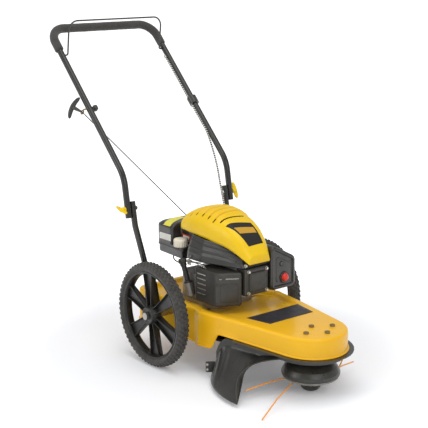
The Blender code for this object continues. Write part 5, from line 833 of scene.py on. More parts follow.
@dataclass
class Studio:
    """Pale floor, soft lamps and the camera."""

    floor_tone: str = "#F2F3F6"
    floor_reach: float = 60.0
    # The floor's glow rises from the first strength to the second between these distances from the middle, so the
    # weaker glow near the middle paints the floor darker round the model
    glow_reach: tuple[float, float] = (0.50, 1.15)
    glow_strength: tuple[float, float] = (0.12, 0.70)
    camera_place: tuple[float, float, float] = (2.8915, -2.3748, 1.3464)
    heading: float = 0.8797
    climb: float = 0.2266
    roll: float = -0.0050
    lens_mm: float = 94.69
    world_strength: float = 0.62
    # Each lamp's name, place, target, side and watts
    lamps: tuple = (("overhead_softbox", (0.6, -0.4, 3.2), (0.0, 0.0, 0.3), 2.4, 31.0),
                    ("front_softbox", (3.0, -0.9, 1.9), (0.2, 0.0, 0.3), 1.6, 19.0),
                    ("side_softbox", (-0.8, -3.2, 1.8), (0.0, 0.0, 0.4), 1.6, 21.0))

    def build_floor(self) -> None:
        """A level floor of matt white paint with a glow seen by the camera and in reflections; the glow is weaker near
        the middle, which paints the floor darker round the model and keeps the shadow deep.
        """
        reach = self.floor_reach
        mesh = bpy.data.meshes.new("studio_floor")
        mesh.from_pydata([(-reach, -reach, 0.0), (reach, -reach, 0.0), (reach, reach, 0.0), (-reach, reach, 0.0)],
                         [], [(0, 1, 2, 3)])
        floor = bpy.data.objects.new("studio_floor", mesh)
        bpy.context.scene.collection.objects.link(floor)
        material = bpy.data.materials.new("matt_white_floor")
        material.use_nodes = True
        tree = material.node_tree
        path = add_node(tree, "LightPath")
        seen = reckon(tree, "MAXIMUM", path.outputs["Is Camera Ray"], path.outputs["Is Glossy Ray"])
        away = add_node(tree, "VectorMath", {0: add_node(tree, "TexCoord").outputs["Object"]}, operation="LENGTH")
        glow_by_distance = add_node(tree, "MapRange", {0: away.outputs["Value"], 1: self.glow_reach[0], 2: self.glow_reach[1],
                                            3: self.glow_strength[0], 4: self.glow_strength[1]},
                         interpolation_type="SMOOTHSTEP")
        shader = tree.nodes["Principled BSDF"]
        for name, value in {"Base Color": linear(self.floor_tone), "Roughness": 0.9, "Specular IOR Level": 0.0,
                            "Emission Color": (1.0, 1.0, 1.0, 1.0)}.items():
            shader.inputs[name].default_value = value
        tree.links.new(reckon(tree, "MULTIPLY", seen, glow_by_distance.outputs[0]), shader.inputs["Emission Strength"])
        mesh.materials.append(material)

    def build_world(self) -> None:
        """White all round: full strength where the camera looks, less where it lights and in reflections."""
        world = bpy.data.worlds.new("studio_white")
        world.use_nodes = True
        tree = world.node_tree
        tree.nodes.clear()
        path = add_node(tree, "LightPath")
        strength = add_node(tree, "MapRange", {0: path.outputs["Is Camera Ray"], 3: self.world_strength, 4: 1.0})
        shader = add_node(tree, "Background", {"Color": (1.0, 1.0, 1.0, 1.0), "Strength": strength.outputs[0]})
        out = add_node(tree, "OutputWorld")
        tree.links.new(shader.outputs[0], out.inputs["Surface"])
        bpy.context.scene.world = world

    def add_lamp(self, name: str, place: Sequence, target: Sequence, size: float, watts: float) -> None:
        """One square softbox.

        Args:
            name: The lamp's name.
            place: Where it hangs.
            target: What it points at.
            size: Its side.
            watts: Its power.
        """
        data = bpy.data.lights.new(name, "AREA")
        data.shape = "SQUARE"
        data.size = size
        data.energy = watts
        lamp = bpy.data.objects.new(name, data)
        direction = Vector(target) - Vector(place)
        lamp.rotation_euler = direction.to_track_quat("-Z", "Y").to_euler()
        lamp.location = place
        bpy.context.scene.collection.objects.link(lamp)

    def build_camera(self) -> None:
        """The camera: axes from heading a and climb e, turned about its own line of sight by the roll."""
        a, e, roll = self.heading, self.climb, self.roll
        back = Vector((math.sin(a) * math.cos(e), -math.cos(a) * math.cos(e), math.sin(e)))
        level = Vector((math.cos(a), math.sin(a), 0.0))
        rise = back.cross(level)
        right = level * math.cos(roll) + rise * math.sin(roll)
        up = rise * math.cos(roll) - level * math.sin(roll)
        data = bpy.data.cameras.new("photo_camera")
        data.lens = self.lens_mm
        data.clip_end = 500.0
        camera = bpy.data.objects.new("photo_camera", data)
        matrix = Matrix((right, up, back)).transposed().to_4x4()
        matrix.translation = Vector(at_axle(self.camera_place))
        camera.matrix_world = matrix
        bpy.context.scene.collection.objects.link(camera)
        bpy.context.scene.camera = camera

    def build(self) -> None:
        """Sets the whole studio."""
        bpy.context.scene.view_settings.view_transform = "Standard"
        self.build_floor()
        self.build_world()
        for lamp in self.lamps:
            self.add_lamp(*lamp)
        self.build_camera()


# Flat lines


def filleted(corners: Sequence, radii: Sequence, steps: int, closed: bool = False) -> np.ndarray:
    """Corner points joined by straight runs and arcs.

    Each arc has radius r about the point at r / sin(half angle) along the corner's middle line, and turns
    evenly from one tangent point to the other.

    Args:
        corners: The corner points.
        radii: One radius for each corner, zero for a sharp one.
        steps: Steps on each arc.
        closed: Whether the last point joins the first.

    Returns:
        The line's points.
    """
    points = np.asarray(corners, float)
    count = len(points)
    pieces = []
    for i, radius in enumerate(radii):
        corner = points[i]
        if radius <= 0.0 or (not closed and i in (0, count - 1)):
            pieces.append(corner[None])
            continue
        back, ahead = unit(points[i - 1] - corner), unit(points[(i + 1) % count] - corner)
        half = math.acos(float(np.clip(back @ ahead, -1.0, 1.0))) / 2.0
        middle = corner + unit(back + ahead) * (radius / math.sin(half))
        start = corner + back * radius / math.tan(half) - middle
        end = corner + ahead * radius / math.tan(half) - middle
        sweep = math.pi - 2.0 * half
        share = np.linspace(0.0, 1.0, steps + 1)[:, None]
        pieces.append(middle + (start * np.sin((1.0 - share) * sweep) + end * np.sin(share * sweep)) / math.sin(sweep))
    return np.vstack(pieces)


def resampled(line: np.ndarray, spacing: float, closed: bool = False) -> np.ndarray:
    """The same line with its long runs divided, so that no two points stand further apart than the spacing."""
    ends = np.roll(line, -1, axis=0) if closed else line[1:]
    starts = line if closed else line[:-1]
    pieces = []
    for start, end in zip(starts, ends):
        count = max(1, math.ceil(float(np.linalg.norm(end - start)) / spacing))
        pieces.append(start + (end - start) * (np.arange(count) / count)[:, None])
    result = np.vstack(pieces)
    return result if closed else np.vstack([result, line[-1:]])


def smooth_step(low: float, high: float, value: np.ndarray) -> np.ndarray:
    """Rises from 0 at low to 1 at high as 3s^2 - 2s^3."""
    share = np.clip((value - low) / (high - low), 0.0, 1.0)
    return share * share * (3.0 - 2.0 * share)


# Wheels


@dataclass
class Wheel:
    """One wheel: knobbly tyre, moulded six-spoke wheel and the axle nut."""

    name: str
    side: float
    body: Body
    radius: float = 0.1778
    tyre_width: float = 0.0445
    track_half: float = 0.2490
    rim_radius: float = 0.1480
    rim_width: float = 0.0360
    rim_floor: float = 0.1380
    knobs_round: int = 62
    knob_rows: int = 5
    knob_height: float = 0.0042
    knob_lean: float = 0.5
    tread_share: float = 0.96
    tread_drop: float = 0.0125
    spokes: int = 6
    spoke_depth: float = 0.0190
    spoke_turn: float = math.radians(-23.0)
    spoke_widths: tuple[float, float] = (0.0120, 0.0250)
    spoke_rib: float = 0.0024
    spoke_web: float = 0.0012
    hub_radius: float = 0.0310
    nut_out: float = 0.0255
    nut_size: tuple[float, float, float] = (0.0225, 0.0068, 1.1)
    # Each ring of the sidewall: how far outside the rim, and its share of the tyre's half width
    wall: tuple = ((-0.0010, 0.70), (0.0015, 0.78), (0.0035, 0.80), (0.0065, 0.93), (0.0105, 0.985), (0.0128, 1.0))

    def place(self) -> np.ndarray:
        """Matrix that stands the wheel's own axis on Y at its place, outer side up."""
        return turn_to((0.0, self.side, 0.0), at_axle((0.0, self.side * self.track_half, self.radius)))

    def build_tyre(self) -> None:
        """The tyre: radius over turn t and section place v is the smooth casing plus a knob where both are high.

        The casing's radius falls with |v|^3.4 from the middle. Knobs stand at each crest of cos(62 t), every
        second row shifted by half a pitch, with straight sides made by clipping the cosine.
        """
        steps = self.knobs_round * 8
        turn = np.linspace(0.0, math.tau, steps, endpoint=False)[:, None]
        half = self.tyre_width / 2.0
        shoulder = np.linspace(-1.0, 1.0, 41)
        across = half * self.tread_share * np.sign(shoulder) * np.abs(shoulder) ** 0.9
        crown = self.radius - self.knob_height - self.tread_drop * np.abs(shoulder) ** 3.4
        row_place = (shoulder + 1.0) / 2.0 * self.knob_rows
        row = np.minimum(np.floor(row_place), self.knob_rows - 1)
        in_row = np.clip((0.5 - np.abs(row_place - row - 0.5)) * 5.0 - 0.35, 0.0, 1.0)
        phase = np.where(row % 2 == 0, 0.0, math.pi) + self.knob_lean * shoulder
        block = np.clip(np.cos(self.knobs_round * turn + phase[None]) * 2.2 + 0.75, 0.0, 1.0)
        knob = block * in_row[None] * self.knob_height
        tread = np.stack([crown[None] + knob, np.broadcast_to(across, (steps, len(across)))], axis=-1)
        wall = np.array(self.wall) * [1.0, half] + [self.rim_radius, 0.0]
        wall = np.broadcast_to(wall, (steps, *wall.shape))
        section = np.concatenate([wall * [1.0, -1.0], tread, wall[:, ::-1]], axis=1)
        points = turned(section[..., 0], section[..., 1], turn)
        patch = grid(points, wrap_rows=True, wrap_columns=True).moved(self.place())
        make_piece(self.name + "_knobbly_tyre", [patch], TYRE_RUBBER, self.body, [self.name + "_tyre"], crease=28.0)

    def build_wheel(self) -> None:
        """The moulded wheel: a turned channel rim, six spokes with edge ribs, and a stepped hub."""
        half, outer, floor = self.rim_width / 2.0, self.rim_radius, self.rim_floor
        rim = [(outer, half - 0.002), (outer - 0.001, half - 0.0004), (outer - 0.003, half),
               (outer - 0.0055, half - 0.0008), (outer - 0.007, half - 0.003), (floor + 0.0015, half * 0.60),
               (floor, half * 0.45), (floor, -half * 0.45), (floor + 0.0015, -half * 0.60),
               (outer - 0.007, -half + 0.003), (outer - 0.003, -half), (outer, -half + 0.002)]
        profile = np.array(rim + rim[:1])[:, :, None]
        turn = np.linspace(0.0, math.tau, 120, endpoint=False)
        radius = np.broadcast_to(profile[:, 0], (len(profile), 120))
        patches = [grid(turned(radius, profile[:, 1], turn), wrap_columns=True).moved(self.place())]
        for index in range(self.spokes):
            patches.append(self.spoke(math.tau * index / self.spokes - self.side * self.spoke_turn))
        hub = [(0.0085, 0.0238), (0.0210, 0.0238), (0.0222, 0.0246), (0.0262, 0.0246), (0.0280, 0.0236),
               (0.0290, 0.0215), (self.hub_radius, 0.0120), (self.hub_radius + 0.002, 0.0090),
               (self.hub_radius + 0.002, -0.0090), (self.hub_radius, -0.0105), (0.0275, -0.0120),
               (0.0172, -0.0190), (0.0150, -0.0250), (0.0085, -0.0250)]
        patches.append(revolve(hub, (0, 0, 0), sides=60).moved(self.place()))
        make_piece(self.name + "_six_spoke_wheel", patches, BLACK_NYLON, self.body, [self.name + "_wheel"])

    def spoke(self, angle: float) -> Patch:
        """One spoke: a channel section swept outward, widening and thinning towards the rim.

        Half width w(s) grows from the first width to the second with s^1.4, and the rib's height falls by a
        third; the section is a thin web with a narrow upstanding rib along each edge, on both faces.

        Args:
            angle: Where the spoke points.

        Returns:
            The closed patch.
        """
        share = np.linspace(0.0, 1.0, 17)
        start, end = self.hub_radius - 0.003, self.rim_floor + 0.002
        reach = start + (end - start) * share
        width = self.spoke_widths[0] + (self.spoke_widths[1] - self.spoke_widths[0]) * share**1.4
        rise = 1.0 + 0.5 * (1.0 - share) ** 1.5
        depth, rib, web = self.spoke_depth / 2.0, self.spoke_rib, self.spoke_web
        across = np.repeat([-1.0, 1.0, 1.0, -1.0], 4)
        inset = np.array([0.0, 0.0005, rib, rib + 0.0012, rib + 0.0012, rib, 0.0005, 0.0] * 2)
        level = np.array([0.92, 1.0, 1.0, web / depth, web / depth, 1.0, 1.0, 0.92])
        level = np.concatenate([level, -level]) * depth
        side = across * (width[:, None] - inset)
        height = np.where(np.abs(level) > 2.0 * web, level * rise[:, None], level)
        points = np.stack([np.broadcast_to(reach[:, None], side.shape), side, height], axis=-1)
        spin = np.array(Matrix.Rotation(angle, 4, "Z"))
        return grid(points, wrap_columns=True, caps=True).moved(spin).moved(self.place())

    def build_nut(self) -> None:
        """The flanged nut on the axle's end."""
        outer = at_axle((0.0, self.side * (self.track_half + self.nut_out), self.radius))
        patches = hex_head(outer, (0.0, self.side, 0.0), *self.nut_size)
        make_piece(self.name + "_axle_nut", patches, YELLOW_ZINC_BRIGHT, Body.CHASSIS)

    def build(self) -> None:
        """Builds the three pieces."""
        self.build_tyre()
        self.build_wheel()
        self.build_nut()


# Deck


@dataclass
class Deck:
    """The pressed yellow deck with its bare film, and the CAD nodes that hang from it."""

    top: float = 0.2120
    sheet: float = 0.0020
    shoulder: float = 0.0090
    front_skirt: float = 0.1550
    rear_skirt: float = 0.1000
    rise_start: float = 0.2100
    rise_end: float = 0.2450
    lip: float = 0.0050
    nose_slope: float = 0.0260
    lip_slope: float = 0.0400
    ring_start: float = 0.2620
    nose_x: float = 0.4900
    nose_radius: float = 0.1200
    taper: float = 0.1800
    jog_front: float = 0.1550
    jog_rear: float = 0.1200
    rear_half: float = 0.1680
    rear_x: float = -0.2150
    rear_corner: float = 0.0400
    recess_depth: float = 0.0120
    recess_slope: float = 0.0140
    recess_margin: float = 0.0380
    recess_front: float = 0.2900
    lip_bend: float = 0.0035
    corner_bend: float = 0.0100
    straight_blend: float = 0.0060
    # The film's corners: right and left at its rear end, then at its front end
    film: tuple = ((0.3085, -0.1070), (0.3085, 0.1210), (0.3970, -0.0835), (0.3970, 0.1060))

    def outline(self) -> np.ndarray:
        """The outer face of the walls seen from above, closed and finely divided."""
        lean = math.atan(self.taper)
        half = self.nose_radius / math.cos(lean)
        jog = half + self.taper * (self.nose_x - self.jog_front)
        turn = np.linspace(-QUARTER_TURN + lean, QUARTER_TURN - lean, 49)
        nose = np.stack([self.nose_x + self.nose_radius * np.cos(turn), self.nose_radius * np.sin(turn)], axis=-1)
        corners = [nose[-1], (self.jog_front, jog), (self.jog_rear, self.rear_half), (self.rear_x, self.rear_half),
                   (self.rear_x, -self.rear_half), (self.jog_rear, -self.rear_half), (self.jog_front, -jog), nose[0]]
        bend, rear = self.corner_bend, self.rear_corner
        walls = filleted(corners, [0, bend, bend, rear, rear, bend, bend, 0], 8)
        return resampled(np.vstack([nose, walls[1:-1]]), 0.012, closed=True)

    def skirt(self, x: np.ndarray) -> np.ndarray:
        """Height of the walls' lower edge, low behind, high in front and sinking a little towards the nose."""
        rise = smooth_step(self.rise_start, self.rise_end, x)
        drop = self.lip_slope * np.maximum(0.0, x - self.ring_start)
        return self.rear_skirt + (self.front_skirt - self.rear_skirt) * rise - drop

    def nose_plane(self, x: np.ndarray) -> np.ndarray:
        """Height of the flat top at x: level as far as the recess, then falling a little to the nose."""
        return self.top - self.nose_slope * np.maximum(0.0, x - self.recess_front - self.recess_slope)

    def build_deck(self) -> None:
        """The deck: the outline drawn in step by step, from the recess's floor over the shoulder to the lip.

        Every bend between two flats is a quarter arc: the recess's two edges, the shoulder and the lip.
        """
        line = self.outline()
        normal = outward(line)
        lowest = self.skirt(line[:, 0])
        rows: list[np.ndarray] = []

        def add(inset: float | np.ndarray, height: float | np.ndarray, straight: float | None = None) -> None:
            """Adds one row, cut straight across at the recess's front where asked."""
            flat = line - normal * np.broadcast_to(inset, len(line))[:, None]
            if straight is not None:
                flat = np.column_stack([-self.soft_least(-flat[:, 0], -straight), flat[:, 1]])
            rows.append(np.column_stack([flat, np.broadcast_to(height, len(line))]))

        for share in (0.0, 0.12, 0.28, 0.5, 0.72, 0.88, 1.0):
            drop = self.recess_depth * (1.0 - float(smooth_step(0.0, 1.0, np.array(share))))
            slope = self.recess_slope * share
            add(self.recess_margin - slope, self.top - drop, self.recess_front + slope)
        flat = self.nose_plane(line[:, 0])
        inner = self.shoulder + 0.006
        add(inner, self.nose_plane(line[:, 0] - normal[:, 0] * inner))
        for angle in np.linspace(0.0, QUARTER_TURN, 9):
            add(self.shoulder * (1.0 - math.sin(angle)), flat - self.shoulder * (1.0 - math.cos(angle)))
        bend = self.lip_bend
        for share in (0.35, 0.7):
            add(0.0, (flat - self.shoulder) * (1.0 - share) + (lowest + bend) * share)
        for angle in np.linspace(0.0, QUARTER_TURN, 5):
            add(-bend * (1.0 - math.cos(angle)), lowest + bend * (1.0 - math.sin(angle)))
        add(-self.lip + 0.0006, lowest)
        rows.insert(0, np.column_stack([rows[0][:, :2] * 0.7 + np.array([0.02, 0.0]) * 0.3,
                                        np.full(len(line), self.top - self.recess_depth)]))
        points = at_axle(np.array(rows))
        patch = grid(points, wrap_columns=True)
        patch.caps = [list(range(len(line)))]
        make_piece("pressed_deck", [patch], YELLOW_POWDER_COAT, Body.CHASSIS, ["deck"], sheet=self.sheet, crease=60.0)

    def build_film(self) -> None:
        """The bare charcoal film on the deck's top, between its four corners."""
        along, over = np.linspace(0.0, 1.0, 14)[:, None], np.linspace(0.0, 1.0, 20)[None]
        x, y = (spanned(values, along, over) for values in np.array(self.film).T)
        points = np.stack([x, y, self.nose_plane(x) + 0.0004], axis=-1)
        make_piece("bare_deck_film", [grid(at_axle(points))], CHARCOAL_FILM, Body.CHASSIS, sheet=0.0003)

    def soft_least(self, value: np.ndarray, limit: float) -> np.ndarray:
        """The larger of value and limit, rounded where they meet: (v + l + sqrt((v - l)^2 + k^2)) / 2."""
        return (value + limit + np.sqrt((value - limit) ** 2 + self.straight_blend**2)) / 2.0

    def build(self) -> None:
        """Builds the deck and its film, and dresses what hangs from it and the drive under it."""
        self.build_deck()
        self.build_film()
        BLACK_POLYPROPYLENE.dress("skirt_ring")
        HOUSING_CASTING.dress("spindle_housing")
        BLACK_PRESSING.dress("belt_cover")
        TURNED_STEEL.dress("spindle_pulley", "engine_pulley", "trimmer_spindle", "wheel_axle", "crankshaft")
        BELT_RUBBER.dress("drive_belt")


# Trimmer head


@dataclass
class TrimmerHead:
    """Head, retainer, the two looped lines and the bowl that it all rests on."""

    spindle_x: float = 0.4970
    head_top: float = 0.1120
    head_low: float = 0.0440
    disc_radius: float = 0.0935
    collar_radius: float = 0.0360
    bore: float = 0.0103
    slot_z: float = 0.0405
    retainer_radius: float = 0.0640
    retainer_low: float = 0.0300
    retainer_top: float = 0.0370
    ball_foot: float = 0.0130
    ball_radius: float = 0.0340
    ball_top: float = 0.0285
    post_circle: float = 0.0500
    post_radius: float = 0.0060
    # The lines hook round the first two posts
    posts: tuple = tuple(math.radians(turn) for turn in (-125.0, 55.0, -35.0, 145.0))
    line_radius: float = 0.0023
    line_play: float = 0.0007
    line_mouth: float = 0.0480
    near_tips: tuple = ((-0.0670, -0.2160, 0.0300), (0.0920, -0.2899, 0.0060))
    far_tips: tuple = ((0.0205, -0.1800, 0.0800), (0.0270, -0.2240, 0.0300))
    dome: tuple = ((0.0, 0.0), (0.13, 0.97), (0.26, 1.0), (0.42, 0.96), (0.60, 0.86), (0.74, 0.72), (0.82, 0.60))

    def middle(self) -> tuple[float, float, float]:
        """The spindle's foot on the ground."""
        return tuple(at_axle((self.spindle_x, 0.0, 0.0)))

    def build_head(self) -> None:
        """The wide disc: a rounded rim, a hollow dome with two fine steps, and the collar on top.

        The dome's radius at rise u is the disc's radius times the value read through the dome's stops.
        """
        rise = np.linspace(0.0, 0.82, 34)
        share = smooth_through([(0.0, 0.89), *self.dome[1:]], rise)
        height = self.head_low + (self.head_top - self.head_low) * rise
        radius = self.disc_radius * share + 0.0007 * np.exp(-((rise - 0.55) / 0.02) ** 2)
        collar = self.collar_radius
        profile = [(self.bore, self.head_low), (self.disc_radius * 0.74, self.head_low),
                   (self.disc_radius * 0.78, self.head_low + 0.0015), (self.disc_radius * 0.85, self.head_low)]
        profile += list(zip(radius, height))
        profile += [(collar + 0.010, height[-1] + 0.0030), (collar + 0.004, height[-1] + 0.0048),
                    (collar + 0.0005, height[-1] + 0.0075), (collar, self.head_top - 0.0012),
                    (collar - 0.0012, self.head_top), (self.bore, self.head_top)]
        make_piece("line_head_disc", [revolve(profile, self.middle(), sides=96)], SATIN_NYLON, Body.TRIMMER,
                   ["trimmer_head"])
        # A thin pale ring just proud of the lower rim, painting the rim's highlight
        edge = [(0.0800, 0.0439), (0.0836, 0.0437), (0.0862, 0.0452), (0.0888, 0.0486), (0.0906, 0.0520),
                (0.0911, 0.0526), (0.0895, 0.0520), (0.0870, 0.0484), (0.0840, 0.0450), (0.0800, 0.0446)]
        make_piece("head_rim_painted_highlight", [revolve(edge, self.middle(), sides=96)], RIM_HIGHLIGHT_PAINT, Body.TRIMMER)

    def build_retainer(self) -> None:
        """The retainer plate: a cone with a rounded rim in a lighter tone that paints its highlight, and the posts that
        the lines hook round.
        """
        rim, low, top = self.retainer_radius, self.retainer_low, self.retainer_top
        profile = [(self.bore, low), (rim * 0.70, low), (rim * 0.74, low + 0.0004), (rim * 0.96, top - 0.0036),
                   (rim * 0.99, top - 0.0024), (rim, top - 0.0013), (rim * 0.992, top - 0.0003), (rim * 0.975, top),
                   (self.bore, top)]
        patches = [revolve(profile, self.middle(), sides=96)]
        post = [(0.0, 0.0), (self.post_radius, 0.0), (self.post_radius * 0.86, 0.0065), (self.post_radius, 0.0096),
                (0.0, 0.0097)]
        for angle in self.posts:
            place = at_axle((self.spindle_x + self.post_circle * math.cos(angle),
                             self.post_circle * math.sin(angle), top - 0.003))
            patches.append(revolve(post, place, sides=28))
        # The lighter tone of this finish is a painted highlight on the rim
        make_piece("line_retainer_plate", patches, HIGHLIGHT_TONED_NYLON, Body.TRIMMER, ["line_retainer"])

    def route(self, turn: float, near: Sequence, far: Sequence) -> np.ndarray:
        """One looped line: in along one end, round its post on the inner side, and out along the other.

        Args:
            turn: Turn of the whole line about the spindle.
            near: The first tip, measured from the spindle.
            far: The second tip.

        Returns:
            The line's middle points.
        """
        near, far = np.asarray(near), np.asarray(far)
        post = np.array([math.cos(self.posts[0]), math.sin(self.posts[0]), 0.0]) * self.post_circle
        post[2] = self.slot_z
        hook = self.post_radius + self.line_radius + self.line_play
        level = np.array([1.0, 1.0, 0.0])
        away_near, away_far = unit((near - post) * level), unit((far - post) * level)
        beside_near = np.array([away_near[1], -away_near[0], 0.0]) * hook
        beside_far = np.array([-away_far[1], away_far[0], 0.0]) * hook
        first = math.atan2(beside_near[1], beside_near[0])
        sweep = (math.atan2(beside_far[1], beside_far[0]) - first) % math.tau - math.tau
        angle = first + sweep * np.linspace(0.0, 1.0, 17)
        arc = post + hook * np.stack([np.cos(angle), np.sin(angle), np.zeros(17)], axis=-1)
        ends = []
        for tip, beside, away, corner in ((near, beside_near, away_near, arc[0]), (far, beside_far, away_far, arc[-1])):
            mouth = post + beside + away * self.line_mouth
            bend = (tip + mouth) / 2.0
            bend[2] = tip[2] + (self.slot_z - tip[2]) * 0.75
            ends.append(filleted([tip, bend, mouth, corner], [0.0, 0.05, 0.05, 0.0], 8))
        whole = np.vstack([ends[0][:-1], arc, ends[1][::-1][1:]])
        spin = np.array(Matrix.Rotation(turn, 3, "Z"))
        return at_axle(whole @ spin.T + np.array([self.spindle_x, 0.0, 0.0]))

    def build_lines(self) -> None:
        """The two nylon lines, each one length looped round its post."""
        for name, turn, tips in (("near", 0.0, self.near_tips), ("far", math.pi, self.far_tips)):
            path = resampled(self.route(turn, *tips), 0.006)
            make_piece("looped_line_" + name, [tube(path, self.line_radius, 12)], ORANGE_NYLON, Body.TRIMMER,
                       ["trimmer_line_" + name])

    def build_ball(self) -> None:
        """The bowl under the head: its radius grows with sin(t)^0.9 from the flat foot, its height with 1 - cos t."""
        angle = np.linspace(0.0, QUARTER_TURN, 22)
        radius = self.ball_foot + (self.ball_radius - self.ball_foot) * np.sin(angle) ** 0.9
        height = (self.ball_top - 0.0030) * (1.0 - np.cos(angle))
        profile = [(0.0, 0.0), *zip(radius, height), (self.ball_radius, self.ball_top - 0.0012),
                   (self.ball_radius - 0.0012, self.ball_top), (0.0102, self.ball_top), (0.0102, 0.0115), (0.0, 0.0115)]
        patches = [revolve(profile, self.middle(), sides=72)]
        make_piece("support_bowl", patches, SATIN_NYLON, Body.BALL, ["support_ball"])

    def build(self) -> None:
        """Builds the head's pieces."""
        self.build_head()
        self.build_retainer()
        self.build_lines()
        self.build_ball()


# Debris shield


@dataclass
class DebrisShield:
    """The moulded sheet that hangs from the ring and flares out behind the cut circle."""

    centre_x: float = 0.5050
    start: float = 0.2420
    end: float = 0.5000
    tip: tuple = (0.4650, -0.2820, 0.0140)
    curve: tuple = (0.3375, -0.2110, 0.1090)
    rear_radius: float = 0.3360
    rear_angle: float = math.radians(-147.6)
    rear_z: float = 0.0150
    upright: float = 0.0230
    upright_share: float = 0.35
    top_pace: float = 1.55
    flare: float = 1.15
    offset: float = -0.0010
    ear_offset: float = 0.0125
    ear_end: float = 0.2620
    ear_run: float = 0.0380
    ear: tuple = ((0.2420, 0.0980), (0.2490, 0.1160), (0.2570, 0.1300), (0.2660, 0.1420), (0.2770, 0.1485))
    top_z: float = 0.1491
    turn_share: float = 0.6
    sheet: float = 0.0030
    rib_rise: float = 0.0016
    # Each rib's place along the sheet, its lean and its width
    ribs: tuple = ((0.13, 0.03, 0.018), (0.33, 0.0, 0.02))
    hinge_place: tuple = (0.2200, -0.1800, 0.0400)
    hinge_along: tuple = (0.634, 0.773, 0.0)
    hinge_size: tuple = (0.036, 0.036, 0.004)
    bolt_places: tuple = ((0.2160, -0.1930, 0.032), (0.2160, -0.1930, 0.049))
    bolt_size: tuple[float, float] = (0.0065, 0.0026)

    def wall_place(self, x: np.ndarray, distance: np.ndarray) -> tuple[np.ndarray, np.ndarray]:
        """Places on the deck's right-hand wall at x, moved outward by a distance."""
        lean = math.atan(Deck.taper)
        half = Deck.nose_radius / math.cos(lean) + Deck.taper * (Deck.nose_x - x)
        return x + math.sin(lean) * distance, -half - math.cos(lean) * distance

    def top(self, share: np.ndarray) -> np.ndarray:
        """The upper edge: a rounded ear outside the lip, then a straight run under the ring's flange."""
        x = self.start + (self.end - self.start) * share**self.top_pace
        ear = 1.0 - smooth_step(self.ear_end, self.ear_end + self.ear_run, x)
        px, py = self.wall_place(x, self.offset + (self.ear_offset - self.offset) * ear)
        stops = np.array(self.ear)
        level = self.top_z - Deck.lip_slope * np.maximum(0.0, px - Deck.ring_start)
        return np.stack([px, py, np.minimum(level, np.interp(x, stops[:, 0], stops[:, 1]))], axis=-1)

    def bottom(self, share: np.ndarray) -> np.ndarray:
        """The lower edge: an arc about the spindle to the tip, then a quadratic curve up to the ring."""
        tip, curve = np.array(self.tip), np.array(self.curve)
        s = np.clip(share / self.turn_share, 0.0, 1.0)
        flat = tip - np.array([self.centre_x, 0.0, 0.0])
        radius = self.rear_radius + (math.hypot(flat[0], flat[1]) - self.rear_radius) * s
        angle = self.rear_angle + (math.atan2(flat[1], flat[0]) - self.rear_angle) * s
        arc = np.stack([self.centre_x + radius * np.cos(angle), radius * np.sin(angle),
                        self.rear_z + (self.tip[2] - self.rear_z) * s], axis=-1)
        t = np.clip((share - self.turn_share) / (1.0 - self.turn_share), 0.0, 1.0)[:, None]
        end = self.top(np.array([1.0]))[0] + np.array([0.0, 0.0, -0.012])
        rise = tip * (1.0 - t) ** 2 + curve * (2.0 * t * (1.0 - t)) + end * t * t
        return np.where(t > 0.0, rise, arc)

    def build(self) -> None:
        """The sheet between both edges, with two long ribs, and its hinge plate with its bolts."""
        share = np.linspace(0.0, 1.0, 91)
        level = np.linspace(0.0, 1.0, 33)[:, None]
        top, bottom = self.top(share), self.bottom(share)
        upright = np.minimum(self.upright_share, self.upright / (top[:, 2] - bottom[:, 2]))
        flare = np.maximum(0.0, (level - upright) / (1.0 - upright)) ** self.flare
        points = top + (bottom - top) * np.stack([flare, flare, level + 0.0 * flare], axis=-1)
        normal = unit(np.cross(np.gradient(points, axis=0), np.gradient(points, axis=1)))
        fade = smooth_step(0.22, 0.40, level) * (1.0 - smooth_step(0.80, 0.97, level))
        rib = sum(np.exp(-((share - place - lean * level) / width) ** 2) for place, lean, width in self.ribs)
        points += normal * (self.rib_rise * fade * rib)[..., None]
        make_piece("moulded_debris_shield", [grid(at_axle(points))], BLACK_POLYPROPYLENE, Body.CHASSIS,
                   ["debris_shield"], sheet=self.sheet)
        foot = frame_matrix(self.hinge_along, (0.0, 0.0, 1.0), at_axle(self.hinge_place))
        plate = slab(rounded_outline(*self.hinge_size), 0.0040, 0.001, foot)
        out = (self.hinge_along[1], -self.hinge_along[0], 0.0)
        bolts = [patch for place in self.bolt_places for patch in hex_head(at_axle(place), out, *self.bolt_size)]
        make_piece("shield_hinge_plate", [plate], BLACK_PRESSING, Body.CHASSIS)
        make_piece("shield_hinge_bolts", bolts, ZINC_PLATE, Body.CHASSIS)


# Engine


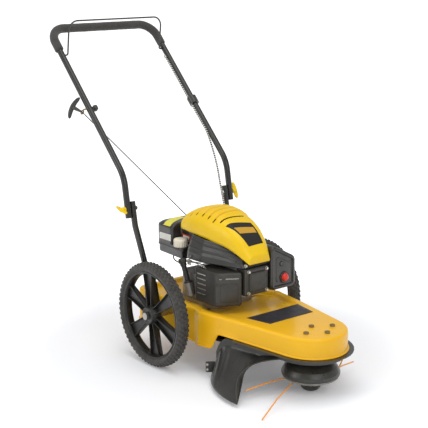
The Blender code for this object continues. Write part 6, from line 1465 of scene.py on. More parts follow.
@dataclass
class TopCover:
    """The yellow moulded cover: an arched shell with bands across its crown, vents and a bare label."""

    rear: float = -0.0600
    front: float = 0.2620
    sheet: float = 0.0022
    rib_start: float = -0.0480
    rib_end: float = 0.1330
    rib_edge: float = 0.0080
    rib_height: float = 0.0038
    rib_reach: tuple[float, float] = (0.74, 0.82)
    groove_half: float = 0.0040
    panel_half: float = 0.60
    panel_share: float = 0.85
    panel_reach: tuple[float, float] = (0.125, 0.200)
    # Each slit's place, half width, lean, the y that it leans about, and its reach across
    slits: tuple = (*((x, 0.0022, 0.25, -0.068, (-0.0745, -0.0615)) for x in COVER_GROOVES[1:]),
                    (0.1430, 0.0030, 0.10, -0.020, (-0.0640, 0.0320)))
    halves: tuple = ((-0.0600, 0.0720), (-0.0540, 0.0770), (-0.0200, 0.0850), (0.0300, 0.0904), (0.0800, 0.0896),
                     (0.1300, 0.0840), (0.1700, 0.0763), (0.2050, 0.0685), (0.2350, 0.0585), (0.2620, 0.0439))
    edges: tuple = ((-0.0600, 0.4410), (-0.0200, 0.4389), (0.0300, 0.4371), (0.0800, 0.4324), (0.1300, 0.4254),
                    (0.1700, 0.4171), (0.2050, 0.4054), (0.2350, 0.3884), (0.2620, 0.3667))
    crowns: tuple = ((-0.0600, 0.4740), (-0.0540, 0.4830), (-0.0400, 0.4930), (-0.0200, 0.5035), (0.0300, 0.5177),
                     (0.0800, 0.5188), (0.1300, 0.5080), (0.1700, 0.4896), (0.2050, 0.4652), (0.2350, 0.4332),
                     (0.2620, 0.3946))
    # The label's corners, as a place along the engine and a share across
    label: tuple = ((0.1626, -0.781), (0.1814, 0.423), (0.2421, -0.539), (0.2410, 0.601))
    # Reach along the engine and depth under the crown of the dark sheet: painted shade seen through the slits
    shade_sheet_reach: tuple[float, float] = (-0.035, 0.170)
    shade_sheet_drop: float = 0.0080

    def surface(self, x: np.ndarray, across: np.ndarray, proud: float = 0.0) -> np.ndarray:
        """A point of the cover at x and at a share across, from -1 at the right edge to 1 at the left.

        The rise is (1 - |across|^2.667)^0.325. Towards the front it turns into a level panel with a crease on
        each side. Broad bands stand up across the crown, with a narrow groove at each of the given places.

        Args:
            x: Place along the engine.
            across: Share of the half width.
            proud: Distance to stand off the surface.

        Returns:
            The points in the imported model's frame.
        """
        half, edge = smooth_through(self.halves, x), smooth_through(self.edges, x)
        crown = smooth_through(self.crowns, x)
        rise = (1.0 - np.abs(across) ** 2.667) ** 0.325
        limit = (1.0 - self.panel_half**2.667) ** 0.325
        panel = np.minimum(rise / limit, 1.0)
        front = self.panel_share * smooth_step(*self.panel_reach, x)
        rise = rise * (1.0 - front) + panel * front
        band = smooth_step(self.rib_start, self.rib_start + self.rib_edge, x)
        band = band * smooth_step(-self.rib_end, self.rib_edge - self.rib_end, -x)
        for place in COVER_GROOVES:
            band = band * (1.0 - np.exp(-(((x - place) / self.groove_half) ** 4)))
        band = band * (1.0 - smooth_step(*self.rib_reach, np.abs(across)))
        height = edge + (crown - edge) * rise + self.rib_height * band
        points = np.stack([x + 0.0 * across, half * across, height], axis=-1)
        if proud:
            normal = unit(np.cross(np.gradient(points, axis=0), np.gradient(points, axis=1)))
            points = points + normal * proud * np.sign(normal[..., 2:3])
        return at_engine(points)

    def opened(self, patch: Patch, x: np.ndarray, across: np.ndarray) -> Patch:
        """Leaves out the faces whose middle lies in a slit: |x - place - lean (y - about)| under the half width."""
        middle_x = ((x[:-1] + x[1:]) / 2.0)[:, None]
        middle_y = smooth_through(self.halves, middle_x) * ((across[:-1] + across[1:]) / 2.0)[None]
        cut = np.zeros(middle_y.shape, bool)
        for place, half, lean, about, (low, high) in self.slits:
            near = np.abs(middle_x - place - lean * (middle_y - about)) < half
            cut |= near & (middle_y > low) & (middle_y < high)
        return Patch(patch.points, patch.quads[~cut.ravel()], patch.caps, patch.flat)

    def build(self) -> None:
        """The shell, the bare banded label, and a dark sheet under the slits that paints the shade of the hollow seen
        through them.
        """
        x = np.linspace(self.rear, self.front, 290)
        angle = np.linspace(0.0, math.pi, 121)
        across = -np.sign(np.cos(angle)) * np.abs(np.cos(angle)) ** 0.75
        cover = self.opened(grid(self.surface(x[:, None], across[None]), caps=True), x, across)
        make_piece("louvred_engine_cover", [cover], GROOVE_SHADED_ABS, Body.CHASSIS, ["top_cover"], sheet=self.sheet)
        down, over = np.linspace(0.0, 1.0, 40)[:, None], np.linspace(0.0, 1.0, 40)[None]
        along, aside = (spanned(values, down, over) for values in np.array(self.label).T)
        make_piece("cover_label", [grid(self.surface(along, aside, 0.0005))], COVER_LABEL, Body.CHASSIS, sheet=0.0003)
        # A dark sheet under the slits: painted shade for the hollow behind them
        inner = np.linspace(*self.shade_sheet_reach, 40)[:, None]
        make_piece("cover_slit_shade_sheet", [grid(self.surface(inner, across[None, 6:-6], -self.shade_sheet_drop))], BLACK_PRESSING,
                   Body.CHASSIS, sheet=0.0010)


@dataclass
class BlowerHousing:
    """The black housing under the yellow cover: a stepped band with two long ridges and a flange."""

    rear: float = -0.0040
    front: float = 0.2480
    half: float = 0.1150
    front_half: float = 0.0600
    crank_x: float = 0.0550
    base_z: float = 0.3545
    flange: float = 0.7200
    sheet: float = 0.0025
    draw_in: tuple = ((0.0, 0.0), (0.30, 0.0030), (0.70, 0.0130), (1.0, 0.0190))
    ridges: tuple = ((0.78, 0.030), (0.50, 0.034))
    ridge_height: float = 0.0024
    neck_step: float = 0.0018
    corners: tuple = (0.044, 0.060, 0.015, 0.015, 0.060, 0.044)
    # The corner cut out for the air cleaner: beyond this x and y, and below this height
    opening: tuple[float, float, float] = (0.194, 0.044, 0.421)

    def plan(self) -> np.ndarray:
        """The housing seen from above."""
        waist = self.crank_x + 0.045
        corners = [(self.rear, -self.half), (waist, -self.half), (self.front, -self.front_half),
                   (self.front, self.front_half), (waist, self.half), (self.rear, self.half)]
        return resampled(filleted(corners, self.corners, 12, closed=True), 0.006, closed=True)

    def build(self) -> None:
        """The band: at share u of its height it is drawn in by d(u), less its ridges, over the turned-in flange."""
        line = self.plan()
        normal = outward(line)
        middle = np.array([(self.rear + self.front) / 2.0, 0.0])
        rows = [np.column_stack([line * self.flange + middle * (1.0 - self.flange), np.full(len(line), self.base_z)])]
        for share in np.concatenate([[0.0, 0.012, 0.03], np.linspace(0.06, 0.97, 60), [0.985, 1.0]]):
            inset = float(np.interp(share, *np.array(self.draw_in).T))
            inset += 0.0020 * max(0.0, 1.0 - share / 0.03) ** 2
            for ridge, width in self.ridges:
                inset -= self.ridge_height * math.exp(-((share - ridge) / width) ** 4)
            inset += self.neck_step * float(smooth_step(0.90, 0.93, np.array(share)))
            place = line - normal * inset
            top = smooth_through(TopCover.edges, place[:, 0]) - 0.0009
            rows.append(np.column_stack([place, self.base_z + (top - self.base_z) * share]))
        patch = grid(at_engine(np.array(rows)), wrap_columns=True)
        x, y, z = patch.points[patch.quads].mean(axis=1).T
        gone = (x > self.opening[0] + AXLE_X) & (y > self.opening[1]) & (z < self.opening[2])
        patch.quads = patch.quads[~gone]
        make_piece("stepped_blower_housing", [patch], BLACK_POLYPROPYLENE, Body.CHASSIS, ["blower_housing"],
                   sheet=self.sheet)


@dataclass
class FuelTank:
    """The tank behind the housing, with its seam, its notch for the filler, the cap and bare labels."""

    front: float = -0.0183
    rear: float = -0.1880
    half: float = 0.1000
    rear_share: float = 0.85
    high: float = 0.4370
    crown_front: float = -0.0640
    notch: tuple = (-0.0840, -0.0520)
    cap_place: tuple = (-0.0490, -0.0900, 0.3763)
    cap_radius: float = 0.0250
    bar_rise: float = 0.0255
    # The wall and the crown: the plan's scale and the height of each ring
    wall: tuple = ((0.955, 0.3380), (0.966, 0.3384), (0.974, 0.3400), (0.976, 0.3430), (0.976, 0.3605),
                   (0.982, 0.3622), (1.004, 0.3628), (1.009, 0.3640), (1.009, 0.3662), (1.004, 0.3674),
                   (1.000, 0.3682), (1.000, 0.3850), (1.000, 0.4050), (1.000, 0.4260), (0.9975, 0.4305),
                   (0.992, 0.4333), (0.982, 0.4355), (0.968, 0.4367))
    crown: tuple = ((0.950, 0.4369), (0.940, 0.4380), (0.920, 0.4402), (0.880, 0.4426), (0.820, 0.4448),
                    (0.720, 0.4470), (0.600, 0.4486), (0.450, 0.4497), (0.300, 0.4502), (0.150, 0.4504))
    # The cap's radius share, height and flute share, from the foot to the top
    cap_levels: tuple = ((0.0, 0.0003, 0.0), (0.86, 0.0003, 0.0), (0.985, 0.0006, 0.4), (1.0, 0.0020, 1.0),
                         (1.0, 0.0200, 1.0), (0.99, 0.0225, 0.7), (0.955, 0.0248, 0.2), (0.88, 0.0265, 0.0),
                         (0.76, 0.0274, 0.0), (0.55, 0.0279, 0.0), (0.0, 0.0280, 0.0))
    neck: tuple = ((0.0, -0.004), (0.0200, -0.004), (0.0200, 0.0), (0.0175, 0.0018), (0.0148, 0.0022),
                   (0.0148, 0.0118), (0.0, 0.0118))
    # The white label's ends along x, with its top and its foot at each of them
    white_label: tuple = ((-0.1610, 0.4075, 0.3850), (-0.0885, 0.4100, 0.3872))
    # The yellow film's corners seen from above, and the red tag's on the notch's wall
    film: tuple = ((-0.1380, -0.0990), (-0.1630, -0.0090), (-0.0980, -0.0990), (-0.1290, -0.0090))
    tag: tuple = ((-0.0800, -0.0612, 0.4120), (-0.0310, -0.0612, 0.4095), (-0.0800, -0.0612, 0.3840),
                  (-0.0310, -0.0612, 0.3835))
    tag_centre_share: float = 0.70

    def half_at(self, x: float | np.ndarray) -> float | np.ndarray:
        """Half the tank's width at x: it narrows evenly towards the rear."""
        return self.half * (self.rear_share + (1.0 - self.rear_share) * (x - self.rear) / (self.front - self.rear))

    def stage(self, corners: Sequence, radii: Sequence, levels: Sequence) -> Patch:
        """A stack of outlines: at each height the plan is scaled by s about the tank's middle.

        Args:
            corners: The plan's corners.
            radii: Their radii.
            levels: Pairs of scale and height.

        Returns:
            The closed patch.
        """
        line = resampled(filleted(corners, radii, 10, closed=True), 0.008, closed=True)
        middle = np.array([(self.front + self.rear) / 2.0, 0.0])
        rows = []
        for share, height in levels:
            place = middle + (line - middle) * share
            if height > self.high - 0.0001:
                place[:, 0] = np.minimum(place[:, 0], self.crown_front - (height - self.high) * 0.3)
            rows.append(np.column_stack([place, np.full(len(line), height)]))
        return grid(at_engine(np.array(rows)), wrap_columns=True, caps=True)

    def build_tank(self) -> None:
        """The tank's low part over its whole plan, the high part round the filler's notch, and the neck."""
        front, rear, half, narrow = self.front, self.rear, self.half, self.half * self.rear_share
        behind, beside = self.notch
        low = self.stage([(front, -half), (front, half), (rear, narrow), (rear, -narrow)], [0.006, 0.006, 0.03, 0.03],
                         [level for level in self.wall if level[1] < 0.37] + [(1.0, 0.376)])
        high = self.stage([(front, beside), (front, half), (rear, narrow), (rear, -narrow),
                           (behind, -self.half_at(behind)), (behind, beside)],
                          [0.004, 0.006, 0.03, 0.03, 0.010, 0.008],
                          [(1.0, 0.3755)] + [level for level in self.wall if level[1] > 0.38] + list(self.crown))
        make_piece("moulded_fuel_tank", [low, high], BLACK_POLYPROPYLENE, Body.CHASSIS, ["fuel_tank"])
        foot = at_axle(self.cap_place) - [0, 0, 0.0008]
        make_piece("filler_neck", [revolve(self.neck, foot)], BLACK_POLYPROPYLENE, Body.CHASSIS)

    def build_cap(self) -> None:
        """The cap: a cup with eighteen narrow flutes round its side, and a raised bar across its top."""
        place = at_axle(self.cap_place)
        cup = fluted(self.cap_levels, self.cap_radius, 0.0011, 9.0, 8, 216)
        cup = cup.moved(frame_matrix((1, 0, 0), (0, 1, 0), place))
        bar = slab(rounded_outline(0.034, 0.009, 0.004), 0.0030, 0.001,
                   frame_matrix((0.8, 0.6, 0), (-0.6, 0.8, 0), place + [0, 0, self.bar_rise]))
        make_piece("fluted_fuel_cap", [cup, bar], CREAM_NYLON, Body.FUEL, ["fuel_cap"])

    def label(self, name: str, corners: Sequence, finish: Finish) -> None:
        """A thin bare film between four corners.

        Args:
            name: The piece's name.
            corners: Its corners a, b, c and d in the axle frame.
            finish: Its material.
        """
        u, v = np.linspace(0.0, 1.0, 12)[:, None, None], np.linspace(0.0, 1.0, 12)[None, :, None]
        points = spanned([np.asarray(corner, float) for corner in corners], u, v)
        make_piece(name, [grid(at_axle(points))], finish, Body.CHASSIS, sheet=0.0004)

    def build_labels(self) -> None:
        """The bare films: white on the side, pale yellow draped over the crown, a red-edged tag by the filler."""
        ends = [(x, ENGINE_Y - self.half_at(x) - 0.0006, top, foot) for x, top, foot in self.white_label]
        corners = [(x, y, top) for x, y, top, _ in ends] + [(x, y, foot) for x, y, _, foot in ends]
        self.label("bare_white_label", corners, WHITE_FILM)
        u, v = np.linspace(0.0, 1.0, 16)[:, None], np.linspace(0.0, 1.0, 24)[None]
        x, y = (spanned(values, u, v) for values in np.array(self.film).T)
        behind = ((self.front + self.rear) / 2.0 - x) * 2.0 / (self.front - self.rear)
        share = np.maximum(np.abs(y - ENGINE_Y) / self.half_at(x), behind)
        stops = np.array(self.crown)[::-1]
        film = np.stack([x, y, np.interp(share, stops[:, 0], stops[:, 1]) + 0.0009], axis=-1)
        make_piece("bare_yellow_film", [grid(at_axle(film))], YELLOW_FILM, Body.CHASSIS, sheet=0.0004)
        self.label("bare_red_tag", self.tag, RED_FILM)
        middle = np.mean(self.tag, axis=0)
        inner = middle + (np.array(self.tag) - middle) * self.tag_centre_share + [0, -0.0005, 0]
        self.label("bare_tag_centre", inner, WHITE_FILM)

    def build(self) -> None:
        """Builds tank, cap and films."""
        self.build_tank()
        self.build_cap()
        self.build_labels()


@dataclass
class AirCleaner:
    """Base, stepped cover with its frame and raised panel, and the red primer bulb."""

    base_rear: float = 0.1950
    split: float = 0.2200
    front: float = 0.2620
    corners: tuple = ((0.045, 0.260), (0.155, 0.260), (0.155, 0.362), (0.045, 0.420))
    radii: tuple = (0.016, 0.018, 0.022, 0.016)
    base_levels: tuple = ((0.004, 0.0), (0.003, 0.001), (0.003, 0.0180), (0.0012, 0.0200), (0.0012, 0.0247))
    # The cover's seam from its foot, and its frame from its front, as insets and levels
    seam_levels: tuple = ((0.0012, 0.0), (0.0, 0.0012), (0.0, 0.0140), (0.0008, 0.0150), (0.0008, 0.0162),
                          (0.0, 0.0172))
    face_levels: tuple = ((0.0, -0.0080), (0.0010, -0.0045), (0.0032, -0.0018), (0.0060, -0.0004), (0.0080, 0.0),
                          (0.0105, 0.0), (0.0118, -0.0008), (0.0128, -0.0042), (0.0138, -0.0050))
    panel_place: tuple[float, float] = (0.100, 0.322)
    panel_share: float = 0.58
    panel_levels: tuple = ((0.0, 0.0), (0.0, 0.0016), (0.0012, 0.0030), (0.0030, 0.0034))
    # The collar round the bulb: how far outside the bulb's radius, and its height
    collar: tuple = ((0.0010, 0.0), (0.0065, 0.0), (0.0055, 0.0058), (0.0035, 0.0070), (0.0010, 0.0066))
    boss: tuple = ((0.0, 0.0), (0.0090, 0.0), (0.0090, 0.0035), (0.0078, 0.0046), (0.0060, 0.0040), (0.0, 0.0040))
    boss_place: tuple[float, float] = (0.0930, 0.3460)
    primer_place: tuple[float, float] = (0.1050, 0.2980)
    primer_radius: float = 0.0145

    def outline(self) -> np.ndarray:
        """The cleaner's outline across the machine: a rounded box whose top slopes down and out."""
        return resampled(filleted(self.corners, self.radii, 10, closed=True), 0.010, closed=True)

    def standing(self, x: float) -> np.ndarray:
        """A matrix that stands a flat outline across the machine at x, rising forward."""
        return frame_matrix((0.0, 1.0, 0.0), (0.0, 0.0, 1.0), at_axle((x, 0.0, 0.0)))

    def facing(self, profile: Sequence, sink: float, place: tuple[float, float], sides: int) -> Patch:
        """A turned form that looks forward, its foot sunk behind the cover's front at a place across."""
        return revolve(profile, at_axle((self.front - sink, *place)), (1, 0, 0), sides)

    def build(self) -> None:
        """Builds base, cover, round boss and bulb."""
        outline, depth = self.outline(), self.front - self.split
        base = stepped(outline, self.base_levels, self.standing(self.base_rear))
        make_piece("air_cleaner_back", [base], BLACK_POLYPROPYLENE, Body.CHASSIS, ["air_cleaner_base"])
        levels = [*self.seam_levels, *((inset, depth + level) for inset, level in self.face_levels)]
        face = stepped(outline, levels, self.standing(self.split))
        inner = np.array(self.panel_place) + (outline - outline.mean(axis=0)) * self.panel_share
        panel = stepped(inner, self.panel_levels, self.standing(self.front - 0.0062))
        collar = [(self.primer_radius + out, level) for out, level in self.collar]
        forms = [face, panel, self.facing(collar, 0.0060, self.primer_place, 48),
                 self.facing(self.boss, 0.0040, self.boss_place, 36)]
        make_piece("air_cleaner_shell", forms, BLACK_POLYPROPYLENE, Body.CHASSIS, ["air_cleaner_cover"])
        angle = np.linspace(0.0, QUARTER_TURN, 14)
        dome = np.stack([self.primer_radius * np.cos(angle) ** 0.7, 0.0075 + 0.0105 * np.sin(angle)], axis=-1)
        profile = [(0.0, 0.0), (self.primer_radius, 0.0), *dome.tolist()]
        make_piece("primer_dome", [self.facing(profile, 0.0080, self.primer_place, 48)], RED_SILICONE, Body.PRIMER,
                   ["primer_bulb"])


@dataclass
class Engine:
    """The engine's metal, its exhaust guard, oil filler and small fittings."""

    guard_corner: tuple[float, float] = (0.1950, -0.1390)
    guard_tip: tuple[float, float] = (0.2410, -0.0640)
    shield_place: tuple = (0.1380, -0.1344, 0.2860)
    foil: tuple[float, float] = (0.0008, 0.0002)
    # Each screw's share along the guard's slanting front, and its height
    screws: tuple = ((0.06, 0.236), (0.84, 0.236), (0.06, 0.300))
    oil_places: tuple = ((0.0260, -0.1190, 0.2700), (0.0200, -0.1220, 0.2950), (0.0080, -0.1260, 0.3350))
    oil_collar: tuple = ((0.0092, 0.0), (0.0150, 0.0), (0.0150, 0.0040), (0.0125, 0.0060), (0.0092, 0.0062))
    oil_neck: tuple = ((0.0088, -0.0100), (0.0112, -0.0095), (0.0112, -0.0006), (0.0088, -0.0003))
    oil_cap: tuple = ((0.0, 0.0004, 0.0), (0.95, 0.0004, 0.5), (1.0, 0.0020, 1.0), (1.0, 0.0110, 1.0),
                      (0.93, 0.0145, 0.5), (0.78, 0.0160, 0.0), (0.0, 0.0160, 0.0))
    # Rows of bolt heads: x, direction, size and the places across
    bolt_rows: tuple = ((0.2521, (1, 0, 0), (0.0095, 0.0050),
                         ((-0.047, 0.268), (0.031, 0.268), (-0.047, 0.341), (0.031, 0.341))),
                        (0.2465, (1, 0, 0.15), (0.0100, 0.0055), ((-0.056, 0.362), (0.038, 0.370))))
    link: tuple = ((0.020, -0.120, 0.3500), (0.050, -0.1255, 0.3535), (0.084, -0.1285, 0.3490),
                   (0.096, -0.1290, 0.3480))
    rod: tuple = ((0.030, -0.1250, 0.3440), (0.046, -0.1262, 0.3600), (0.050, -0.1250, 0.3700))
    arm_place: tuple = (0.0560, -0.1170, 0.3450)
    upright_place: tuple = (0.0400, -0.1235, 0.3440)
    hose: tuple = ((-0.0880, -0.0900, 0.3400), (-0.0760, -0.1020, 0.3330), (-0.0580, -0.1060, 0.3260),
                   (-0.0360, -0.1050, 0.3235), (-0.0180, -0.0980, 0.3290), (-0.0060, -0.0850, 0.3370))
    lead: tuple = ((0.198, 0.100, 0.2505), (0.198, 0.112, 0.2500), (0.190, 0.120, 0.2560), (0.172, 0.118, 0.2720),
                   (0.150, 0.108, 0.2900), (0.120, 0.096, 0.3200))

    def build_guard(self) -> None:
        """The bright heat shield behind the guard's openings, its raised panel and its screws."""
        corner, tip = np.array([*self.guard_corner, 0.0]), np.array([*self.guard_tip, 0.0])
        along = unit(tip - corner)
        inward = np.array([-along[1], along[0], 0.0])

        def front(run: float, sink: float, z: float) -> np.ndarray:
            """A place on the slanting front: a run from its corner, a depth behind it and a height."""
            return at_axle(corner + along * run + inward * sink) + [0, 0, z]

        wall = frame_matrix((1, 0, 0), (0, 0, 1), at_axle(self.shield_place))
        bright = [slab(rounded_outline(0.094, 0.090, 0.004), *self.foil, wall),
                  slab(rounded_outline(0.070, 0.060, 0.004), *self.foil,
                       frame_matrix(along, (0, 0, 1), front(0.045, 0.0052, 0.2990)))]
        make_piece("muffler_heat_shield", bright, HEAT_SHIELD, Body.CHASSIS)
        heads = [patch for share, z in self.screws
                 for patch in hex_head(front(0.088 * share, -0.0002, z), -inward, 0.0070, 0.0026)]
        make_piece("guard_screws", heads, BLACK_PRESSING, Body.CHASSIS)
        raised = slab(rounded_outline(0.060, 0.062, 0.008), 0.0016, 0.0012,
                      frame_matrix(along, (0, 0, 1), front(0.045, -0.0004, 0.2720)))
        make_piece("guard_raised_panel", [raised], BLACK_PRESSING, Body.CHASSIS)

    def build_oil_filler(self) -> None:
        """The dipstick tube with its foot flange, and the ribbed cap that turns on it."""
        route = at_axle(self.oil_places)
        path = resampled(filleted(route, [0.0, 0.03, 0.0], 10), 0.004)
        rise = unit(path[-1] - path[-2])
        forms = [tube(path, 0.0090, 28), revolve(self.oil_collar, path[0], unit(path[1] - path[0]), 36),
                 revolve(self.oil_neck, path[-1], rise, 36)]
        make_piece("dipstick_tube", forms, BLACK_POLYPROPYLENE, Body.CHASSIS, ["oil_filler_tube"])
        cup = fluted(self.oil_cap, 0.0140, 0.0010, 6.0, 4, 96).moved(turn_to(rise, route[-1]))
        make_piece("ribbed_oil_cap", [cup], BLACK_POLYPROPYLENE, Body.OIL, ["oil_cap"])

    def build_fittings(self) -> None:
        """Bolts of the valve cover, the governor's arm and link, the fuel hose and the plug lead."""
        heads = [patch for x, axis, size, places in self.bolt_rows for place in places
                 for patch in hex_head(at_axle((x, *place)), axis, *size)]
        make_piece("engine_bolt_heads", heads, ZINC_PLATE, Body.CHASSIS)
        rods = [tube(at_axle(smooth_path(self.link, 8)), 0.0011, 10), tube(at_axle(self.rod), 0.0014, 10)]
        make_piece("governor_links", rods, ZINC_PLATE, Body.CHASSIS)
        arm = frame_matrix((1, 0, 0.08), (0, 1, 0), at_axle(self.arm_place))
        upright = frame_matrix((1, 0, 0), (0, 0, 1), at_axle(self.upright_place))
        plates = [slab(rounded_outline(0.066, 0.014, 0.004), 0.0016, 0.0004, arm),
                  slab(rounded_outline(0.020, 0.018, 0.003), 0.0016, 0.0004, upright)]
        make_piece("governor_bracket", plates, ZINC_PLATE, Body.CHASSIS)
        for name, stops, radius in (("fuel_hose", self.hose, 0.0022), ("plug_lead", self.lead, 0.0030)):
            make_piece(name, [tube(at_axle(smooth_path(stops, 10)), radius, 14)], PVC_JACKET, Body.CHASSIS)

    def build(self) -> None:
        """Dresses the engine's nodes and builds its finer pieces."""
        BLACK_POLYPROPYLENE.dress("recoil_reel")
        DIE_CAST_ALUMINIUM.dress("crankcase", "cylinder_head", "carburettor", "flywheel")
        BLACK_PRESSING.dress("muffler_guard", "valve_cover")
        ALUMINISED_SHEET.dress("muffler")
        ZINC_PLATE.dress("governor_spring", "brake_bracket", "brake_lever")
        PINK_SILICONE.dress("plug_boot")
        self.build_guard()
        self.build_oil_filler()
        self.build_fittings()


# Handle


@dataclass
class Handle:
    """Upper and lower tubes, grip, knobs, bail, guide, rope and cable."""

    half: float = 0.2267
    upper_radius: float = 0.0110
    lower_radius: float = 0.0105
    foot_half: float = 0.1821
    corner_radius: float = 0.0600
    bend_radius: float = 0.1200
    # Places in the side view, as x and height, from the grip down to the feet
    top: tuple = (-0.6293, 1.0881)
    bend: tuple = (-0.1825, 0.6164)
    pivot: tuple = (-0.1641, 0.5068)
    knee: tuple = (-0.1540, 0.4480)
    shin: tuple = (-0.1240, 0.2950)
    foot: tuple = (-0.1020, 0.1700)
    upper_end: float = 0.4760
    lower_end: float = 0.5300
    foot_bolts: tuple[float, float] = (0.150, 0.235)
    grip_radius: float = 0.0157
    grip_leg: float = 0.1000
    bail_radius: float = 0.0029
    bail_inset: float = 0.0237
    bail_share: float = 0.8133
    bail_top: tuple = (0.0993, 0.0319)
    cable_radius: float = 0.0025
    cable_extra: float = 0.0009
    cable_shares: tuple = (0.735, 0.66, 0.58, 0.50, 0.42, 0.34, 0.27, 0.21)
    # The cable's free stops: x, its share of the way inward, and the height
    cable_free: tuple = ((-0.2350, 0.080, 0.6600), (-0.1900, 0.237, 0.6000), (-0.1400, 0.499, 0.5350),
                         (-0.0800, 0.803, 0.4700))
    cable_end: tuple = (0.0000, 0.1172, 0.4040)
    rope_radius: float = 0.0018
    rope_port: tuple = (-0.0620, -0.0470, 0.4700)
    bush: tuple = ((0.0024, -0.0020), (0.0062, -0.0012), (0.0066, 0.0004), (0.0058, 0.0016), (0.0038, 0.0020),
                   (0.0024, 0.0014))
    guide_wire: float = 0.0025
    guide_share: float = 0.4450
    guide_rise: float = -0.0165
    guide_out: float = 0.0215
    guide_loop: float = 0.0065
    guide_inside: float = 0.0160
    # The clamp knob's radius, height and lobe share, from the foot to the top
    clamp: tuple = ((0.0066, 0.0, 0.0), (0.0066, 0.0045, 0.0), (0.0095, 0.0070, 0.7), (0.0106, 0.0085, 1.0),
                    (0.0108, 0.0165, 1.0), (0.0098, 0.0188, 0.8), (0.0070, 0.0200, 0.4), (0.0, 0.0200, 0.0))
    starter_axis: tuple = (-0.8800, -0.3300, 0.3500)
    starter_lean: tuple = (0.0, -0.36, -0.93)
    starter_reach: float = 0.0450
    starter_half: float = 0.0410
    starter_bow: float = 0.0100
    starter_radius: float = 0.0085
    starter_stem: tuple = ((0.0, 0.0), (0.0030, 0.0), (0.0042, 0.0015), (0.0046, 0.0100), (0.0062, 0.0240),
                           (0.0075, 0.0420), (0.0, 0.0425))
    hub: tuple = ((0.0034, 0.0), (0.0088, 0.0), (0.0090, 0.0012), (0.0090, 0.0130), (0.0080, 0.0175),
                  (0.0062, 0.0198), (0.0, 0.0200))
    wing_half: float = 0.0305
    wing_tall: float = 0.0090
    wing_thick: tuple[float, float] = (0.0026, 0.0016)
    wing_rise: float = 0.0142

    def line_x(self, z: float) -> float:
        """X of the handle's lower stretch, straight from the bend through the pivot."""
        return self.pivot[0] + (self.bend[0] - self.pivot[0]) * (z - self.pivot[1]) / (self.bend[1] - self.pivot[1])

    def foot_x(self, z: float) -> float:
        """X of the lower tubes' last stretch, straight from the shin to the foot."""
        return self.foot[0] + (self.shin[0] - self.foot[0]) * (z - self.foot[1]) / (self.shin[1] - self.foot[1])

    def leg(self, share: float, side: float) -> np.ndarray:
        """A point on an upper leg's middle line, from its bend at 0 to its top corner at 1."""
        bend, top = np.array(self.bend), np.array(self.top)
        x, z = bend + (top - bend) * share
        return np.array([x, side * self.half, z])

    def leg_direction(self) -> np.ndarray:
        """Unit direction up the upper legs."""
        return unit(np.array([self.top[0] - self.bend[0], 0.0, self.top[1] - self.bend[1]]))

    def leg_normal(self) -> np.ndarray:
        """Square to the upper leg, forward and up."""
        along = self.leg_direction()
        return np.array([along[2], 0.0, -along[0]])

    def build_tubes(self) -> None:
        """The bent upper tube and both lower tubes, each one radius along its filleted line."""
        sides = [(self.line_x(self.upper_end), self.upper_end), self.bend, self.top]
        corners = [(x, -self.half, z) for x, z in sides] + [(x, self.half, z) for x, z in sides[::-1]]
        radii = [0.0, self.bend_radius, self.corner_radius, self.corner_radius, self.bend_radius, 0.0]
        path = resampled(at_axle(filleted(corners, radii, 14)), 0.030)
        make_piece("bent_upper_tube", [tube(path, self.upper_radius, 28, (0.4, 0.2, 0.9))], BLACK_ENAMEL, Body.HANDLE,
                   ["upper_handle"])
        for name, side in (("right", -1.0), ("left", 1.0)):
            self.build_lower_tube(name, side)

    def build_lower_tube(self, name: str, side: float) -> None:
        """One lower tube, which steps out from its foot to the pivot, with the nut and the foot's two bolts.

        Args:
            name: Right or left.
            side: Minus one or one.
        """
        inner = self.half - self.upper_radius - self.lower_radius - 0.0002
        foot, high = side * self.foot_half, side * inner
        corners = [(self.line_x(self.lower_end), high, self.lower_end), (self.knee[0], high, self.knee[1]),
                   (self.shin[0], foot, self.shin[1]), (self.foot[0], foot, self.foot[1])]
        path = resampled(at_axle(filleted(corners, [0.0, 0.15, 0.20, 0.0], 12)), 0.020)
        make_piece(name + "_lower_tube", [tube(path, self.lower_radius, 28, (0.9, 0.1, 0.2))], BLACK_ENAMEL,
                   Body.CHASSIS, [name + "_lower_handle"])
        seat = at_axle((self.pivot[0], side * (inner - self.lower_radius), self.pivot[1]))
        make_piece(name + "_pivot_nut", hex_head(seat, (0.0, -side, 0.0), 0.0130, 0.0050), ZINC_PLATE, Body.CHASSIS)
        outside = side * (self.foot_half + self.lower_radius)
        bolts = [patch for z in self.foot_bolts
                 for patch in hex_head(at_axle((self.foot_x(z), outside, z)), (0.0, side, 0.0), 0.0125, 0.005)]
        make_piece(name + "_foot_bolts", bolts, ZINC_PLATE, Body.CHASSIS)

    def build_grip(self) -> None:
        """The foam sleeve: its radius swells to the full one within 4 mm of each end and wavers a little.

        The waver is the sum of three sines of the distance along the sleeve, 0.36 mm in all.
        """
        down = -self.leg_direction() * self.grip_leg
        top, across = np.array([self.top[0], 0.0, self.top[1]]), np.array([0.0, self.half, 0.0])
        corners = [top - across + down, top - across, top + across, top + across + down]
        path = resampled(at_axle(filleted(corners, [0.0, self.corner_radius, self.corner_radius, 0.0], 24)), 0.004)
        run = run_along(path)
        swell = np.sqrt(1.0 - (1.0 - np.clip(np.minimum(run, run[-1] - run) / 0.0040, 0.0, 1.0)) ** 2)
        waver = 0.00018 * np.sin(run * 61.0) + 0.00012 * np.sin(run * 143.0 + 1.0) + 0.00006 * np.sin(run * 310.0)
        bore = self.upper_radius + 0.0006
        radius = bore + (self.grip_radius - bore) * (0.35 + 0.65 * swell) + waver * swell
        make_piece("foam_grip_sleeve", [tube(path, radius, 36, (0.4, 0.2, 0.9))], FOAM_SLEEVE, Body.HANDLE,
                   ["handle_grip"])

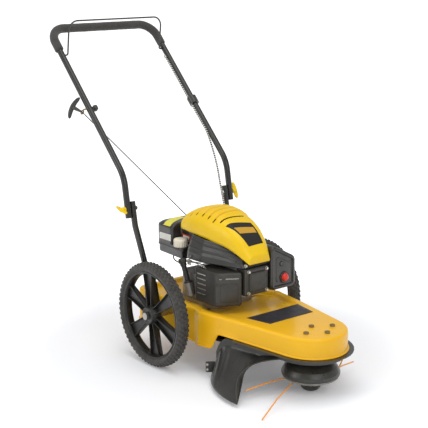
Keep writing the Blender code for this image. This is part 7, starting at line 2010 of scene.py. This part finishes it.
    def build_bail(self) -> None:
        """The bail wire, hooked into both legs."""
        pivot = self.leg(self.bail_share, 0.0)
        pin, half = self.half - self.upper_radius + 0.0060, self.half - self.bail_inset
        top = np.array([self.top[0] + self.bail_top[0], 0.0, self.top[1] + self.bail_top[1]])
        right = [pivot + [0, -pin, 0], pivot + [0, -half, 0], top + [0, -half, 0]]
        left = [p * [1, -1, 1] for p in right[::-1]]
        line = resampled(at_axle(filleted(right + left, [0.0, 0.006, 0.035, 0.035, 0.006, 0.0], 10)), 0.02)
        make_piece("bail_rod", [tube(line, self.bail_radius, 16, (0.9, 0.1, 0.4))], BLACK_ENAMEL, Body.BAIL, ["bail"])

    def cable_place(self, share: float) -> np.ndarray:
        """A point beside the left leg, on its inner side, where the cable lies."""
        place = self.leg(share, 1.0)
        place[1] = self.half - self.upper_radius - self.cable_radius - 0.0006
        return place

    def build_cable(self) -> None:
        """The brake cable: beside the leg on the handle, then free down to its lever on the engine."""
        held = [self.cable_place(share) for share in self.cable_shares]
        inner = held[0][1]
        free = [np.array([x, inner + (self.cable_end[1] - inner) * share, z]) for x, share, z in self.cable_free]
        path = resampled(at_axle(smooth_path([*held, *free, np.array(self.cable_end)], 12)), 0.003)
        patch = measured_tube(path, self.cable_radius + self.cable_extra, 16, (0.9, 0.1, 0.2))
        start, end = at_axle(self.cable_end), at_axle(held[-1])
        make_piece("brake_cable_run", [patch], WOUND_CONDUIT, Body.HANDLE, ["brake_cable"],
                   between=(Body.CHASSIS, Body.HANDLE, tuple(start), tuple(end)))

    def rope_eye(self) -> np.ndarray:
        """The middle of the rope guide's loop."""
        return self.leg(self.guide_share, -1.0) + [0.0, -self.guide_out, 0.0] + self.leg_normal() * self.guide_rise

    def build_rope(self) -> None:
        """The starter rope from its port in the cover, through the guide's loop, to the starter grip."""
        eye, port = self.rope_eye(), np.array(self.rope_port)
        down, axis = unit(port - eye), unit(np.array(self.starter_axis))
        line = filleted([eye + axis * self.guide_wire, eye, port + down * 0.006], [0.0, 0.006, 0.0], 8)
        patch = measured_tube(resampled(at_axle(line), 0.008), self.rope_radius, 12, (0.1, 0.9, 0.2))
        make_piece("starter_rope_run", [patch], ROPE_BRAID, Body.HANDLE, ["starter_rope"],
                   between=(Body.CHASSIS, Body.HANDLE, tuple(at_axle(port)), tuple(at_axle(eye))))
        seat = revolve(self.bush, at_axle(port - down * 0.0010), -down, 28)
        make_piece("rope_port_bush", [seat], BLACK_NYLON, Body.CHASSIS)

    def build_guide(self) -> None:
        """The guide wire: through the right leg, out beside it, and five sixths of a turn round the rope."""
        leg, eye = self.leg(self.guide_share, -1.0), self.rope_eye()
        axis = unit(np.array(self.starter_axis))
        side = unit(np.cross(axis, -self.leg_normal()))
        up = unit(np.cross(axis, side))
        turn = np.radians(90.0 + 300.0 * np.linspace(0.0, 1.0, 31))[:, None]
        loop = eye + (side * np.cos(turn) + up * np.sin(turn)) * self.guide_loop
        inner = leg + [0.0, self.upper_radius + self.guide_inside, 0.0]
        bent = filleted([leg, np.array([leg[0], loop[0][1], leg[2]]), loop[0]], [0.0, 0.004, 0.0], 6)
        path = np.vstack([inner[None], bent[1:], loop[1:]])
        make_piece("rope_eye_wire", [tube(at_axle(path), self.guide_wire, 16, (0.2, 0.4, 0.9))], YELLOW_ZINC,
                   Body.HANDLE, ["rope_guide"])

    def build_clamp_knob(self) -> None:
        """The guide's clamp knob: its radius is r (1 + 0.1 f cos 4t) at lobe share f and turn t."""
        turn = np.linspace(0.0, math.tau, 96, endpoint=False)
        radius, height, share = (column[:, None] for column in np.array(self.clamp).T)
        points = turned(radius * (1.0 + 0.10 * np.cos(4.0 * turn) * share), height, turn)
        place = at_axle(self.leg(self.guide_share, -1.0) + [0.0, self.upper_radius + 0.0002, 0.0])
        knob = grid(points, wrap_columns=True, caps=True).moved(turn_to((0, 1, 0), place))
        make_piece("lobed_clamp_knob", [knob], BLACK_POLYPROPYLENE, Body.GUIDE_CLAMP, ["guide_knob"])

    def build_starter(self) -> None:
        """The starter grip: a bowed bar whose radius is r (1 - 0.35 s^2) at share s along it, on its stem."""
        eye, axis = self.rope_eye(), unit(np.array(self.starter_axis))
        lean = np.array(self.starter_lean)
        along = unit(lean - axis * (lean @ axis))
        share = np.linspace(-1.0, 1.0, 41)[:, None]
        bow = eye + axis * self.starter_reach + along * self.starter_half * share - axis * self.starter_bow * share**2
        ends = np.sqrt(np.clip(1.0 - np.abs(share[:, 0]) ** 10, 0.02, 1.0))
        radius = self.starter_radius * (1.0 - 0.35 * share[:, 0] ** 2) * ends
        stem = revolve(self.starter_stem, at_axle(eye + axis * (self.guide_wire + 0.0003)), axis, 28)
        make_piece("bowed_starter_grip", [tube(at_axle(bow), radius, 24, (0.9, 0.3, 0.1)), stem], BLACK_POLYPROPYLENE,
                   Body.STARTER, ["starter_grip"])

    def build_wing_knob(self, name: str, side: float, tilt: float, body: Body) -> None:
        """A yellow wing knob: an oval plate, thick at its middle, on a turned hub.

        The wing's half height at share s along it is 9 mm times (1 - |s|^2.6)^(1/2), and its half thickness
        falls from 4.2 mm at the middle to 2.6 mm.

        Args:
            name: Right or left.
            side: Minus one or one.
            tilt: How far the wings are turned.
            body: The body that it turns with.
        """
        start = self.half + self.upper_radius + 0.0002
        foot = at_axle((self.pivot[0], side * start, self.pivot[1]))
        share = np.linspace(-1.0, 1.0, 45)[:, None]
        tall = self.wing_tall * np.clip(1.0 - np.abs(share) ** 2.6, 0.0, 1.0) ** 0.5 + 0.0002
        thick = self.wing_thick[0] + self.wing_thick[1] * np.exp(-((share / 0.3) ** 2))
        thick *= np.clip(1.0 - np.abs(share) ** 12, 0.0, 1.0) ** 0.5 + 0.02
        turn = np.linspace(0.0, math.tau, 32, endpoint=False)
        wide, high = (np.sign(wave) * np.abs(wave) ** 0.6 for wave in (np.cos(turn), np.sin(turn)))
        points = np.stack(np.broadcast_arrays(self.wing_half * share, tall * wide, thick * high), axis=-1)
        place = foot + [0.0, side * self.wing_rise, 0.0]
        direction = (math.cos(tilt), 0.0, -math.sin(tilt))
        wing = grid(points, wrap_columns=True, caps=True).moved(frame_matrix(direction, (0.0, 1.0, 0.0), place))
        hub = revolve(self.hub, foot, (0.0, side, 0.0), 36)
        make_piece(name + "_oval_wing_knob", [hub, wing], YELLOW_ABS, body, [name + "_wing_knob"])

    def build(self) -> None:
        """Builds the handle's pieces and dresses the rest."""
        BLACK_ENAMEL.dress("left_handle_bracket", "right_handle_bracket")
        ZINC_PLATE.dress("left_handle_bolt", "right_handle_bolt", "cable_stop")
        BLACK_POLYPROPYLENE.dress("cable_sleeve")
        self.build_tubes()
        self.build_grip()
        self.build_bail()
        self.build_cable()
        self.build_rope()
        self.build_guide()
        self.build_clamp_knob()
        self.build_starter()
        self.build_wing_knob("right", -1.0, 0.25, Body.RIGHT_KNOB)
        self.build_wing_knob("left", 1.0, 1.15, Body.LEFT_KNOB)


def main() -> None:
    """Builds the studio and every sub-assembly."""
    logging.basicConfig(level=logging.INFO, format="%(message)s")
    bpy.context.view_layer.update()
    Studio().build()
    Wheel("right", -1.0, Body.RIGHT_WHEEL).build()
    Wheel("left", 1.0, Body.LEFT_WHEEL).build()
    Deck().build()
    DebrisShield().build()
    TrimmerHead().build()
    Engine().build()
    BlowerHousing().build()
    TopCover().build()
    FuelTank().build()
    AirCleaner().build()
    Handle().build()


if __name__ == "__main__":
    main()
